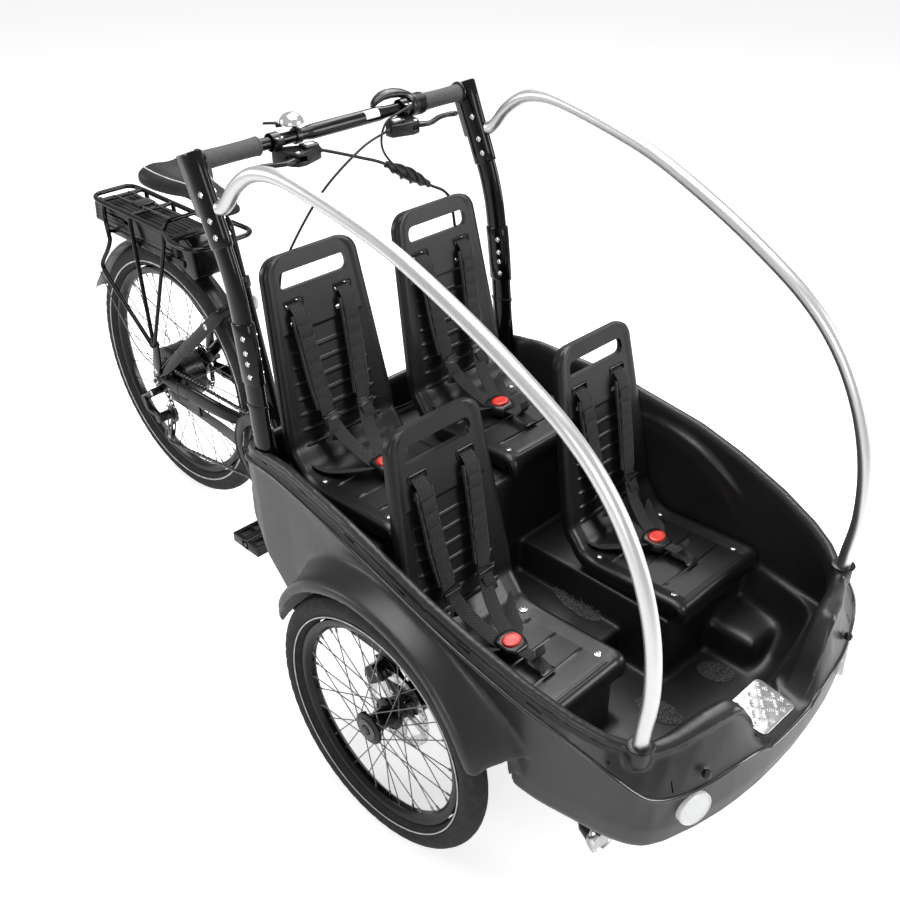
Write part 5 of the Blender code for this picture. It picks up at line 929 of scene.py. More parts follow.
screws = []
for x, z in ((0.070, 0.3745), (0.245, 0.3800)):
    for y in (-0.1005, 0.1005):
        screws.append(boltHead((x, y, z), (-0.05, 0, 1), 0.0062, "seatScrew"))
seat = joined([smooth(seat, 40)] + [smooth(c, 40) for c in collars + screws], "seatShape")
seatPlaces = {
    "front_right": Vector((0, -0.2115, 0)), "front_left": Vector((0, 0.2115, 0)),
    "rear_right": Vector((-0.375, -0.158, 0.175)), "rear_left": Vector((-0.375, 0.158, 0.175)),
}


def strap(points, width, thick, name, finish, hint=across, steps=6):
    # A flat woven band: its UV is in metres, across and along
    line = flowing(points, steps)
    section = [(-0.5, -0.3), (-0.46, -0.5), (0.46, -0.5), (0.5, -0.3), (0.5, 0.3), (0.46, 0.5), (-0.46, 0.5),
               (-0.5, 0.3)]
    bm = bmesh.new()
    uv = bm.loops.layers.uv.new("weave")
    rows = []
    gone = 0.0
    for i, here in enumerate(line):
        if i:
            gone += (here - line[i - 1]).length
        way = (line[min(i + 1, len(line) - 1)] - line[max(i - 1, 0)]).normalized()
        side = (hint - way * hint.dot(way)).normalized()
        lift = way.cross(side)
        rows.append((gone, [bm.verts.new(here + side * a * width + lift * b * thick) for a, b in section]))
    for (v0, low), (v1, high) in zip(rows, rows[1:]):
        for k in range(8):
            n = (k + 1) % 8
            face = bm.faces.new([low[k], low[n], high[n], high[k]])
            u0 = section[k][0] * width + (0.2 if 0 <= k < 4 else 0.0)
            u1 = section[n][0] * width + (0.2 if 0 <= k < 4 else 0.0)
            for loop, value in zip(face.loops, ((u0, v0), (u1, v0), (u1, v1), (u0, v1))):
                loop[uv].uv = value
    bm.faces.new(rows[0][1][::-1])
    bm.faces.new(rows[-1][1])
    made = objectOf(bm, name)
    return smooth(painted(made, finish), 50)


def buckleRing(halfLong, halfWide, height, count):
    turns = [2 * math.pi * k / count for k in range(count)]
    return [buckle + Vector((halfLong * math.cos(a), halfWide * math.sin(a), height)) for a in turns]


def harnessShape():
    parts = []
    for side in (-1, 1):
        def way(up, out, inward):
            return onBack(up, out, side * (seatSlots["y"] - inward))

        pad = [way(0.303, 0.0130, 0.001), way(0.250, 0.0150, 0.003), way(0.180, 0.0160, 0.006),
               way(0.118, 0.0180, 0.012)]
        parts.append(strap(pad, 0.040, 0.0052, "pad", "pad"))
        for edge in (side, -side):
            seam = [p + across * edge * 0.0175 + outBack * 0.0029 for p in pad]
            parts.append(strap(seam, 0.0022, 0.0012, "seam", "stitch"))
        top = [
            way(0.3225, -0.012, 0.0), way(0.3215, 0.002, 0.0), way(0.3140, 0.0100, 0.0),
            way(0.298, 0.0165, 0.001),
            way(0.245, 0.0190, 0.003), way(0.180, 0.0200, 0.006), way(0.118, 0.0220, 0.012),
            way(0.092, 0.0240, 0.016),
            way(0.055, 0.0400, 0.026),
        ]
        top += [buckle + Vector((-0.042, side * 0.0180, 0.012)),
                buckle + Vector((-0.014, side * 0.0130, 0.002))]
        parts.append(strap(top, 0.0290, 0.0022, "belt", "web"))
        for k, up in enumerate((0.276, 0.250, 0.223, 0.196, 0.170, 0.146)):
            inward = 0.0015 + (0.276 - up) * 0.070
            fold = [way(up + 0.009, 0.0212, inward - 0.0005), way(up, 0.0220, inward),
                    way(up - 0.009, 0.0214, inward + 0.0005)]
            parts.append(strap(fold, 0.0305, 0.0016, "fold", "web" if k % 2 else "pad", steps=2))
        ladder = [way(0.106, 0.0250, 0.0135), way(0.098, 0.0262, 0.0150), way(0.088, 0.0282, 0.0165)]
        parts.append(strap(ladder, 0.0400, 0.0040, "ladder", "part", steps=3))
        bar = [way(0.100, 0.0292, 0.0145) - across * 0.019, way(0.100, 0.0292, 0.0145) + across * 0.019]
        parts.append(painted(piped(bar, 0.0020, 10, "bar"), "part"))
        tail = [way(0.092, 0.0290, 0.016), way(0.070, 0.0330, 0.012), way(0.052, 0.0290, 0.006)]
        parts.append(strap(tail, 0.0240, 0.0018, "tail", "web"))
        hip = [
            buckle + Vector((-0.010, side * 0.020, 0.000)), buckle + Vector((-0.030, side * 0.046, -0.004)),
            Vector((0.062, side * 0.074, 0.3800)), Vector((0.044, side * 0.0880, 0.3850)),
            onBack(0.020, 0.0085, side * 0.0960),
        ]
        parts.append(strap(hip, 0.0240, 0.0020, "hip", "web", hint=Vector((0.62, side * 0.70, 0.25))))
    crotch = [buckle + Vector((0.012, 0, -0.003)), buckle + Vector((0.040, 0, 0.002)),
              buckle + Vector((0.064, 0, 0.000)),
              buckle + Vector((0.080, 0, -0.0075))]
    parts.append(strap(crotch, 0.0250, 0.0024, "crotch", "web"))
    tab = [buckle + Vector((0.055, 0, 0.003)), buckle + Vector((0.066, 0.001, 0.018)),
           buckle + Vector((0.061, 0.002, 0.031))]
    parts.append(strap(tab, 0.0210, 0.0030, "tab", "pad"))
    loop = slab(roundedBox(0.016, 0.006, 0.003, 3),
                buckle + Vector((0.083, 0, -0.0080)), across, (1, 0, 0.08), 0.0030, "anchor")
    parts.append(smooth(painted(bevelled(loop, 0.0006), "part"), 35))
    # The buckle's housing: a rounded shield with a raised collar for the button
    shield = [(-0.027, -0.012), (-0.020, -0.026), (0.010, -0.026), (0.026, -0.016), (0.026, 0.016),
              (0.010, 0.026),
              (-0.020, 0.026), (-0.027, 0.012)]
    outline = roundedOutline(shield, 0.007, 4)
    rings = []
    for height, grow in ((-0.0105, -0.004), (-0.0080, 0.0), (0.0040, 0.0), (0.0072, -0.0022),
                         (0.0088, -0.0060)):
        ring = []
        for x, y in outline:
            p = Vector((x, y))
            p = p + p.normalized() * grow
            ring.append(buckle + Vector((p.x, p.y, height - p.x * 0.07)))
        rings.append(ring)
    housing = objectOf(lofted(rings), "housing")
    well = [buckleRing(0.0150 + 0.0007, 0.0195 + 0.0007, height, 32) for height in (-0.0012, 0.03)]
    carved(housing, [objectOf(lofted(well), "well")])
    parts.append(smooth(painted(housing, "part"), 35))
    return joined(parts, "harnessShape")


def buttonShape():
    rings = []
    for height, share in ((0.0022, 1.0), (0.0105, 1.0), (0.0120, 0.95), (0.0128, 0.84), (0.0124, 0.55),
                          (0.0121, 0.2)):
        rings.append(buckleRing(0.0150 * share, 0.0195 * share, height, 36))
    return painted(objectOf(lofted(rings), "buttonShape"), "button")


harness = harnessShape()
button = buttonShape()
for name, shift in seatPlaces.items():
    place = Matrix.Translation(shift + Vector((axleX, 0, 0)))
    placed(twin(seat, "seatShell_" + name, place), "carriage", "moulded_black", "seat_" + name, degrees=40)
    placed(twin(harness, "harnessWeb_" + name, place), "carriage", "webbing", "harness_" + name, degrees=45)
    placed(twin(button, "buckleButton_" + name, place), "buckle_button_" + name, "red_button",
           "buckle_button_" + name)
dropped(seat, harness, button)
print("seats made")


# Hoops and posts

hoopLine = [
    (-0.448, 1.062), (-0.438, 1.0655), (-0.424, 1.078), (-0.395, 1.112), (-0.352, 1.141), (-0.300, 1.152),
    (-0.240, 1.148), (-0.130, 1.1265), (-0.030, 1.100), (0.080, 1.0560), (0.190, 1.003), (0.300, 0.938),
    (0.375, 0.868), (0.430, 0.780), (0.464, 0.680), (0.476, 0.580), (0.470, 0.500), (0.4670, 0.4610),
]
postLine = [
    (-0.3740, 0.5205), (-0.3920, 0.6420), (-0.4020, 0.7420), (-0.4140, 0.8380), (-0.4190, 0.8660),
    (-0.4275, 0.9120),
    (-0.4415, 0.9600), (-0.4545, 0.9920), (-0.4730, 1.0350), (-0.4950, 1.0840), (-0.5190, 1.1420),
]
postDense = flowing([at(x, 0.0, z) for x, z in postLine], 12)
post = {"y": 0.326, "tube": (0.050, 0.025), "sleeve": (0.057, 0.031)}
hoopForm = {"radius": 0.0127, "topY": 0.326, "footY": 0.302}


def postAt(z):
    for a, b in zip(postDense, postDense[1:]):
        if z <= b.z:
            return a + (b - a) * ((z - a.z) / (b.z - a.z)), (b - a).normalized()
    return postDense[-1] + (postDense[-1] - postDense[-2]).normalized() * (z - postDense[-1].z), (
        postDense[-1] - postDense[-2]).normalized()


def postTube(heights, side, long, wide, name, grow=None):
    rings = []
    for k, z in enumerate(heights):
        here, way = postAt(z)
        fore = Vector((way.z, 0, -way.x))
        more = grow[k] if grow else 0.0
        rings.append([
            here + across * (side * post["y"]) + fore * ((long / 2 + more) * math.cos(2 * math.pi * i / 36))
            + across * ((wide / 2 + more) * math.sin(2 * math.pi * i / 36))
            for i in range(36)
        ])
    return objectOf(lofted(rings), name)


def postBolts(marks, side, wide, radius):
    # Screw heads on the tube's inner and outer faces
    made = []
    for z in marks:
        here, way = postAt(z)
        fore = Vector((way.z, 0, -way.x))
        for out in (-1, 1):
            place = here + fore * 0.0115 + across * (side * post["y"] + out * (wide / 2 - 0.0017))
            made.append(boltHead(place, (0, out, 0), radius, "bolt", tall=0.5))
    return made


for name, side in (("right", -1), ("left", 1)):
    lower = postTube([0.5208, 0.56, 0.60, 0.642, 0.68, 0.71, 0.7478], side, *post["tube"], "lowerTube")
    ring = postTube([0.6995, 0.7005, 0.7060, 0.7070], side, *post["tube"], "ring",
                    [0.0002, 0.0016, 0.0016, 0.0002])
    sleeve = postTube([0.7478, 0.7486, 0.7500, 0.79, 0.838, 0.8600, 0.8618, 0.8621], side, *post["sleeve"],
                      "sleeve",
                      [-0.0030, -0.0010, 0.0, 0.0, 0.0, 0.0, -0.0012, -0.0030])
    parts = [painted(p, "paint") for p in (lower, ring, sleeve)]
    here, way = postAt(0.60)
    hook = slab(roundedBox(0.0045, 0.052, 0.0040, 5),
                here + across * (side * (post["y"] - 0.004)) + Vector((0.0250, 0, 0.012)), (1, 0, 0.13),
                (-0.13, 0, 1),
                0.0030, "hook")
    parts.append(painted(bevelled(hook, 0.0006), "paint"))
    parts += [boltHead(here + across * (side * (post["y"] - 0.004) - side * 0.0016) + Vector((0.0195, 0,
        -0.028)),
                       (0, -side, 0), 0.0045, "hookBolt")]
    parts += postBolts((0.766, 0.791, 0.811, 0.838), side, post["sleeve"][1], 0.0044)
    assembled(parts, "postBase_" + name, "carriage", "frame_black", "post_base_" + name)

    tops = [0.8624, 0.87, 0.88, 0.895, 0.912, 0.925, 0.936, 0.948, 0.960, 0.975, 0.9895]
    upper = postTube(tops, side, *post["tube"], "upperTube")
    sleeveTop = [0.9895, 0.9903, 0.9920, 1.01, 1.035, 1.06, 1.084, 1.11, 1.1370, 1.1400, 1.1412]
    clampPart = postTube(sleeveTop, side, *post["sleeve"], "clamp",
                         [-0.003, -0.001] + [0] * 6 + [0, -0.0012, -0.0045])
    parts = [painted(p, "paint") for p in (upper, clampPart)]
    collar = lathed([(0.0172, -0.0010), (0.0205, -0.0010), (0.0214, 0.0002), (0.0214, 0.0026),
                     (0.0205, 0.0036), (0.0172, 0.0036)],
                    at(-0.517, side * (post["y"] - 0.0180), 1.122), (0, side, 0), 40, "gripCollar",
                    closed=True)
    parts.append(painted(collar, "part"))
    # The flat plate on the clamp's rear side is painted light grey: a painted highlight for the face that
    # catches the light
    wing = slab(roundedOutline([(-0.503, 1.034), (-0.486, 1.038), (-0.529, 1.1370), (-0.546, 1.1300),
                                (-0.520, 1.072)], 0.003, 3),
                at(0, side * post["y"], 0), *upright, 0.0225, "wing")
    parts.append(painted(bevelled(wing, 0.0012), "paintedHighlight"))
    parts += postBolts((1.008, 1.034, 1.075), side, post["sleeve"][1], 0.0046)
    assembled(parts, "postTop_" + name, "carriage", "frame_black", "post_" + name)

    route = []
    for x, z in hoopLine:
        share = (x - hoopLine[0][0]) / (hoopLine[-1][0] - hoopLine[0][0])
        apart = hoopForm["topY"] + (hoopForm["footY"] - hoopForm["topY"]) * min(max(share, 0), 1)
        route.append(at(x, side * apart, z))
    hoop = piped(flowing(route, 10), hoopForm["radius"], 32, "hoopTube_" + name)
    painted(hoop, "alloy")
    placed(hoop, "carriage", "aluminium", "hoop_" + name, degrees=50)
    socket = lathed([(0.0130, 0.0), (0.0205, 0.0), (0.0212, 0.0010), (0.0205, 0.0028), (0.0160, 0.0040),
                     (0.0130, 0.0040)],
                    at(0.4682, side * hoopForm["footY"], 0.4672), (-0.05, 0, 1), 40, "hoopSocket_" + name,
                    closed=True)
    placed(painted(socket, "part"), "carriage", "moulded_black", degrees=40)
print("hoops and posts made")


# Handlebar and what is on it

barX = -0.517
barZ = 1.122
bar = lathed([
    (0.0, 0.309), (0.0111, 0.309), (0.0111, 0.114), (0.0118, 0.108), (0.0130, 0.098), (0.0137, 0.091),
    (0.0137, -0.069),
    (0.0130, -0.076), (0.0118, -0.083), (0.0111, -0.088), (0.0111, -0.309), (0.0, -0.309)],
    at(barX, 0, barZ), across, 40, "barTube")
painted(bar, "satin")
placed(bar, "carriage", "frame_black", "handlebar")
label = []
for i in range(9):
    a = math.radians(20 + i * 9)
    label.append([
        at(barX + 0.01362 * math.sin(a), y, barZ + 0.01362 * math.cos(a)) for y in (0.0520, 0.0860)
    ] + [at(barX + 0.01395 * math.sin(a), y, barZ + 0.01395 * math.cos(a)) for y in (0.0860, 0.0520)])
placed(painted(objectOf(lofted(label), "blankPatch"), "blank"), "carriage", "reflector")


def gripShape(low, high, ribbed, name):
    profile = [(0.0114, low), (0.0150, low), (0.0172, low + 0.0015), (0.0172, low + 0.0050),
               (0.0163, low + 0.0060)]
    steps = 26
    for i in range(steps + 1):
        y = low + 0.008 + (high - low - 0.016) * i / steps
        swell = 0.0165 - 0.0008 * math.sin(math.pi * i / steps)
        profile.append((swell + (0.00045 if i % 2 and ribbed else 0.0), y))
    profile += [(0.0163, high - 0.0060), (0.0172, high - 0.0050), (0.0172, high - 0.0015), (0.0150, high),
                (0.0114, high)]
    return painted(lathed(profile, at(barX, 0, barZ), across, 44, name, closed=True), "grip")


placed(gripShape(-0.3093, -0.1896, False, "gripCover_right"), "carriage", "grip", "grip_right", degrees=50)
placed(gripShape(0.2065, 0.3093, True, "gripCover_left"), "carriage", "grip", "grip_left", degrees=50)


def bandAround(y, wide, radius, name, finish, bore=0.0114):
    profile = [(bore, y - wide / 2), (radius - 0.0006, y - wide / 2), (radius, y - wide / 2 + 0.0006),
               (radius, y + wide / 2 - 0.0006), (radius - 0.0006, y + wide / 2), (bore, y + wide / 2)]
    return smooth(painted(lathed(profile, at(barX, 0, barZ), across, 40, name, closed=True), finish), 40)


def leverBracket():
    # Modelled on the left, mirrored to the right
    parts = [bandAround(0.155, 0.018, 0.0166, "clampBand", "part")]
    ears = slab(roundedBox(0.006, 0.009, 0.003, 4),
                at(barX + 0.0165, 0.155, barZ + 0.0045), (1, 0, 0), across, 0.012, "ears")
    parts.append(smooth(painted(bevelled(ears, 0.001), "part")))
    for dy in (-0.0052, 0.0052):
        parts.append(boltHead(at(barX + 0.0172, 0.155 + dy, barZ + 0.0105), (0, 0, 1), 0.0026, "clampBolt"))
    body = copied("lever_bracket_left", "leverHousing")
    bevelled(body, 0.0012, 2, 25)
    parts.append(smooth(painted(body, "part"), 35))
    box = slab(roundedBox(0.011, 0.016, 0.003, 4),
               at(barX + 0.036, 0.105, barZ - 0.0090), (1, 0, 0), across, 0.0060, "reservoir")
    parts.append(smooth(painted(bevelled(box, 0.0012), "part")))
    plate = slab(roundedBox(0.005, 0.009, 0.002, 4),
                 at(barX + 0.037, 0.105, barZ - 0.0058), (1, 0, 0), across, 0.0008, "lidPlate")
    parts.append(smooth(painted(plate, "blank")))
    boot = piped([at(barX + 0.037, 0.088, barZ - 0.0225), at(barX + 0.0375, 0.0840, barZ - 0.0230),
                  at(barX + 0.038, 0.0780, barZ - 0.0235)], [0.0066, 0.0052, 0.0036], 20, "boot")
    parts.append(smooth(painted(boot, "cable"), 50))
    parts.append(boltHead(at(barX + 0.050, 0.142, barZ - 0.0110), (0, 0, 1), 0.0042, "pivotHead"))
    return joined(parts, "leverBracket")


bracket = leverBracket()
for hand, matrix in hands:
    clamp = twin(bracket, "leverClamp_" + hand, matrix)
    placed(clamp, "carriage", "moulded_black", "lever_bracket_" + hand, degrees=38)
dropped(bracket)

blade = [
    (-0.0085, -0.006, 0.0060, 0.0050), (-0.004, 0.004, 0.0085, 0.0050), (0.001, 0.013, 0.0088, 0.0048),
    (0.0075, 0.027, 0.0066, 0.0044), (0.0062, 0.039, 0.0056, 0.0043), (0.0, 0.053, 0.0053, 0.0043),
    (-0.0065, 0.068, 0.0053, 0.0043), (-0.0095, 0.084, 0.0053, 0.0043), (-0.0085, 0.098, 0.0053, 0.0044),
    (-0.0055, 0.108, 0.0060, 0.0050), (-0.0042, 0.1130, 0.0058, 0.0048), (-0.0036, 0.1168, 0.0038, 0.0034),
    (-0.0034, 0.1182, 0.0012, 0.0012),
]
rings = []
for i, (x, y, half, tall) in enumerate(blade):
    before = blade[max(i - 1, 0)]
    after = blade[min(i + 1, len(blade) - 1)]
    way = Vector((after[0] - before[0], after[1] - before[1], 0)).normalized()
    side = Vector((way.y, -way.x, 0))
    ring = []
    for k in range(20):
        a = 2 * math.pi * k / 20
        c, s = math.cos(a), math.sin(a)
        ring.append(at(barX + 0.050 + x, 0.142 + y, barZ - 0.022) + side * half * math.copysign(abs(c) ** 0.7,
            c)
                    + Vector((0, 0, tall * math.copysign(abs(s) ** 0.7, s))))
    rings.append(ring)
lever = objectOf(lofted(rings), "leverBlade")
painted(lever, "part")
for hand, matrix in hands:
    body = "brake_lever_" + hand
    placed(twin(lever, "brakeBlade_" + hand, matrix), body, "moulded_black", body, degrees=50)
dropped(lever)

# Twist collar with the curled thumb lever
collar = [(0.0114, 0.1655), (0.0200, 0.1655), (0.0215, 0.1670), (0.0215, 0.1780), (0.0205, 0.1795),
          (0.0205, 0.1815),
          (0.0213, 0.1830)]
for i in range(10):
    collar.append((0.0213 - (0.0011 if i % 2 else 0.0), 0.1845 + i * 0.0020))
collar += [(0.0205, 0.2050), (0.0114, 0.2055)]
parts = [painted(lathed(collar, at(barX, 0, barZ), across, 48, "collar", closed=True), "part")]
hood = [
    (-0.010, 0.0170, 0.1860, 0.0110, 0.0050), (-0.014, 0.0215, 0.1720, 0.0128, 0.0068),
    (-0.018, 0.0250, 0.1540, 0.0130, 0.0072),
    (-0.020, 0.0258, 0.1360, 0.0122, 0.0070), (-0.0205, 0.0240, 0.1200, 0.0108, 0.0066),
    (-0.0195, 0.0195, 0.1060, 0.0092, 0.0060),
    (-0.0180, 0.0140, 0.0965, 0.0074, 0.0050), (-0.0172, 0.0105, 0.0920, 0.0042, 0.0026),
]
rings = []
for i, (x, z, y, half, tall) in enumerate(hood):
    ring = []
    for k in range(20):
        a = 2 * math.pi * k / 20
        c, s = math.cos(a), math.sin(a)
        ring.append(at(barX + x, y, barZ + z) + Vector((0.95, 0,
                                                        -0.25)) * half * math.copysign(abs(c) ** 0.75, c)
                    + Vector((0.25, 0, 0.95)) * tall * math.copysign(abs(s) ** 0.8, s))
    rings.append(ring)
parts.append(painted(objectOf(lofted(rings), "hood"), "part"))
assembled(parts, "shiftCollar", "shifter", "moulded_black", "shifter", degrees=45)

# Bell
bellTop = at(barX - 0.004, -0.110, barZ + 0.026)
dome = [(0.0, 0.0164), (0.0040, 0.0162), (0.0090, 0.0150), (0.0140, 0.0125), (0.0180, 0.0090),
        (0.0210, 0.0045),
        (0.0225, 0.0004), (0.0225, -0.0010), (0.0205, -0.0028), (0.0, -0.0030)]
parts = [painted(lathed(dome, bellTop, (0.05, -0.05, 1), 56, "dome"), "steel")]
parts.append(painted(pegged(at(barX, -0.104, barZ + 0.0162), bellTop, 0.0060, 24, "stem"), "part"))
parts.append(bandAround(-0.104, 0.012, 0.0146, "bellBand", "part"))
pin = bellTop + Vector((-0.014, -0.024, -0.002))
parts.append(painted(piped([bellTop + Vector((-0.009, -0.014, -0.0055)), pin + Vector((0, 0, -0.0042))],
                           0.0031, 12, "ear"), "part"))
parts.append(painted(pegged(pin - Vector((0, 0, 0.0055)), pin + Vector((0, 0, 0.0040)), 0.0016, 16, "pin"),
                     "steel"))
assembled(parts, "bellDome", "carriage", "steel", "bell")
thumb = copied("bell_lever", "bellThumb")
bevelled(thumb, 0.0006, 2, 30)
placed(painted(thumb, "part"), "bell_lever", "moulded_black", "bell_lever")

# Cables: held all the way, from the bar to the outlet on the tail wall
cableX = -0.4600
hoseRight = [
    (-0.4790, -0.0857, 1.0985), (-0.4790, -0.0780, 1.0985), (cableX, -0.0060, 1.0730),
    (cableX, 0.0590, 1.0450),
    (cableX, 0.1660, 0.9810), (cableX - 0.001, 0.2160, 0.9520), (cableX - 0.001, 0.2360, 0.9150),
    (-0.4460, 0.2350, 0.8200),
    (-0.4260, 0.2200, 0.6500), (-0.4200, 0.1200, 0.5480), (-0.4285, 0.0100, 0.5350),
    (-0.4290, 0.0000, 0.5350),
]
hoseLeft = [
    (-0.4790, 0.0857, 1.0985), (-0.4790, 0.0780, 1.0985), (cableX, -0.0020, 1.0880),
    (cableX, -0.0980, 1.0300),
    (cableX, -0.1800, 0.9420), (cableX + 0.002, -0.2120, 0.8800), (-0.4350, -0.2350, 0.7400),
    (-0.4200, -0.2100, 0.6100),
    (-0.4200, -0.1200, 0.5480), (-0.4285, -0.0100, 0.5350), (-0.4290, 0.0000, 0.5350),
]
shiftRun = [
    (-0.4890, 0.1520, 1.1310), (-0.4860, 0.1220, 1.1260), (-0.4830, 0.0840, 1.1160),
    (-0.4790, 0.0660, 1.0900),
    (-0.4720, 0.0660, 1.0620), (cableX, 0.0900, 1.0260),
]
parts = []
for run, r in ((hoseRight, 0.0030), (hoseLeft, 0.0024), (shiftRun, 0.0022)):
    parts.append(smooth(painted(piped(flowing([at(*p) for p in run], 10), r, 16, "hose"), "cable"), 50))
outlet = lathed([(0.0, -0.016), (0.0080, -0.016), (0.0088, -0.014), (0.0088, -0.009), (0.0066, -0.004),
                 (0.0048, 0.004), (0.0, 0.004)],
                at(-0.4420, 0, 0.5350), (1, 0, 0), 32, "outlet")
parts.append(smooth(painted(outlet, "cable"), 40))
wrapWay = Vector((0, 0.107, -0.064)).normalized()
wrapStart = at(cableX, 0.0590, 1.0450)
wrapSide = wrapWay.cross(Vector((1, 0, 0)))
for turn in range(3):
    # Three crossing strands of the spiral wrap, bulged in the middle
    strand = []
    for k in range(41):
        t = k / 40
        bulge = 0.0036 + 0.0080 * math.sin(math.pi * t) ** 1.2
        a = 2 * math.pi * (t * 1.5 + turn / 3)
        strand.append(wrapStart + wrapWay * 0.128 * t + Vector((1, 0,
            0)) * bulge * math.cos(a) + wrapSide * bulge * math.sin(a))
    parts.append(smooth(painted(piped(strand, 0.0034, 10, "strand"), "cable"), 60))
core = []
coreR = []
for k in range(21):
    t = k / 20
    core.append(wrapStart + wrapWay * 0.126 * t)
    coreR.append(0.0042 + 0.0062 * math.sin(math.pi * t))
parts.append(smooth(painted(piped(core, coreR, 20, "core"), "cable"), 60))
placed(joined(parts, "cableRun"), "carriage", "grip", "cable_bundle", degrees=60)
print("bar made")


# Wheels

def tyreShape(radius, rimR, width, centre, steps, name):
    half = width / 2
    depth = radius - rimR
    rings = []
    for i in range(steps):
        a = 2 * math.pi * i / steps
        out = around(1, a)
        ring = []
        for k in range(33):
            t = math.radians(-148 + 296 * k / 32)
            r = radius - depth * 0.5 + depth * 0.5 * math.copysign(abs(math.cos(t)) ** 0.92, math.cos(t))
            y = half * math.sin(t)
            if abs(math.degrees(t)) > 90:
                y *= 0.97 - 0.35 * ((abs(math.degrees(t)) - 90) / 58) ** 2
            slant = i + abs(k - 16) * 0.8
            row = abs(k - 16)
            cut = 0.0
            if row in (3, 4):
                cut = 0.0015 if row == 3 else 0.0
            elif row <= 2:
                cut = 0.0017 if int(slant) % 4 == 0 else 0.0
            elif row <= 9:
                cut = 0.0019 if int(i + row * 0.5) % 3 == 0 else 0.0
            r = min(r, radius) - cut
            ring.append(centre + out * max(r, rimR + 0.0006) + across * y)
        rings.append(ring)
    return painted(objectOf(lofted(rings, closed=True), name), "rubber")


def ringLine(radius, y, r, centre, name, finish):
    # A thin line proud of the tyre's flank
    out = math.copysign(1, y)
    inY, outY = y - out * 0.0004, y + out * 0.0006
    section = [(radius - r, inY), (radius + r, inY), (radius + r * 0.8, outY), (radius - r * 0.8, outY)]
    return smooth(painted(lathed(section, centre, across, 128, name, closed=True), finish), 40)


def rimShape(rimR, centre):
    half = 0.013
    profile = [
        (rimR, half), (rimR + 0.0012, half - 0.0004), (rimR + 0.0012, half - 0.0022),
        (rimR - 0.0016, half - 0.0028),
        (rimR - 0.0040, half - 0.0050), (rimR - 0.0040, -half + 0.0050), (rimR - 0.0016, -half + 0.0028),
        (rimR + 0.0012, -half + 0.0022), (rimR + 0.0012, -half + 0.0004), (rimR, -half),
        (rimR - 0.0090, -half + 0.0003),
        (rimR - 0.0110, -half + 0.0018), (rimR - 0.0150, -half + 0.0048), (rimR - 0.0178, -0.0050),
        (rimR - 0.0182, 0.0),
        (rimR - 0.0178, 0.0050), (rimR - 0.0150, half - 0.0048), (rimR - 0.0110, half - 0.0018),
        (rimR - 0.0090, half - 0.0003),
    ]
    return smooth(painted(lathed(profile, centre, across, 128, "rim", closed=True), "satin"), 40)


def spokeSet(count, flangeR, flangeY, rimR, centre, leanAngle):
    parts = []
    rimIn = rimR - 0.018
    for i in range(count):
        side = 1 if i % 2 else -1
        leading = 1 if i % 4 < 2 else -1
        turn = 2 * math.pi * (i + 0.5) / count
        sweep = turn + math.radians(leanAngle) * leading
        start = centre + around(flangeR, sweep, side * (flangeY + leading * 0.0026))
        end = centre + around(rimIn + 0.002, turn, side * 0.0025)
        way = (end - start).normalized()
        parts.append(painted(pegged(start, end, 0.00105, 8, "spoke"), "spoke"))
        parts.append(painted(pegged(end - way * 0.0110, end, 0.0021, 8, "nipple"), "spoke"))
        head = start + Vector((0, side * leading * 0.0006, 0))
        parts.append(painted(pegged(head - across * 0.0012, head + across * 0.0012, 0.0024, 8, "spokeHead"),
                             "spoke"))
    return smooth(joined(parts, "spokes"), 40)


def discShape(centre, innerR, arms, outward, name):
    half = 0.0009
    outline = []
    waves = 10
    for i in range(160):
        a = 2 * math.pi * i / 160
        r = 0.0800 - 0.0012 * (0.5 + 0.5 * math.cos(a * waves))
        outline.append((r * math.cos(a), r * math.sin(a)))
    plate = slab(outline, centre, (1, 0, 0), (0, 0, 1), half * 2, name)
    gaps = []
    for i in range(arms):
        turn = 2 * math.pi * (i + 0.5) / arms + 0.2
        points = []
        for r, spread in ((0.0640, 0.44), (0.0640, -0.44), (0.030, -0.20), (0.030, 0.20)):
            a = turn + spread + outward * 0.42 * (r - 0.028) / 0.042
            points.append((r * math.cos(a), r * math.sin(a)))
        if Vector(points[0]).cross(Vector(points[1])) < 0:
            points.reverse()
        gaps.append(slab(roundedOutline(points, 0.004, 4), centre, *upright, 0.02, "window"))
    for i in range(60):
        a = 2 * math.pi * i / 60
        r = (0.0755, 0.0722, 0.0689)[i % 3]
        mid = centre + around(r, a)
        gaps.append(pegged(mid - across * 0.004, mid + across * 0.004, 0.0019, 8, "drill"))
    gaps.append(pegged(centre - across * 0.004, centre + across * 0.004, innerR, 32, "bore"))
    carved(plate, gaps)
    return painted(plate, "steel")


def frontHub(side, centre):
    y = Vector((0, side, 0))
    barrel = [(0.0092, 0.0312), (0.0200, 0.0316), (0.0262, 0.0310), (0.0310, 0.0292), (0.0315, 0.0280),
              (0.0315, 0.0250),
              (0.0300, 0.0235), (0.0240, 0.0215), (0.0190, 0.0180), (0.0180, 0.0140), (0.0180, -0.0120),
              (0.0195, -0.0165),
              (0.0300, -0.0185), (0.0315, -0.0195), (0.0315, -0.0250), (0.0300, -0.0262), (0.0225, -0.0300),
              (0.0225, -0.0410),
              (0.0092, -0.0415)]
    parts = [smooth(painted(lathed(barrel, centre, y, 56, "hub", closed=True), "satin"), 35)]
    cap = [(0.0105, 0.0318), (0.0205, 0.0318), (0.0212, 0.0326), (0.0200, 0.0336), (0.0140, 0.0338),
           (0.0105, 0.0336)]
    parts.append(smooth(painted(lathed(cap, centre, y, 48, "hubCap", closed=True), "dark"), 35))
    for i in range(6):
        a = 2 * math.pi * i / 6
        place = centre + around(0.0165, a, -side * 0.0448)
        parts.append(boltHead(place, (0, -side, 0), 0.0028, "discBolt", tall=0.4))
    return joined(parts, "hub")


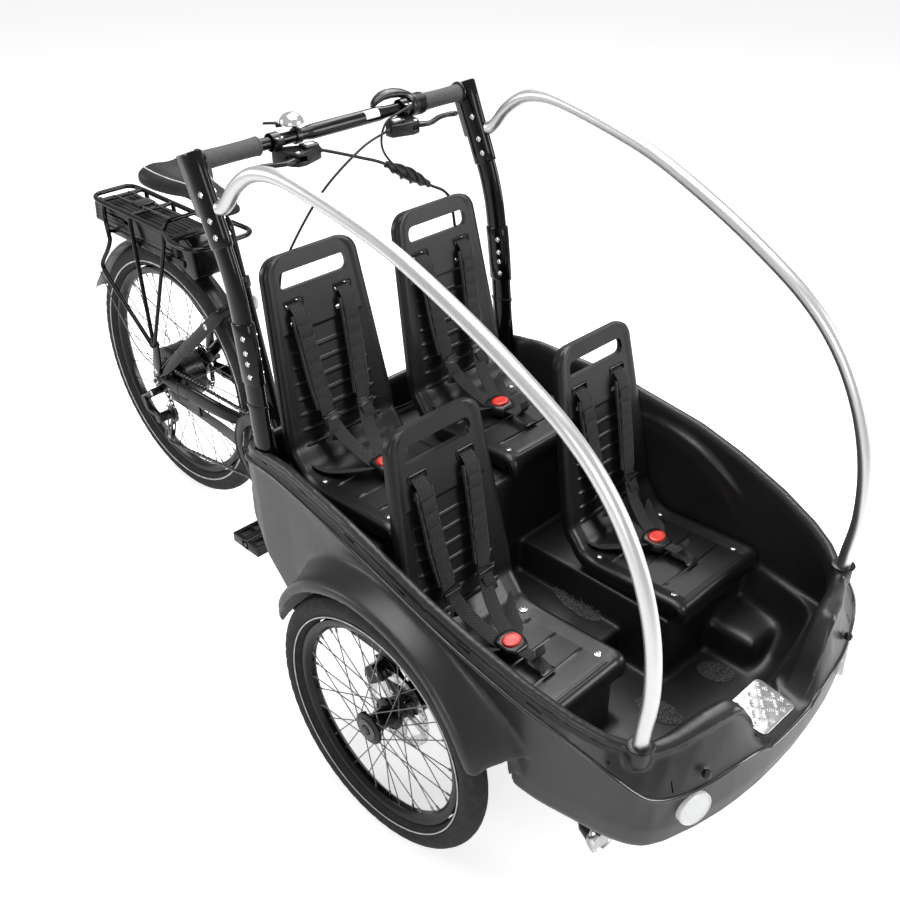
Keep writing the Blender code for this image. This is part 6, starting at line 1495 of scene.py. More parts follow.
front = {"radius": 0.254, "rim": 0.203, "wide": 0.050, "y": 0.406, "discY": 0.363, "caliperR": 0.072,
         "caliperTurn": 132}
for name, side in (("right", -1), ("left", 1)):
    centre = at(0, side * front["y"], front["radius"])
    body = "front_wheel_" + name
    tyre = tyreShape(front["radius"], front["rim"], front["wide"], centre, 168, "frontTyre_" + name)
    smooth(tyre, 30)
    lines = [ringLine(0.2150, s * 0.0226, 0.0012, centre, "line", "ring") for s in (-1, 1)]
    placed(joined([tyre] + lines, "frontTyre_" + name), body, "tyre", "front_tyre_" + name, degrees=30)
    spokes = spokeSet(36, 0.0275, 0.0235, front["rim"], centre, 62)
    hub = frontHub(side, centre)
    placed(joined([rimShape(front["rim"], centre), spokes, hub], "frontWheel_" + name), body, "rim_black",
           body)
    disc = discShape(at(0, side * front["discY"], front["radius"]), 0.0130, 5, side, "frontDisc_" + name)
    placed(disc, body, "steel", "front_disc_" + name)
    caliper = copied("front_caliper_" + name, "frontCaliper_" + name)
    bevelled(caliper, 0.0015, 2, 25)
    painted(caliper, "part")
    bolts = []
    turn, reach = math.radians(front["caliperTurn"]), front["caliperR"]
    place = at(reach * math.cos(turn), side * front["discY"], front["radius"] + reach * math.sin(turn))
    along = Vector((math.sin(turn), 0, -math.cos(turn)))
    for dx in (-0.017, 0.017):
        bolts.append(boltHead(place + along * dx + across * side * 0.0168, (0, side, 0), 0.0042,
                              "caliperBolt"))
    placed(joined([smooth(caliper)] + bolts, "frontCaliper_" + name), "carriage", "frame_black",
           "front_caliper_" + name)

rear = {"radius": 0.337, "rim": 0.2795, "wide": 0.047, "x": -1.220}
rearAxle = at(rear["x"], 0, rear["radius"])
tyre = smooth(tyreShape(rear["radius"], rear["rim"], rear["wide"], rearAxle, 216, "rearTyre"), 30)
lines = [ringLine(0.2990, s * 0.0220, 0.0018, rearAxle, "line", "ring") for s in (-1, 1)]
placed(joined([tyre] + lines, "rearTyreRing"), "rear_wheel", "tyre", "rear_tyre", degrees=30)
motor = [
    (0.0064, 0.0480), (0.0190, 0.0480), (0.0205, 0.0470), (0.0220, 0.0400), (0.0300, 0.0372),
    (0.0440, 0.0362), (0.0560, 0.0350),
    (0.0660, 0.0332), (0.0700, 0.0318), (0.0735, 0.0304), (0.0740, 0.0290), (0.0740, 0.0235),
    (0.0725, 0.0220), (0.0725, -0.0220),
    (0.0740, -0.0235), (0.0740, -0.0290), (0.0735, -0.0304), (0.0690, -0.0322), (0.0600, -0.0342),
    (0.0420, -0.0360),
    (0.0300, -0.0366), (0.0180, -0.0370), (0.0064, -0.0370),
]
parts = [smooth(painted(lathed(motor, rearAxle, across, 80, "motor", closed=True), "satin"), 30)]
for i in range(8):
    a = 2 * math.pi * (i + 0.5) / 8
    for s in (-1, 1):
        place = rearAxle + around(0.0600, a, s * 0.0343)
        parts.append(boltHead(place, (0, s, 0), 0.0026, "motorBolt", "dark"))
wheelParts = [rimShape(rear["rim"], rearAxle),
              spokeSet(36, 0.0705, 0.0270, rear["rim"], rearAxle, 22)] + parts
placed(joined(wheelParts, "rearWheelSet"), "rear_wheel", "rim_black", "rear_wheel")
disc = discShape(rearAxle + across * 0.0493, 0.0098, 5, 1, "rearDiscPlate")
placed(disc, "rear_wheel", "steel", "rear_disc")
print("wheels made")


# Boxes shaped as by hand, in edit mode

def boxed(low, high, name):
    low, high = Vector(low), Vector(high)
    bpy.ops.object.select_all(action="DESELECT")
    bpy.ops.mesh.primitive_cube_add(size=1, location=(low + high) / 2)
    made = bpy.context.object
    made.name = name
    made.scale = high - low
    bpy.ops.object.transform_apply(location=True, rotation=True, scale=True)
    return made


def sideBox(side, near, far, name):
    # Corners given for the left side, in x and z from the front axle and in y from the middle
    low, high = sorted((side * near[1], side * far[1]))
    return boxed(at(near[0], low, near[2]), at(far[0], high, far[2]), name)


def pickedFaces(obj, test):
    # Leaves the object in edit mode with only the faces that pass the test
    only(obj)
    bpy.ops.object.mode_set(mode="EDIT")
    bpy.ops.mesh.select_mode(type="FACE")
    bpy.ops.mesh.select_all(action="DESELECT")
    bpy.ops.object.mode_set(mode="OBJECT")
    for face in obj.data.polygons:
        face.select = test(face)
    bpy.ops.object.mode_set(mode="EDIT")


def panelled(obj, test, border, depth):
    pickedFaces(obj, test)
    bpy.ops.mesh.inset(thickness=border, depth=0)
    bpy.ops.mesh.inset(thickness=abs(depth) * 0.6, depth=depth)
    bpy.ops.object.mode_set(mode="OBJECT")
    return obj


def topVertex(node, way):
    way = Vector(way).normalized()
    return max(v.co.dot(way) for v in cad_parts[node].data.vertices)


# Fittings on the nose

tread = {"middle": (0.50, 0, 0.3555), "long": (-0.0360, 0.0425), "half": 0.0512, "thick": 0.0022,
         "corner": 0.012,
         "bar": 0.0074, "barWide": 0.00150, "barTall": 0.0013}
plateMid = at(*tread["middle"])
plateMid += slopeUp * (topVertex("tread_plate", slopeUp) - plateMid.dot(slopeUp) - tread["thick"] / 2)
back, fore = tread["long"]
half = tread["half"]
plateLine = roundedOutline([(back, -half), (fore, -half * 0.94), (fore, half * 0.94), (back, half)],
                           tread["corner"], 6)
plate = bevelled(slab(plateLine, plateMid, slopeWay, across, tread["thick"], "treadSheet"), 0.0005, 2)
parts = [painted(plate, "tread")]
plateTop = plateMid + slopeUp * (tread["thick"] / 2 - 0.0001)
for i in range(5):
    for j in range(6):
        u = back + 0.0085 + i * 0.0155
        v = -half + 0.0090 + j * 0.0168
        turned = math.radians(42 if (i + j) % 2 else -48)
        ahead = slopeWay * math.cos(turned) + across * math.sin(turned)
        aside = slopeWay * -math.sin(turned) + across * math.cos(turned)
        for k in range(-2, 3):
            middle = plateTop + slopeWay * u + across * v + aside * (k * 0.0034)
            size = tread["bar"] * (0.98 - 0.10 * abs(k))
            rings = []
            for t in (-1.0, -0.62, 0.0, 0.62, 1.0):
                w = tread["barWide"] * (1 - t * t) + 0.0002
                h = tread["barTall"] * (1 - t * t) + 0.0001
                here = middle + ahead * size * t
                rings.append([here - aside * w - slopeUp * 0.0003, here + aside * w - slopeUp * 0.0003,
                              here + aside * w * 0.55 + slopeUp * h * 0.85, here + slopeUp * h,
                              here - aside * w * 0.55 + slopeUp * h * 0.85])
            inside = all(back + 0.002 < (p - plateTop).dot(slopeWay) < fore - 0.002
                         and abs((p - plateTop).y) < half - 0.003 for p in (rings[0][0], rings[-1][0]))
            if inside:
                parts.append(painted(objectOf(lofted(rings), "bar"), "tread"))
for side in (-1, 1):
    place = plateTop + slopeWay * 0.0175 + across * side * 0.0425
    dome = [(0, 0.0022), (0.0018, 0.0020), (0.0032, 0.0013), (0.0038, 0.0002), (0.0038, -0.0006),
            (0, -0.0006)]
    parts.append(painted(lathed(dome, place, slopeUp, 18, "rivet"), "steel"))
assembled(parts, "treadPlate", "carriage", "aluminium", "tread_plate", degrees=50)

for name, side in (("right", -1), ("left", 1)):
    way = Vector((0.955, 0.290 * side, 0.06)).normalized()
    middle = at(0.532, 0.233 * side, 0.330)
    middle += way * (topVertex("front_reflector_" + name, way) - middle.dot(way) - 0.0018)
    rim = [(0, -0.0200), (0.0302, -0.0200), (0.0309, -0.0190), (0.0310, -0.0020), (0.0304, -0.0006),
           (0.0292, 0.0),
           (0.0284, -0.0006), (0.0280, -0.0014), (0.0150, -0.0006), (0, -0.0004)]
    lensDisc = lathed(rim, middle, way, 56, "reflectorLens_" + name)
    placed(painted(lensDisc, "lensWhite"), "carriage", "reflector", "front_reflector_" + name, degrees=30)

lampWay = Vector((0.985, -0.12, -0.12)).normalized()
lampLow = min(v.co.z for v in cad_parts["headlight"].data.vertices)
lampMid = at(0.372, -0.250, 0.147 + lampLow - 0.1147)
shell = [(0, -0.0340), (0.0090, -0.0335), (0.0130, -0.0315), (0.0195, -0.0225), (0.0226, -0.0060),
         (0.0246, 0.0020),
         (0.0230, 0.0022), (0, 0.0010)]
ringShape = [(0.0246, 0.0010), (0.0262, 0.0030), (0.0296, 0.0150), (0.0300, 0.0205), (0.0292, 0.0212),
             (0.0276, 0.0196),
             (0.0262, 0.0140), (0.0180, 0.0050), (0.0060, 0.0020), (0.0060, 0.0010)]
glass = [(0.0268, 0.0172), (0.0200, 0.0192), (0.0100, 0.0202), (0, 0.0205), (0, 0.0185), (0.0100, 0.0182),
         (0.0268, 0.0160)]
parts = [
    painted(lathed(shell, lampMid, lampWay, 48, "lampShell"), "part"),
    painted(lathed(ringShape, lampMid, lampWay, 48, "lampRing", closed=True), "steel"),
    painted(lathed(glass, lampMid, lampWay, 48, "lampGlass"), "lensWhite"),
]
strapTop = topVertex("headlight", (0, 0, 1))
strapLine = flowing([at(0.318, -0.250, strapTop - 0.001), at(0.3185, -0.250, 0.215), at(0.322, -0.250, 0.176),
                     at(0.336, -0.250, lampMid.z + 0.006), at(0.352, -0.250, lampMid.z)], 8)
rings = []
for here, (way, side, lift) in zip(strapLine, framesOf(strapLine)):
    out = way.cross(across).normalized()
    rings.append([here + across * y + out * h for y, h in
                  ((-0.0070, -0.0010), (0.0070, -0.0010), (0.0075, 0.0), (0.0070, 0.0010), (-0.0070, 0.0010),
                   (-0.0075, 0.0))])
parts.append(painted(objectOf(lofted(rings), "lampStrap"), "steel"))
parts.append(boltHead(at(0.3245, -0.250, 0.172), (1, 0, 0.4), 0.0042, "lampBolt", "dark"))
assembled(parts, "headLamp", "carriage", "frame_black", "headlight")
chassis = bevelled(copied("axle_frame", "chassisFrame"), 0.0016, 2, 25)
placed(painted(chassis, "paint"), "carriage", "frame_black", "axle_frame")
print("nose fittings made")


# Rear frame

def ovalTube(stations, name, steps=6, sides=28, finish="paint"):
    line = flowing([at(*s[:3]) for s in stations], steps)
    rings = []
    for i, here in enumerate(line):
        slot, t = divmod(i / steps, 1)
        a = stations[min(int(slot), len(stations) - 1)]
        b = stations[min(int(slot) + 1, len(stations) - 1)]
        tall = a[3] + (b[3] - a[3]) * t
        wide = a[4] + (b[4] - a[4]) * t
        ahead = (line[min(i + 1, len(line) - 1)] - line[max(i - 1, 0)]).normalized()
        level = Vector((0, 0, 1)).cross(ahead).normalized()
        if level.y < 0:
            level = -level
        lift = ahead.cross(level)
        rings.append(ovalRing(here, level * wide, lift * tall, sides))
    return smooth(painted(objectOf(lofted(rings), name), finish), 50)


def tie(place, way, tall, wide, name="tie"):
    # A thin band around an oval stay
    way = Vector(way).normalized()
    level = Vector((0, 0, 1)).cross(way).normalized()
    lift = way.cross(level)
    rings = []
    for h, more in ((-0.0014, 0.0), (-0.0012, 0.0008), (0.0012, 0.0008), (0.0014, 0.0)):
        rings.append(ovalRing(place + way * h, level * (wide + more), lift * (tall + more), 28))
    return smooth(painted(objectOf(lofted(rings), name), "cable"), 40)


crankMid = at(-0.795, 0, 0.290)
seatTop = at(-0.901, 0, 0.700)
seatWay = (seatTop - crankMid).normalized()
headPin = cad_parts["rear_frame"]
pinX = max(v.co.x for v in headPin.data.vertices) - 0.021 - axleX
parts = []
headLow = min(v.co.z for v in headPin.data.vertices if v.co.x > pinX + axleX - 0.022)
headHigh = max(v.co.z for v in headPin.data.vertices if v.co.x > pinX + axleX + 0.001)
fromPin = [math.hypot(v.co.x - pinX - axleX, v.co.y) for v in headPin.data.vertices
           if v.co.x > pinX + axleX + 0.001 and abs(v.co.y) < 0.0001]
bore = min([0.0132] + [reach for reach in fromPin if reach > 0.004])
sleeve = [(bore, headLow), (0.0200, headLow), (0.0212, headLow + 0.0012), (0.0212, headLow + 0.010),
          (0.0205, headLow + 0.0115),
          (0.0205, headHigh - 0.0115), (0.0212, headHigh - 0.010), (0.0212, headHigh - 0.0012),
          (0.0200, headHigh), (bore, headHigh)]
parts.append(painted(lathed(sleeve, at(pinX, 0, 0), (0, 0, 1), 40, "headTube", closed=True), "paint"))
parts.append(painted(piped(flowing([at(pinX - 0.0175, 0, 0.233), at(-0.55, 0, 0.2435), at(-0.70, 0, 0.268),
                                    crankMid + Vector((0.008, 0, 0))], 10), 0.0240, 32, "mainTube"), "paint"))
shellLine = [(0.0128, -0.034), (0.0200, -0.034), (0.0210, -0.033), (0.0210, -0.024), (0.0205, -0.023),
             (0.0205, 0.023),
             (0.0210, 0.024), (0.0210, 0.033), (0.0200, 0.034), (0.0128, 0.034)]
parts.append(painted(lathed(shellLine, crankMid, across, 40, "crankShell", closed=True), "paint"))
parts.append(painted(piped([crankMid + seatWay * 0.004, crankMid + seatWay * 0.2, seatTop - seatWay * 0.0020],
                           0.0165, 32, "seatTube"), "paint"))
collar = [(0.0138, -0.026), (0.0192, -0.026), (0.0200, -0.025), (0.0200, -0.003), (0.0192, -0.002),
          (0.0138, -0.002)]
parts.append(painted(lathed(collar, seatTop, seatWay, 40, "seatCollar", closed=True), "part"))
lug = boxed(seatTop + Vector((-0.0300, -0.007, -0.022)), seatTop + Vector((-0.0165, 0.007, -0.008)),
            "collarLug")
parts.append(painted(bevelled(lug, 0.002), "part"))
parts.append(boltHead(seatTop + Vector((-0.0235, -0.0072, -0.015)), (0, -1, 0), 0.0040, "collarBolt"))
parts.append(painted(pegged(rearAxle - across * 0.0815, rearAxle + across * 0.0795, 0.0056, 24,
                            "rearAxleRod"), "dark"))
for side in (-1, 1):
    inner = 0.0605 if side < 0 else 0.0528
    stay = [(-1.195, side * 0.068, 0.343, 0.012, 0.0070), (-1.146, side * 0.0675, 0.345, 0.018, 0.0080),
            (-1.050, side * 0.0660, 0.350, 0.024, 0.0085), (-0.950, side * 0.0560, 0.346, 0.021, 0.0085),
            (-0.905, side * 0.0360, 0.333, 0.017, 0.0080), (-0.860, side * 0.0280, 0.315, 0.015, 0.0080),
            (-0.796, side * 0.0200, 0.292, 0.012, 0.0080)]
    upper = [(-1.203, side * 0.068, 0.356, 0.010, 0.0070), (-1.150, side * 0.0670, 0.404, 0.015, 0.0085),
             (-0.955, side * 0.0540, 0.585, 0.0155, 0.0090), (-0.915, side * 0.0380, 0.620, 0.0140, 0.0090),
             (-0.886, side * 0.0100, 0.642, 0.0120, 0.0090)]
    parts += [ovalTube(stay, "chainStay"), ovalTube(upper, "seatStay")]
    for share in (0.30, 0.46, 0.62):
        a, b = at(*upper[1][:3]), at(*upper[2][:3])
        parts.append(tie(a + (b - a) * share, b - a, 0.0156, 0.0089))
    for share in (0.25, 0.7):
        a, b = at(*stay[1][:3]), at(*stay[2][:3])
        parts.append(tie(a + (b - a) * share, b - a, 0.0180 + 0.006 * share, 0.0084))
    parts.append(boltHead(at(-0.972, side * 0.0640, 0.5700), (0, side, 0), 0.0060, "stayBolt"))
    outline = roundedOutline([(-1.242, 0.318), (-1.230, 0.296), (-1.212, 0.300), (-1.190, 0.322),
                              (-1.172, 0.350),
                              (-1.186, 0.384), (-1.214, 0.388), (-1.242, 0.352)], 0.005, 4)
    plate = slab(outline, at(0, side * (inner + 0.0695) / 2, 0), *upright, 0.0695 - inner, "dropout")
    parts.append(painted(bevelled(plate, 0.0012), "paint"))
    nut = slab([(0.0105 * math.cos(math.radians(60 * k)),
                 0.0105 * math.sin(math.radians(60 * k))) for k in range(6)],
               rearAxle + across * side * 0.0730, *upright, 0.0080, "axleNut")
    parts.append(painted(bevelled(nut, 0.0010), "steel"))
    parts.append(painted(pegged(at(-1.200, side * 0.0675, 0.374), at(-1.200, side * 0.0765, 0.374), 0.0070,
                                20, "rackLug"), "paint"))
bridge = [at(-0.9585, -0.0525, 0.5905), at(-0.9698, -0.0340, 0.5961), at(-0.9720, 0, 0.5970),
          at(-0.9698, 0.0340, 0.5961),
          at(-0.9585, 0.0525, 0.5905)]
parts.append(painted(piped(flowing(bridge, 6), 0.0060, 16, "bridge"), "paint"))
grab = math.radians(35)
grabMid = at(rear["x"] + 0.072 * math.cos(grab), 0.0493, rear["radius"] + 0.072 * math.sin(grab))
grabWay = around(1, grab)
grabSide = Vector((-math.sin(grab), 0, math.cos(grab)))
for side in (-1, 1):
    cheek = slab(roundedOutline([(-0.020, -0.012), (0.020, -0.012), (0.017, 0.016), (-0.017, 0.016)], 0.005,
                                5),
                 grabMid + across * side * 0.0070, grabSide, grabWay, 0.0095 if side > 0 else 0.0075, "cheek")
    parts.append(painted(bevelled(cheek, 0.0014), "part"))
spine = slab(roundedOutline([(-0.016, 0.010), (0.016, 0.010), (0.014, 0.018), (-0.014, 0.018)], 0.002, 4),
             grabMid, grabSide, grabWay, 0.0200, "spine")
parts.append(painted(bevelled(spine, 0.0010), "part"))
parts.append(painted(piped(flowing([at(-1.160, 0.064, 0.372), at(-1.148, 0.065, 0.380),
                                    at(-1.140, 0.0655, 0.385)], 4), 0.0075, 18, "caliperArm"), "paint"))
parts.append(boltHead(grabMid + across * 0.0118, across, 0.0045, "caliperBolt"))
assembled(parts, "rearFrameTubes", "rear_frame", "frame_black", "rear_frame")
print("rear frame made")


# Drive

drive = {"y": -0.048, "pitch": 0.0127, "ringTeeth": 44, "sprocketTeeth": 17, "pulleyTeeth": 11}


def pitchRadius(teeth):
    return drive["pitch"] / (2 * math.sin(math.pi / teeth))


def toothed(centre, teeth, thick, bore, name, finish="dark", arms=0, web=0.012, start=0.0):
    # A sprocket: hooked teeth around a plate, with windows between its arms
    r = pitchRadius(teeth)
    outline = []
    for i in range(teeth):
        for share, reach in ((0.0, -0.0034), (0.20, -0.0028), (0.40, 0.0024), (0.60, 0.0024),
                             (0.80, -0.0028)):
            a = 2 * math.pi * (i + share) / teeth + start
            outline.append(((r + reach) * math.cos(a), (r + reach) * math.sin(a)))
    wheel = slab(outline, centre, (1, 0, 0), (0, 0, 1), thick, name)
    holes = [pegged(centre - across * 0.02, centre + across * 0.02, bore, 32, "bore")]
    for i in range(arms):
        a = 2 * math.pi * i / arms
        inner, outer = bore + 0.012, r - web
        spread = math.pi / arms - 0.14
        points = [(outer * math.cos(a - spread), outer * math.sin(a - spread)),
                  (outer * math.cos(a), outer * math.sin(a)),
                  (outer * math.cos(a + spread), outer * math.sin(a + spread)),
                  (inner * math.cos(a + spread * 0.6), inner * math.sin(a + spread * 0.6)),
                  (inner * math.cos(a - spread * 0.6), inner * math.sin(a - spread * 0.6))]
        holes.append(slab(roundedOutline(points, 0.004, 3), centre, *upright, 0.04, "window"))
    carved(wheel, holes)
    return smooth(painted(wheel, finish), 30)


ringMid = Vector((crankMid.x, drive["y"], crankMid.z))
armTurn = math.radians(-63.7)
armOut = around(1, armTurn)
parts = [toothed(ringMid, drive["ringTeeth"], 0.0022, 0.020, "chainRing", "dark", 5, 0.017, armTurn)]
parts.append(painted(lathed([(0.0, -0.0765), (0.0225, -0.0765), (0.0240, -0.0750), (0.0240, -0.0480),
                             (0.0215, -0.0462), (0.0125, -0.0462),
                             (0.0125, 0.0740), (0.0, 0.0740)],
                            crankMid, across, 40, "spindle"), "satin"))
for i in range(5):
    a = armTurn + math.radians(36 + 72 * i)
    parts.append(boltHead(ringMid + around(0.060, a, -0.0016), (0, -1, 0), 0.0036, "ringBolt"))
for side in (-1, 1):
    out = armOut * -side
    up = across.cross(out)
    armLine = roundedOutline([(-0.018, -0.017), (0.014, -0.0165), (0.090, -0.0120), (0.186, -0.0115),
                              (0.186, 0.0115), (0.090, 0.0120),
                              (0.014, 0.0165), (-0.018, 0.017)], [0.012, 0.01, 0.05, 0.009, 0.009, 0.05, 0.01,
                                  0.012], 6)
    arm = slab(armLine, Vector((crankMid.x, side * 0.0810, crankMid.z)), out, up, 0.0140, "crankArm")
    parts.append(painted(bevelled(arm, 0.0030, 3, 40), "satin"))
    hub = Vector((crankMid.x, side * 0.0872, crankMid.z))
    parts.append(painted(lathed([(0, 0), (0.0105, 0), (0.0110, -0.0006), (0.0110, -0.0020), (0, -0.0020)],
                                hub + across * side * 0.0014,
                                (0, side, 0), 32, "armCap"), "part"))
    pin = crankMid + out * 0.170 + across * side * 0.084
    parts.append(painted(pegged(pin, pin + across * side * 0.088, 0.0058, 20, "pedalPin"), "steel"))
assembled(parts, "crankArms", "crank", "frame_black", "crankset")

for name, side in (("right", -1), ("left", 1)):
    mid = crankMid + armOut * -side * 0.170
    low, high = sorted((side * 0.096, side * 0.186))
    cage = boxed((mid.x - 0.047, low, mid.z - 0.012), (mid.x + 0.047, high, mid.z + 0.012), "pedalCage")
    windows = []
    for way in (-1, 1):
        near, far = sorted((mid.x + way * 0.0155, mid.x + way * 0.0375))
        for k in range(2):
            a = low + 0.010 + k * 0.0365
            windows.append(boxed((near, a, mid.z - 0.03), (far, a + 0.0335, mid.z + 0.03), "window"))
    carved(cage, windows)
    bevelled(cage, 0.0020, 2, 40)
    panelled(cage, lambda f: abs(f.normal.x) > 0.99 and f.area > 0.0010, 0.004, -0.0012)
    parts = [painted(cage, "part")]
    parts.append(painted(lathed([(0.0066, low), (0.0120, low), (0.0135, low + 0.0015),
                                 (0.0135, high - 0.0015), (0.0120, high), (0.0066, high)],
                                mid, across, 32, "barrel", closed=True), "part"))
    parts.append(painted(lathed([(0, high - 0.006), (0.0098, high - 0.006), (0.0098, high - 0.0005),
                                 (0, high + 0.0003)] if side > 0 else
                                [(0, low + 0.006), (0.0098, low + 0.006), (0.0098, low + 0.0005),
                                 (0, low - 0.0003)],
                                mid, across, 28, "barrelCap"), "dark"))
    for way in (-1, 1):
        for k in range(7):
            y = low + 0.012 + k * 0.011
            for up in (-1, 1):
                stud = lathed([(0, 0.0006), (0.0010, 0.0006), (0.0018, -0.0006), (0, -0.0006)],
                              (mid.x + way * 0.0425, y, mid.z + up * 0.0120), (0, 0, up), 8, "stud")
                parts.append(painted(stud, "part"))
    assembled(parts, "pedalBlock_" + name, "pedal_" + name, "moulded_black", "pedal_" + name)

parts = []
for teeth, y in ((23, -0.0402), (20, -0.0436), (17, -0.0480), (14, -0.0525), (12, -0.0560)):
    parts.append(toothed(Vector((rearAxle.x, y, rearAxle.z)), teeth, 0.0016, 0.0125, "sprocket",
                         "steel" if teeth == drive["sprocketTeeth"] else "dark"))
parts.append(painted(lathed([(0.0066, -0.0385), (0.0255, -0.0385), (0.0255, -0.0410), (0.0200, -0.0420),
                             (0.0200, -0.0560), (0.0170, -0.0575),
                             (0.0105, -0.0585), (0.0066, -0.0585)], rearAxle, across, 40, "freehub",
                             closed=True), "dark"))
assembled(parts, "sprocketStack", "cassette", "steel", "cassette", degrees=30)

guideMid = at(-1.212, drive["y"], 0.233)
tensionMid = at(-1.236, drive["y"], 0.152)
cageDown = tensionMid - guideMid
cageLong = cageDown.length
cageDown.normalize()
cageAside = across.cross(cageDown)
parts = []
for low in (-0.0070, 0.0055):
    outline = roundedOutline([(-0.013, -0.011), (cageLong + 0.006, -0.0075), (cageLong + 0.012, 0.0),
                              (cageLong + 0.006, 0.0075),
                              (-0.006, 0.0125)], 0.004, 5)
    cheek = slab(outline, guideMid + across * (low + 0.00075), cageDown, cageAside, 0.0015, "cageCheek")
    hole = slab(roundedOutline([(0.020, -0.004), (cageLong - 0.020, -0.003), (cageLong - 0.020, 0.003),
                                (0.020, 0.0045)], 0.0025, 4),
                guideMid, cageDown, cageAside, 0.04, "hole")
    carved(cheek, [hole])
    parts.append(painted(bevelled(cheek, 0.0003, 1, 40), "dark"))
for mid in (guideMid, tensionMid):
    parts.append(toothed(mid, drive["pulleyTeeth"], 0.0022, 0.0040, "pulley", "part"))
    parts.append(painted(pegged(mid - across * 0.0062, mid + across * 0.0062, 0.0039, 20, "pulleyPin"),
                         "steel"))
    parts.append(boltHead(mid - across * 0.0068, (0, -1, 0), 0.0032, "pulleyBolt", tall=0.3))
assembled(parts, "changerCage", "derailleur_cage", "steel", "derailleur_cage", degrees=35)

changer = bevelled(copied("derailleur", "changerArm"), 0.0016, 2, 28)
parts = [painted(changer, "part")]
parts.append(boltHead(at(-1.222, -0.0935, 0.306), (0, -1, 0), 0.0055, "changerBolt"))
parts.append(boltHead(at(-1.212, -0.0918, 0.233), (0, -1, 0), 0.0060, "changerPivot", "dark"))
plate = slab(roundedOutline([(-0.020, -0.008), (0.020, -0.008), (0.016, 0.008), (-0.016, 0.008)], 0.004, 4),
             at(-1.2480, -0.1008, 0.268), (0.35, 0, -0.94), (0.94, 0, 0.35), 0.0016, "changerPlate")
parts.append(painted(bevelled(plate, 0.0004, 1), "satin"))
assembled(parts, "changer", "rear_frame", "frame_black", "derailleur", degrees=38)

# Chain: one plate pair and roller, set link by link along its route
rounds = [(crankMid, "ringTeeth", 1), (rearAxle, "sprocketTeeth", 1), (guideMid, "pulleyTeeth", -1),
          (tensionMid, "pulleyTeeth", 1)]
flat = [(Vector((mid.x, mid.z)), pitchRadius(drive[teeth]), turn) for mid, teeth, turn in rounds]
tangents = []
for i, (start, startR, startTurn) in enumerate(flat):
    end, endR, endTurn = flat[(i + 1) % 4]
    apart = end - start
    offset = endTurn * endR - startTurn * startR
    run = math.sqrt(apart.length_squared - offset * offset)
    heading = math.atan2(apart.y, apart.x) - math.atan2(offset, run)
    left = Vector((-math.sin(heading), math.cos(heading)))
    tangents.append((start - left * startTurn * startR, end - left * endTurn * endR))
route = []
for i, (middle, radius, turn) in enumerate(flat):
    arrive = tangents[i - 1][1] - middle
    leave = tangents[i][0] - middle
    first = math.atan2(arrive.y, arrive.x)
    sweep = (math.atan2(leave.y, leave.x) - first) * turn % (2 * math.pi)
    steps = max(int(sweep * radius / 0.002), 2)
    for k in range(steps + 1):
        a = first + turn * sweep * k / steps
        route.append(middle + Vector((math.cos(a), math.sin(a))) * radius)
    ahead, behind = tangents[i][1], route[-1]
    count = int((ahead - behind).length / 0.004)
    route += [behind + (ahead - behind) * k / count for k in range(1, count)]
lengths = [0.0]
for a, b in zip(route, route[1:] + route[:1]):
    lengths.append(lengths[-1] + (b - a).length)
links = 2 * round(lengths[-1] / drive["pitch"] / 2)


def alongChain(distance):
    distance %= lengths[-1]
    low = 0
    high = len(lengths) - 1
    while high - low > 1:
        mid = (low + high) // 2
        if lengths[mid] <= distance:
            low = mid
        else:
            high = mid
    a, b = route[low % len(route)], route[(low + 1) % len(route)]
    share = (distance - lengths[low]) / max(lengths[low + 1] - lengths[low], 1e-9)
    here = a + (b - a) * share
    return Vector((here.x, drive["y"], here.y))


def walled(bm, low, high):
    # Walls between two rings of vertices, and a cap on each
    for k in range(len(low)):
        n = (k + 1) % len(low)
        bm.faces.new([low[k], low[n], high[n], high[k]])
    bm.faces.new(low)
    bm.faces.new(high)


bm = bmesh.new()
for i in range(links):
    start = alongChain(i * lengths[-1] / links)
    end = alongChain((i + 1) * lengths[-1] / links)
    ahead = (end - start).normalized()
    lift = ahead.cross(across)
    outer = 0.00315 if i % 2 else 0.0021
    for side in (-1, 1):
        rows = []
        for layer in (outer - 0.0004, outer + 0.00035):
            ring = []
            for endHere, spin in ((start, math.pi), (end, 0.0)):
                for k in range(5):
                    a = spin - math.pi * 0.42 + math.pi * 0.84 * k / 4
                    ring.append(bm.verts.new(endHere + ahead * 0.0034 * math.cos(a) + lift * 0.0034
                                             * math.sin(a) + across * side * layer))
                if spin:
                    ring.append(bm.verts.new((start + end) / 2 - lift * 0.0024 + across * side * layer))
            ring.append(bm.verts.new((start + end) / 2 + lift * 0.0024 + across * side * layer))
            rows.append(ring)
        walled(bm, *rows)
    rows = []
    for y in (-0.0021, 0.0021):
        rows.append([bm.verts.new(p + across * y) for p in ovalRing(start, ahead * 0.0032, lift * 0.0032, 8)])
    walled(bm, *rows)
chainLinks = painted(objectOf(bm, "chainLinks"), "dark")
placed(chainLinks, "rear_frame", "steel", "chain", degrees=30)
print("chain links:", links)

guardY = -0.0625
guard = bevelled(copied("chain_guard", "guardPanel"), 0.0007, 2, 25)
parts = [painted(guard, "part")]
ringEdge = lathed([(0.1082, guardY - 0.0026), (0.1082, guardY + 0.0026), (0.1060, guardY + 0.0026),
                   (0.1050, guardY + 0.0016),
                   (0.1050, guardY - 0.0016), (0.1060, guardY - 0.0026)], crankMid, across, 88, "guardEdge",
                   closed=True)
parts.append(painted(ringEdge, "part"))
assembled(parts, "chainGuard", "rear_frame", "moulded_black", "chain_guard", degrees=35)
print("drive made")


# Rack, battery and mudguard

deckZ = 0.767


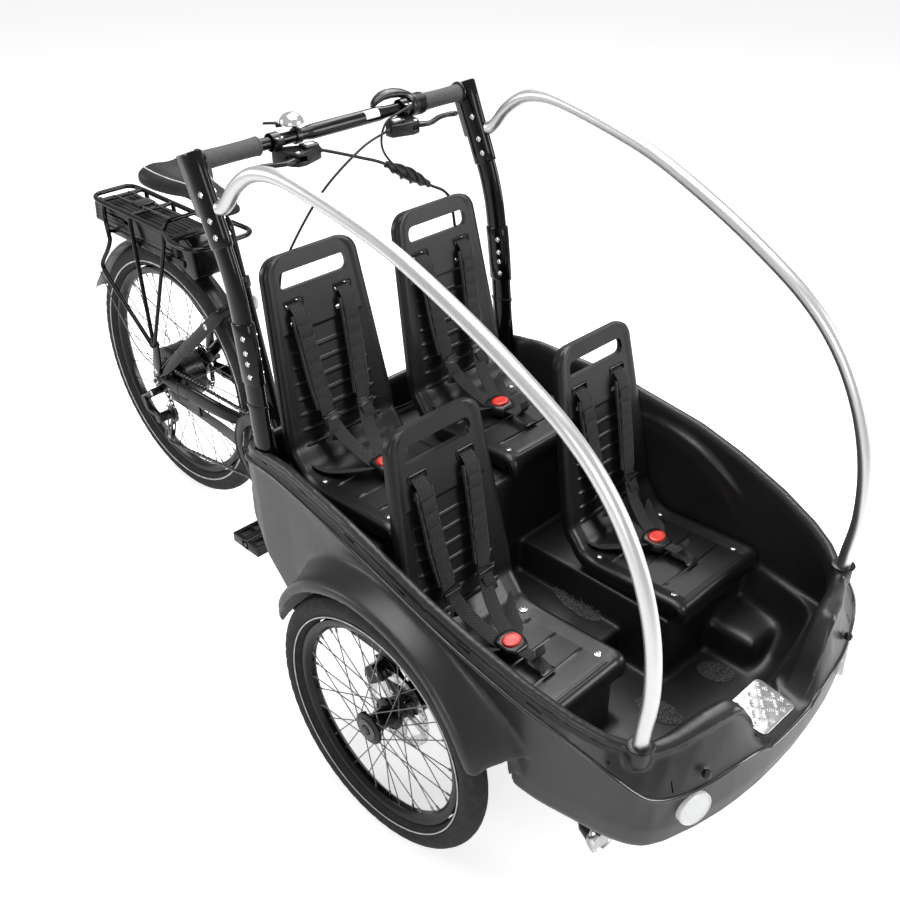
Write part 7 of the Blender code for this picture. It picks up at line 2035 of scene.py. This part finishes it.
def rackRod(points, radius, name, steps=8, sides=16):
    return smooth(painted(piped(flowing([at(*p) for p in points], steps), radius, sides, name), "paint"), 50)


halfDeck = [(-1.4060, 0.030), (-1.4000, 0.050), (-1.3850, 0.0600), (-1.3000, 0.0600), (-1.2000, 0.0600),
            (-1.1250, 0.0600), (-1.0980, 0.0640),
            (-1.0600, 0.0780), (-1.0350, 0.0850), (-0.9900, 0.0870), (-0.9660, 0.0820), (-0.9530, 0.0680),
            (-0.9490, 0.0450)]
right = [(x, -y, deckZ) for x, y in halfDeck[1:]]
left = [(x, y, deckZ) for x, y in reversed(halfDeck[1:])]
parts = [rackRod(right + left, 0.0060, "deckLoop", 6)]
tail = [(-1.3760, -0.060, deckZ + 0.0003), (-1.3950, -0.0598, 0.7675), (-1.4160, -0.0540, 0.7693),
        (-1.4270, -0.0400, 0.7708), (-1.4285, -0.0200, 0.771)]
parts.append(rackRod(tail + [(x, -y, z) for x, y, z in reversed(tail)], 0.0056, "tailLoop"))
for x, half, r in ((-1.385, 0.058, 0.0050), (-1.250, 0.058, 0.0050), (-1.040, 0.090, 0.0050)):
    parts.append(rackRod([(x, -half, deckZ), (x, 0, deckZ), (x, half, deckZ)], r, "crossBar", 4))
parts.append(rackRod([(-1.105, -0.060, deckZ), (-1.1035, -0.054, 0.779), (-1.102, -0.044, 0.7885),
                      (-1.102, 0, 0.7890), (-1.102, 0.044, 0.7885),
                   (-1.1035, 0.054, 0.779), (-1.105, 0.060, deckZ)], 0.0050, "raisedBar", 5))
for y in (-0.020, 0.020):
    parts.append(smooth(painted(piped(flowing([at(-1.3850, y, deckZ + 0.0050), at(-1.36, y, deckZ + 0.0080),
                                               at(-1.32, y * 0.9, deckZ + 0.0080),
                                               at(-1.26, y * 0.8, deckZ + 0.0075), at(-1.16, y * 0.7,
                                                   deckZ + 0.0078), at(-1.125, y * 0.6, deckZ + 0.0090),
                                               at(-1.112, 0.0, deckZ + 0.0095)], 8), 0.0021, 10,
                                               "springWire"), "dark"), 50))
clip = boxed(at(-1.300, -0.022, deckZ + 0.0035), at(-1.262, 0.022, deckZ + 0.0120), "clipBlock")
parts.append(painted(bevelled(clip, 0.0022, 3), "part"))
parts.append(rackRod([(-1.352, -0.045, 0.690), (-1.352, 0, 0.690), (-1.352, 0.045, 0.690)], 0.0040, "lowBar",
                     3))
parts.append(rackRod([(-1.352, 0, 0.690), (-1.352, 0, 0.680), (-1.352, 0, 0.6695)], 0.0040, "guardStub", 3))
for side in (-1, 1):
    legs = [
        [(-1.369, 0.060, deckZ), (-1.369, 0.0612, 0.748), (-1.3640, 0.0650, 0.726), (-1.3440, 0.0728, 0.698),
         (-1.3390, 0.0755, 0.682),
         (-1.3560, 0.0780, 0.652), (-1.3840, 0.0798, 0.617), (-1.3860, 0.0806, 0.598),
         (-1.3500, 0.0825, 0.566)],
        [(-1.250, 0.060, deckZ), (-1.250, 0.0608, 0.752), (-1.2465, 0.0625, 0.728)],
        [(-1.108, 0.060, deckZ), (-1.108, 0.0608, 0.748), (-1.1100, 0.0630, 0.722)],
    ]
    for i, leg in enumerate(legs):
        end = (-1.188 + 0.004 * i, 0.086, 0.448 + 0.004 * i)
        last = leg[-1]
        more = [tuple(last[k] + (end[k] - last[k]) * t for k in range(3)) for t in (0.33, 0.66)]
        run = [(x, side * y, z) for x, y, z in leg + more + [end]]
        parts.append(rackRod(run, 0.0055 - 0.0003 * i, "rackLeg", 5))
    plate = roundedOutline([(-1.194, 0.465), (-1.172, 0.465), (-1.176, 0.400), (-1.190, 0.362),
                            (-1.210, 0.362), (-1.212, 0.384)][::-1], 0.004, 4)
    foot = slab(plate, at(0, side * 0.0797, 0), *upright, 0.0055, "rackFoot")
    parts.append(painted(bevelled(foot, 0.0010), "paint"))
    parts.append(boltHead(at(-1.200, side * 0.0826, 0.374), (0, side, 0), 0.0052, "footBolt"))
    strip = sideBox(side, (-1.395, 0.0400, 0.688), (-1.050, 0.0515, 0.7050), "batteryRail")
    bevelled(strip, 0.0022, 3)
    parts.append(painted(strip, "part"))
    parts.append(rackRod([(-1.352, side * 0.048, 0.6965), (-1.351, side * 0.060, 0.6998),
                          (-1.350, side * 0.071, 0.7030)], 0.0045, "railArm", 3))
    for x in (-1.245, -1.115):
        pad = sideBox(side, (x - 0.010, 0.0500, 0.689), (x + 0.010, 0.0580, 0.7035), "railPad")
        parts.append(painted(bevelled(pad, 0.0015), "part"))
dockLine = roundedOutline([(-1.074, 0.683), (-1.020, 0.665), (-1.004, 0.676), (-1.017, 0.752),
                           (-1.036, 0.764), (-1.074, 0.756)], 0.006, 6)
dock = slab(dockLine, at(0, 0, 0), *upright, 0.0955, "dockShell")
bevelled(dock, 0.0050, 4, 50)
parts.append(painted(dock, "paint"))
faceLine = roundedBox(0.036, 0.034, 0.010, 6)
frontWay = Vector((0.987, 0, 0.163)).normalized()
facePlate = slab(faceLine, at(-1.0095, 0, 0.716), across, frontWay.cross(across), 0.0016, "dockFace")
parts.append(painted(bevelled(facePlate, 0.0006), "satin"))
for k in range(3):
    drop = 0.0006 * k
    rib = boxed(at(-1.066, -0.040, 0.7595 - drop), at(-1.066 + 0.006, 0.040, 0.7640 - drop), "dockRib")
    rib.data.transform(Matrix.Translation((0.013 * k, 0, drop)))
    parts.append(painted(bevelled(rib, 0.0014, 2), "part"))
braceTop = at(-0.948, 0, deckZ)
parts.append(smooth(painted(piped(flowing([braceTop, at(-0.934, 0, 0.722), at(-0.9240, 0, 0.690),
                                           at(-0.9145, 0, 0.6690)], 6), 0.0054, 16, "brace"), "paint"), 50))
assembled(parts, "rackTubes", "rear_frame", "frame_black", "rack", degrees=45)

caseX = (-1.4390, -1.0745)
caseLine = roundedOutline([(caseX[0], 0.7058), (caseX[1], 0.7058), (caseX[1], 0.7560),
                           (caseX[0] + 0.0060, 0.7560)], 0.007, 5)
case = slab(caseLine, at(0, 0, 0), *upright, 0.1030, "batteryCase")
bevelled(case, 0.0060, 4, 50)
panelled(case, lambda f: abs(f.normal.y) > 0.99 and f.area > 0.008, 0.006, -0.0012)
parts = [painted(case, "part")]
for side in (-1, 1):
    for k in range(4):
        z = 0.7160 + k * 0.0085
        rib = sideBox(side, (-1.425, 0.0494, z), (-1.300, 0.0512, z + 0.0040), "caseRib")
        parts.append(painted(bevelled(rib, 0.0007, 2), "part"))
    label = sideBox(side, (-1.270, 0.0500, 0.7130), (-1.120, 0.05065, 0.7480), "casePanel")
    parts.append(painted(bevelled(label, 0.0003, 1), "satin"))
for k in range(-3, 4):
    rib = boxed(at(-1.395, k * 0.0125 - 0.0028, 0.7545), at(-1.100, k * 0.0125 + 0.0028, 0.7578), "topRib")
    parts.append(painted(bevelled(rib, 0.0013, 2), "part"))
keel = boxed(at(-1.400, -0.0395, 0.6995), at(-1.0745, 0.0395, 0.7200), "keel")
parts.append(painted(bevelled(keel, 0.0012), "part"))
lampBox = boxed(at(-1.4750, -0.030, 0.7085), at(-1.430, 0.030, 0.7420), "tailLamp")
bevelled(lampBox, 0.0080, 4, 40)
parts.append(painted(lampBox, "part"))
lensBox = boxed(at(-1.4765, -0.0245, 0.7135), at(-1.4700, 0.0245, 0.7370), "tailLens")
parts.append(painted(bevelled(lensBox, 0.0025, 3), "tailLens"))
lock = lathed([(0.0, 0.0526), (0.0050, 0.0526), (0.0062, 0.0520), (0.0074, 0.0516), (0.0074, 0.0490),
               (0.0, 0.0490)], at(-1.098, 0, 0.7300), across, 32, "lock")
parts.append(painted(lock, "steel"))
assembled(parts, "batteryBox", "battery", "moulded_black", "battery", degrees=35)

section = [(-0.0292, -0.0122), (-0.0268, -0.0086), (-0.0225, -0.0048), (-0.0165, -0.0020), (-0.0085, -0.0006),
           (0.0, 0.0),
           (0.0085, -0.0006), (0.0165, -0.0020), (0.0225, -0.0048), (0.0268, -0.0086), (0.0292, -0.0122),
           (0.0280, -0.0132),
           (0.0255, -0.0102), (0.0215, -0.0064), (0.0155, -0.0038), (0.0080, -0.0025), (0.0, -0.0020),
           (-0.0080, -0.0025),
           (-0.0155, -0.0038), (-0.0215, -0.0064), (-0.0255, -0.0102), (-0.0280, -0.0132)]
rings = []
for i in range(73):
    share = i / 72
    a = math.radians(8 + 152 * share)
    flare = max(share - 0.86, 0) ** 2 * 1.30
    out = around(1, a)
    taper = 1.0 - max(share - 0.97, 0) * 8 - max(0.03 - share, 0) * 8
    rings.append([rearAxle + across * y * taper + out * (0.3560 + flare + h) for y, h in section])
parts = [painted(objectOf(lofted(rings), "mudguardShell"), "part")]
for side in (-1, 1):
    stayEnd = rearAxle + around(0.351, math.radians(146), side * 0.030)
    stay = [stayEnd, at(-1.420, side * 0.0460, 0.4600), at(-1.300, side * 0.0700, 0.4000),
            at(-1.214, side * 0.0765, 0.3800)]
    parts.append(painted(piped(flowing(stay, 8), 0.0016, 10, "guardStay"), "dark"))
    parts.append(boltHead(stayEnd, (0, side, 0), 0.0030, "stayScrew"))
assembled(parts, "mudguardSet", "rear_frame", "moulded_black", "mudguard", degrees=45)
print("rack, battery and mudguard made")


# Seat post and saddle

foot = seatTop - seatWay * 0.140
straight = seatTop + seatWay * 0.098
neck = [straight, straight + seatWay * 0.014, at(-0.9360, 0, 0.8180), at(-0.9500, 0, 0.8300),
        at(-0.9680, 0, 0.8385), at(-0.9850, 0, 0.8425)]
parts = [painted(piped([foot, seatTop, straight - seatWay * 0.01] + flowing(neck, 6), 0.0134, 32,
                       "postShank"), "satin")]
clampMid = at(-0.985, 0, 0.850)
for dz, r in ((-0.0078, 0.0034), (0.0046, 0.0034)):
    jaw = boxed(clampMid + Vector((-0.020, -0.030, dz - r)), clampMid + Vector((0.020, 0.030, dz + r)), "jaw")
    parts.append(painted(bevelled(jaw, 0.0022, 3), "part"))
for side in (-1, 1):
    cheek = boxed(clampMid + Vector((-0.010, side * 0.0295 - 0.003, -0.012)),
                  clampMid + Vector((0.010, side * 0.0295 + 0.003, 0.009)), "cheek")
    parts.append(painted(bevelled(cheek, 0.0020, 3), "part"))
parts.append(painted(pegged(clampMid + Vector((0, -0.034, -0.001)), clampMid + Vector((0, 0.034, -0.001)),
                            0.0034, 20, "clampBolt"), "steel"))
assembled(parts, "postTube", "seat_post", "frame_black", "seat_post")

saddleStations = [
    (-0.8940, 0.0100, 0.8600, 0.8500), (-0.8980, 0.0170, 0.8670, 0.8460), (-0.9130, 0.0225, 0.8770, 0.8450),
    (-0.9330, 0.0255, 0.8830, 0.8500),
    (-0.9780, 0.0310, 0.8885, 0.8580), (-1.0130, 0.0390, 0.8920, 0.8590), (-1.0400, 0.0500, 0.8960, 0.8590),
    (-1.0630, 0.0650, 0.9010, 0.8600),
    (-1.0930, 0.0810, 0.9090, 0.8640), (-1.1220, 0.0870, 0.9150, 0.8690), (-1.1430, 0.0820, 0.9150, 0.8720),
    (-1.1550, 0.0680, 0.9090, 0.8740),
    (-1.1600, 0.0480, 0.9020, 0.8780),
]
saddleForm = {"square": 0.55, "middle": 0.42, "dip": 0.0110, "crease": 0.70}
shapeLine = flowing([Vector((x, half, top)) for x, half, top, low in saddleStations], 5)
lowLine = flowing([Vector((x, low, 0)) for x, half, top, low in saddleStations], 5)
rings = []
creases = {-1: [], 1: []}
for k, (p, q) in enumerate(zip(shapeLine, lowLine)):
    x, half, top = p
    low = q.y
    share = k / (len(shapeLine) - 1)
    ring = []
    for i in range(44):
        a = 2 * math.pi * i / 44
        c, s = math.cos(a), math.sin(a)
        y = half * math.copysign(abs(c) ** saddleForm["square"], c)
        middle = low + (top - low) * saddleForm["middle"]
        z = middle + (top - middle) * abs(s) ** 0.75 if s > 0 else middle - (middle - low) * abs(s) ** 0.6
        if s > 0:
            dip = math.exp(-(y / (0.16 * half + 0.006)) ** 2)
            z -= dip * (0.0035 * math.sin(math.pi * min(share * 1.15, 1.0)) + saddleForm["dip"] * share ** 4)
            z -= 0.0012 * math.exp(-((abs(y) / half - saddleForm["crease"]) / 0.04) ** 2)
        ring.append(at(x + 0.016 * share ** 6 * math.exp(-(y / 0.028) ** 2), y, z))
    rings.append(ring)
    for side in (-1, 1):
        y = side * half * (saddleForm["crease"] + 0.1 * share)
        c = y / half
        s = math.sqrt(max(1 - abs(c) ** (2 / saddleForm["square"]), 0))
        middle = low + (top - low) * saddleForm["middle"]
        creases[side].append(at(x, y, middle + (top - middle) * s ** 0.75 + 0.0006))
saddlePad = painted(objectOf(lofted(rings), "saddlePad"), "cover")
# A little pressure from inside, as foam has under its cover
rest = [v.co.copy() for v in saddlePad.data.vertices]
cloth = saddlePad.modifiers.new("stuffing", "CLOTH")
cloth.settings.quality = 6
cloth.settings.use_pressure = True
cloth.settings.uniform_pressure_force = 2.5
cloth.settings.effector_weights.gravity = 0
cloth.settings.tension_stiffness = 40
cloth.settings.bending_stiffness = 12
for number in range(1, 13):
    scene.frame_set(number)
only(saddlePad)
bpy.ops.object.modifier_apply(modifier="stuffing")
scene.frame_set(1)
for v, was in zip(saddlePad.data.vertices, rest):
    moved = v.co - was
    if moved.length > 0.0012:
        v.co = was + moved.normalized() * 0.0012
applied(saddlePad, "SUBSURF", levels=1, render_levels=1)
placed(saddlePad, "seat_post", "saddle", "saddle", degrees=60)
parts = []
for side in (-1, 1):
    parts.append(painted(piped(creases[side][4:-3], 0.0015, 8, "piping_%d" % side), "ring"))
    rail = [(-0.928, 0.010, 0.866), (-0.934, 0.012, 0.856), (-0.944, 0.018, 0.8505), (-0.960, 0.022, 0.850),
            (-0.990, 0.022, 0.850),
            (-1.020, 0.022, 0.850), (-1.045, 0.0235, 0.8525), (-1.070, 0.027, 0.860), (-1.100, 0.031, 0.880),
            (-1.120, 0.034, 0.896)]
    parts.append(painted(piped(flowing([at(x, side * y, z) for x, y, z in rail], 5), 0.0035, 14,
                               "rail_%d" % side), "steel"))
assembled(parts, "saddleTrim", "seat_post", "saddle", degrees=50)
print("saddle made")


# What is still shown from the part itself

for node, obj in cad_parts.items():
    painted(obj, nodeFinish.get(node, "part"))
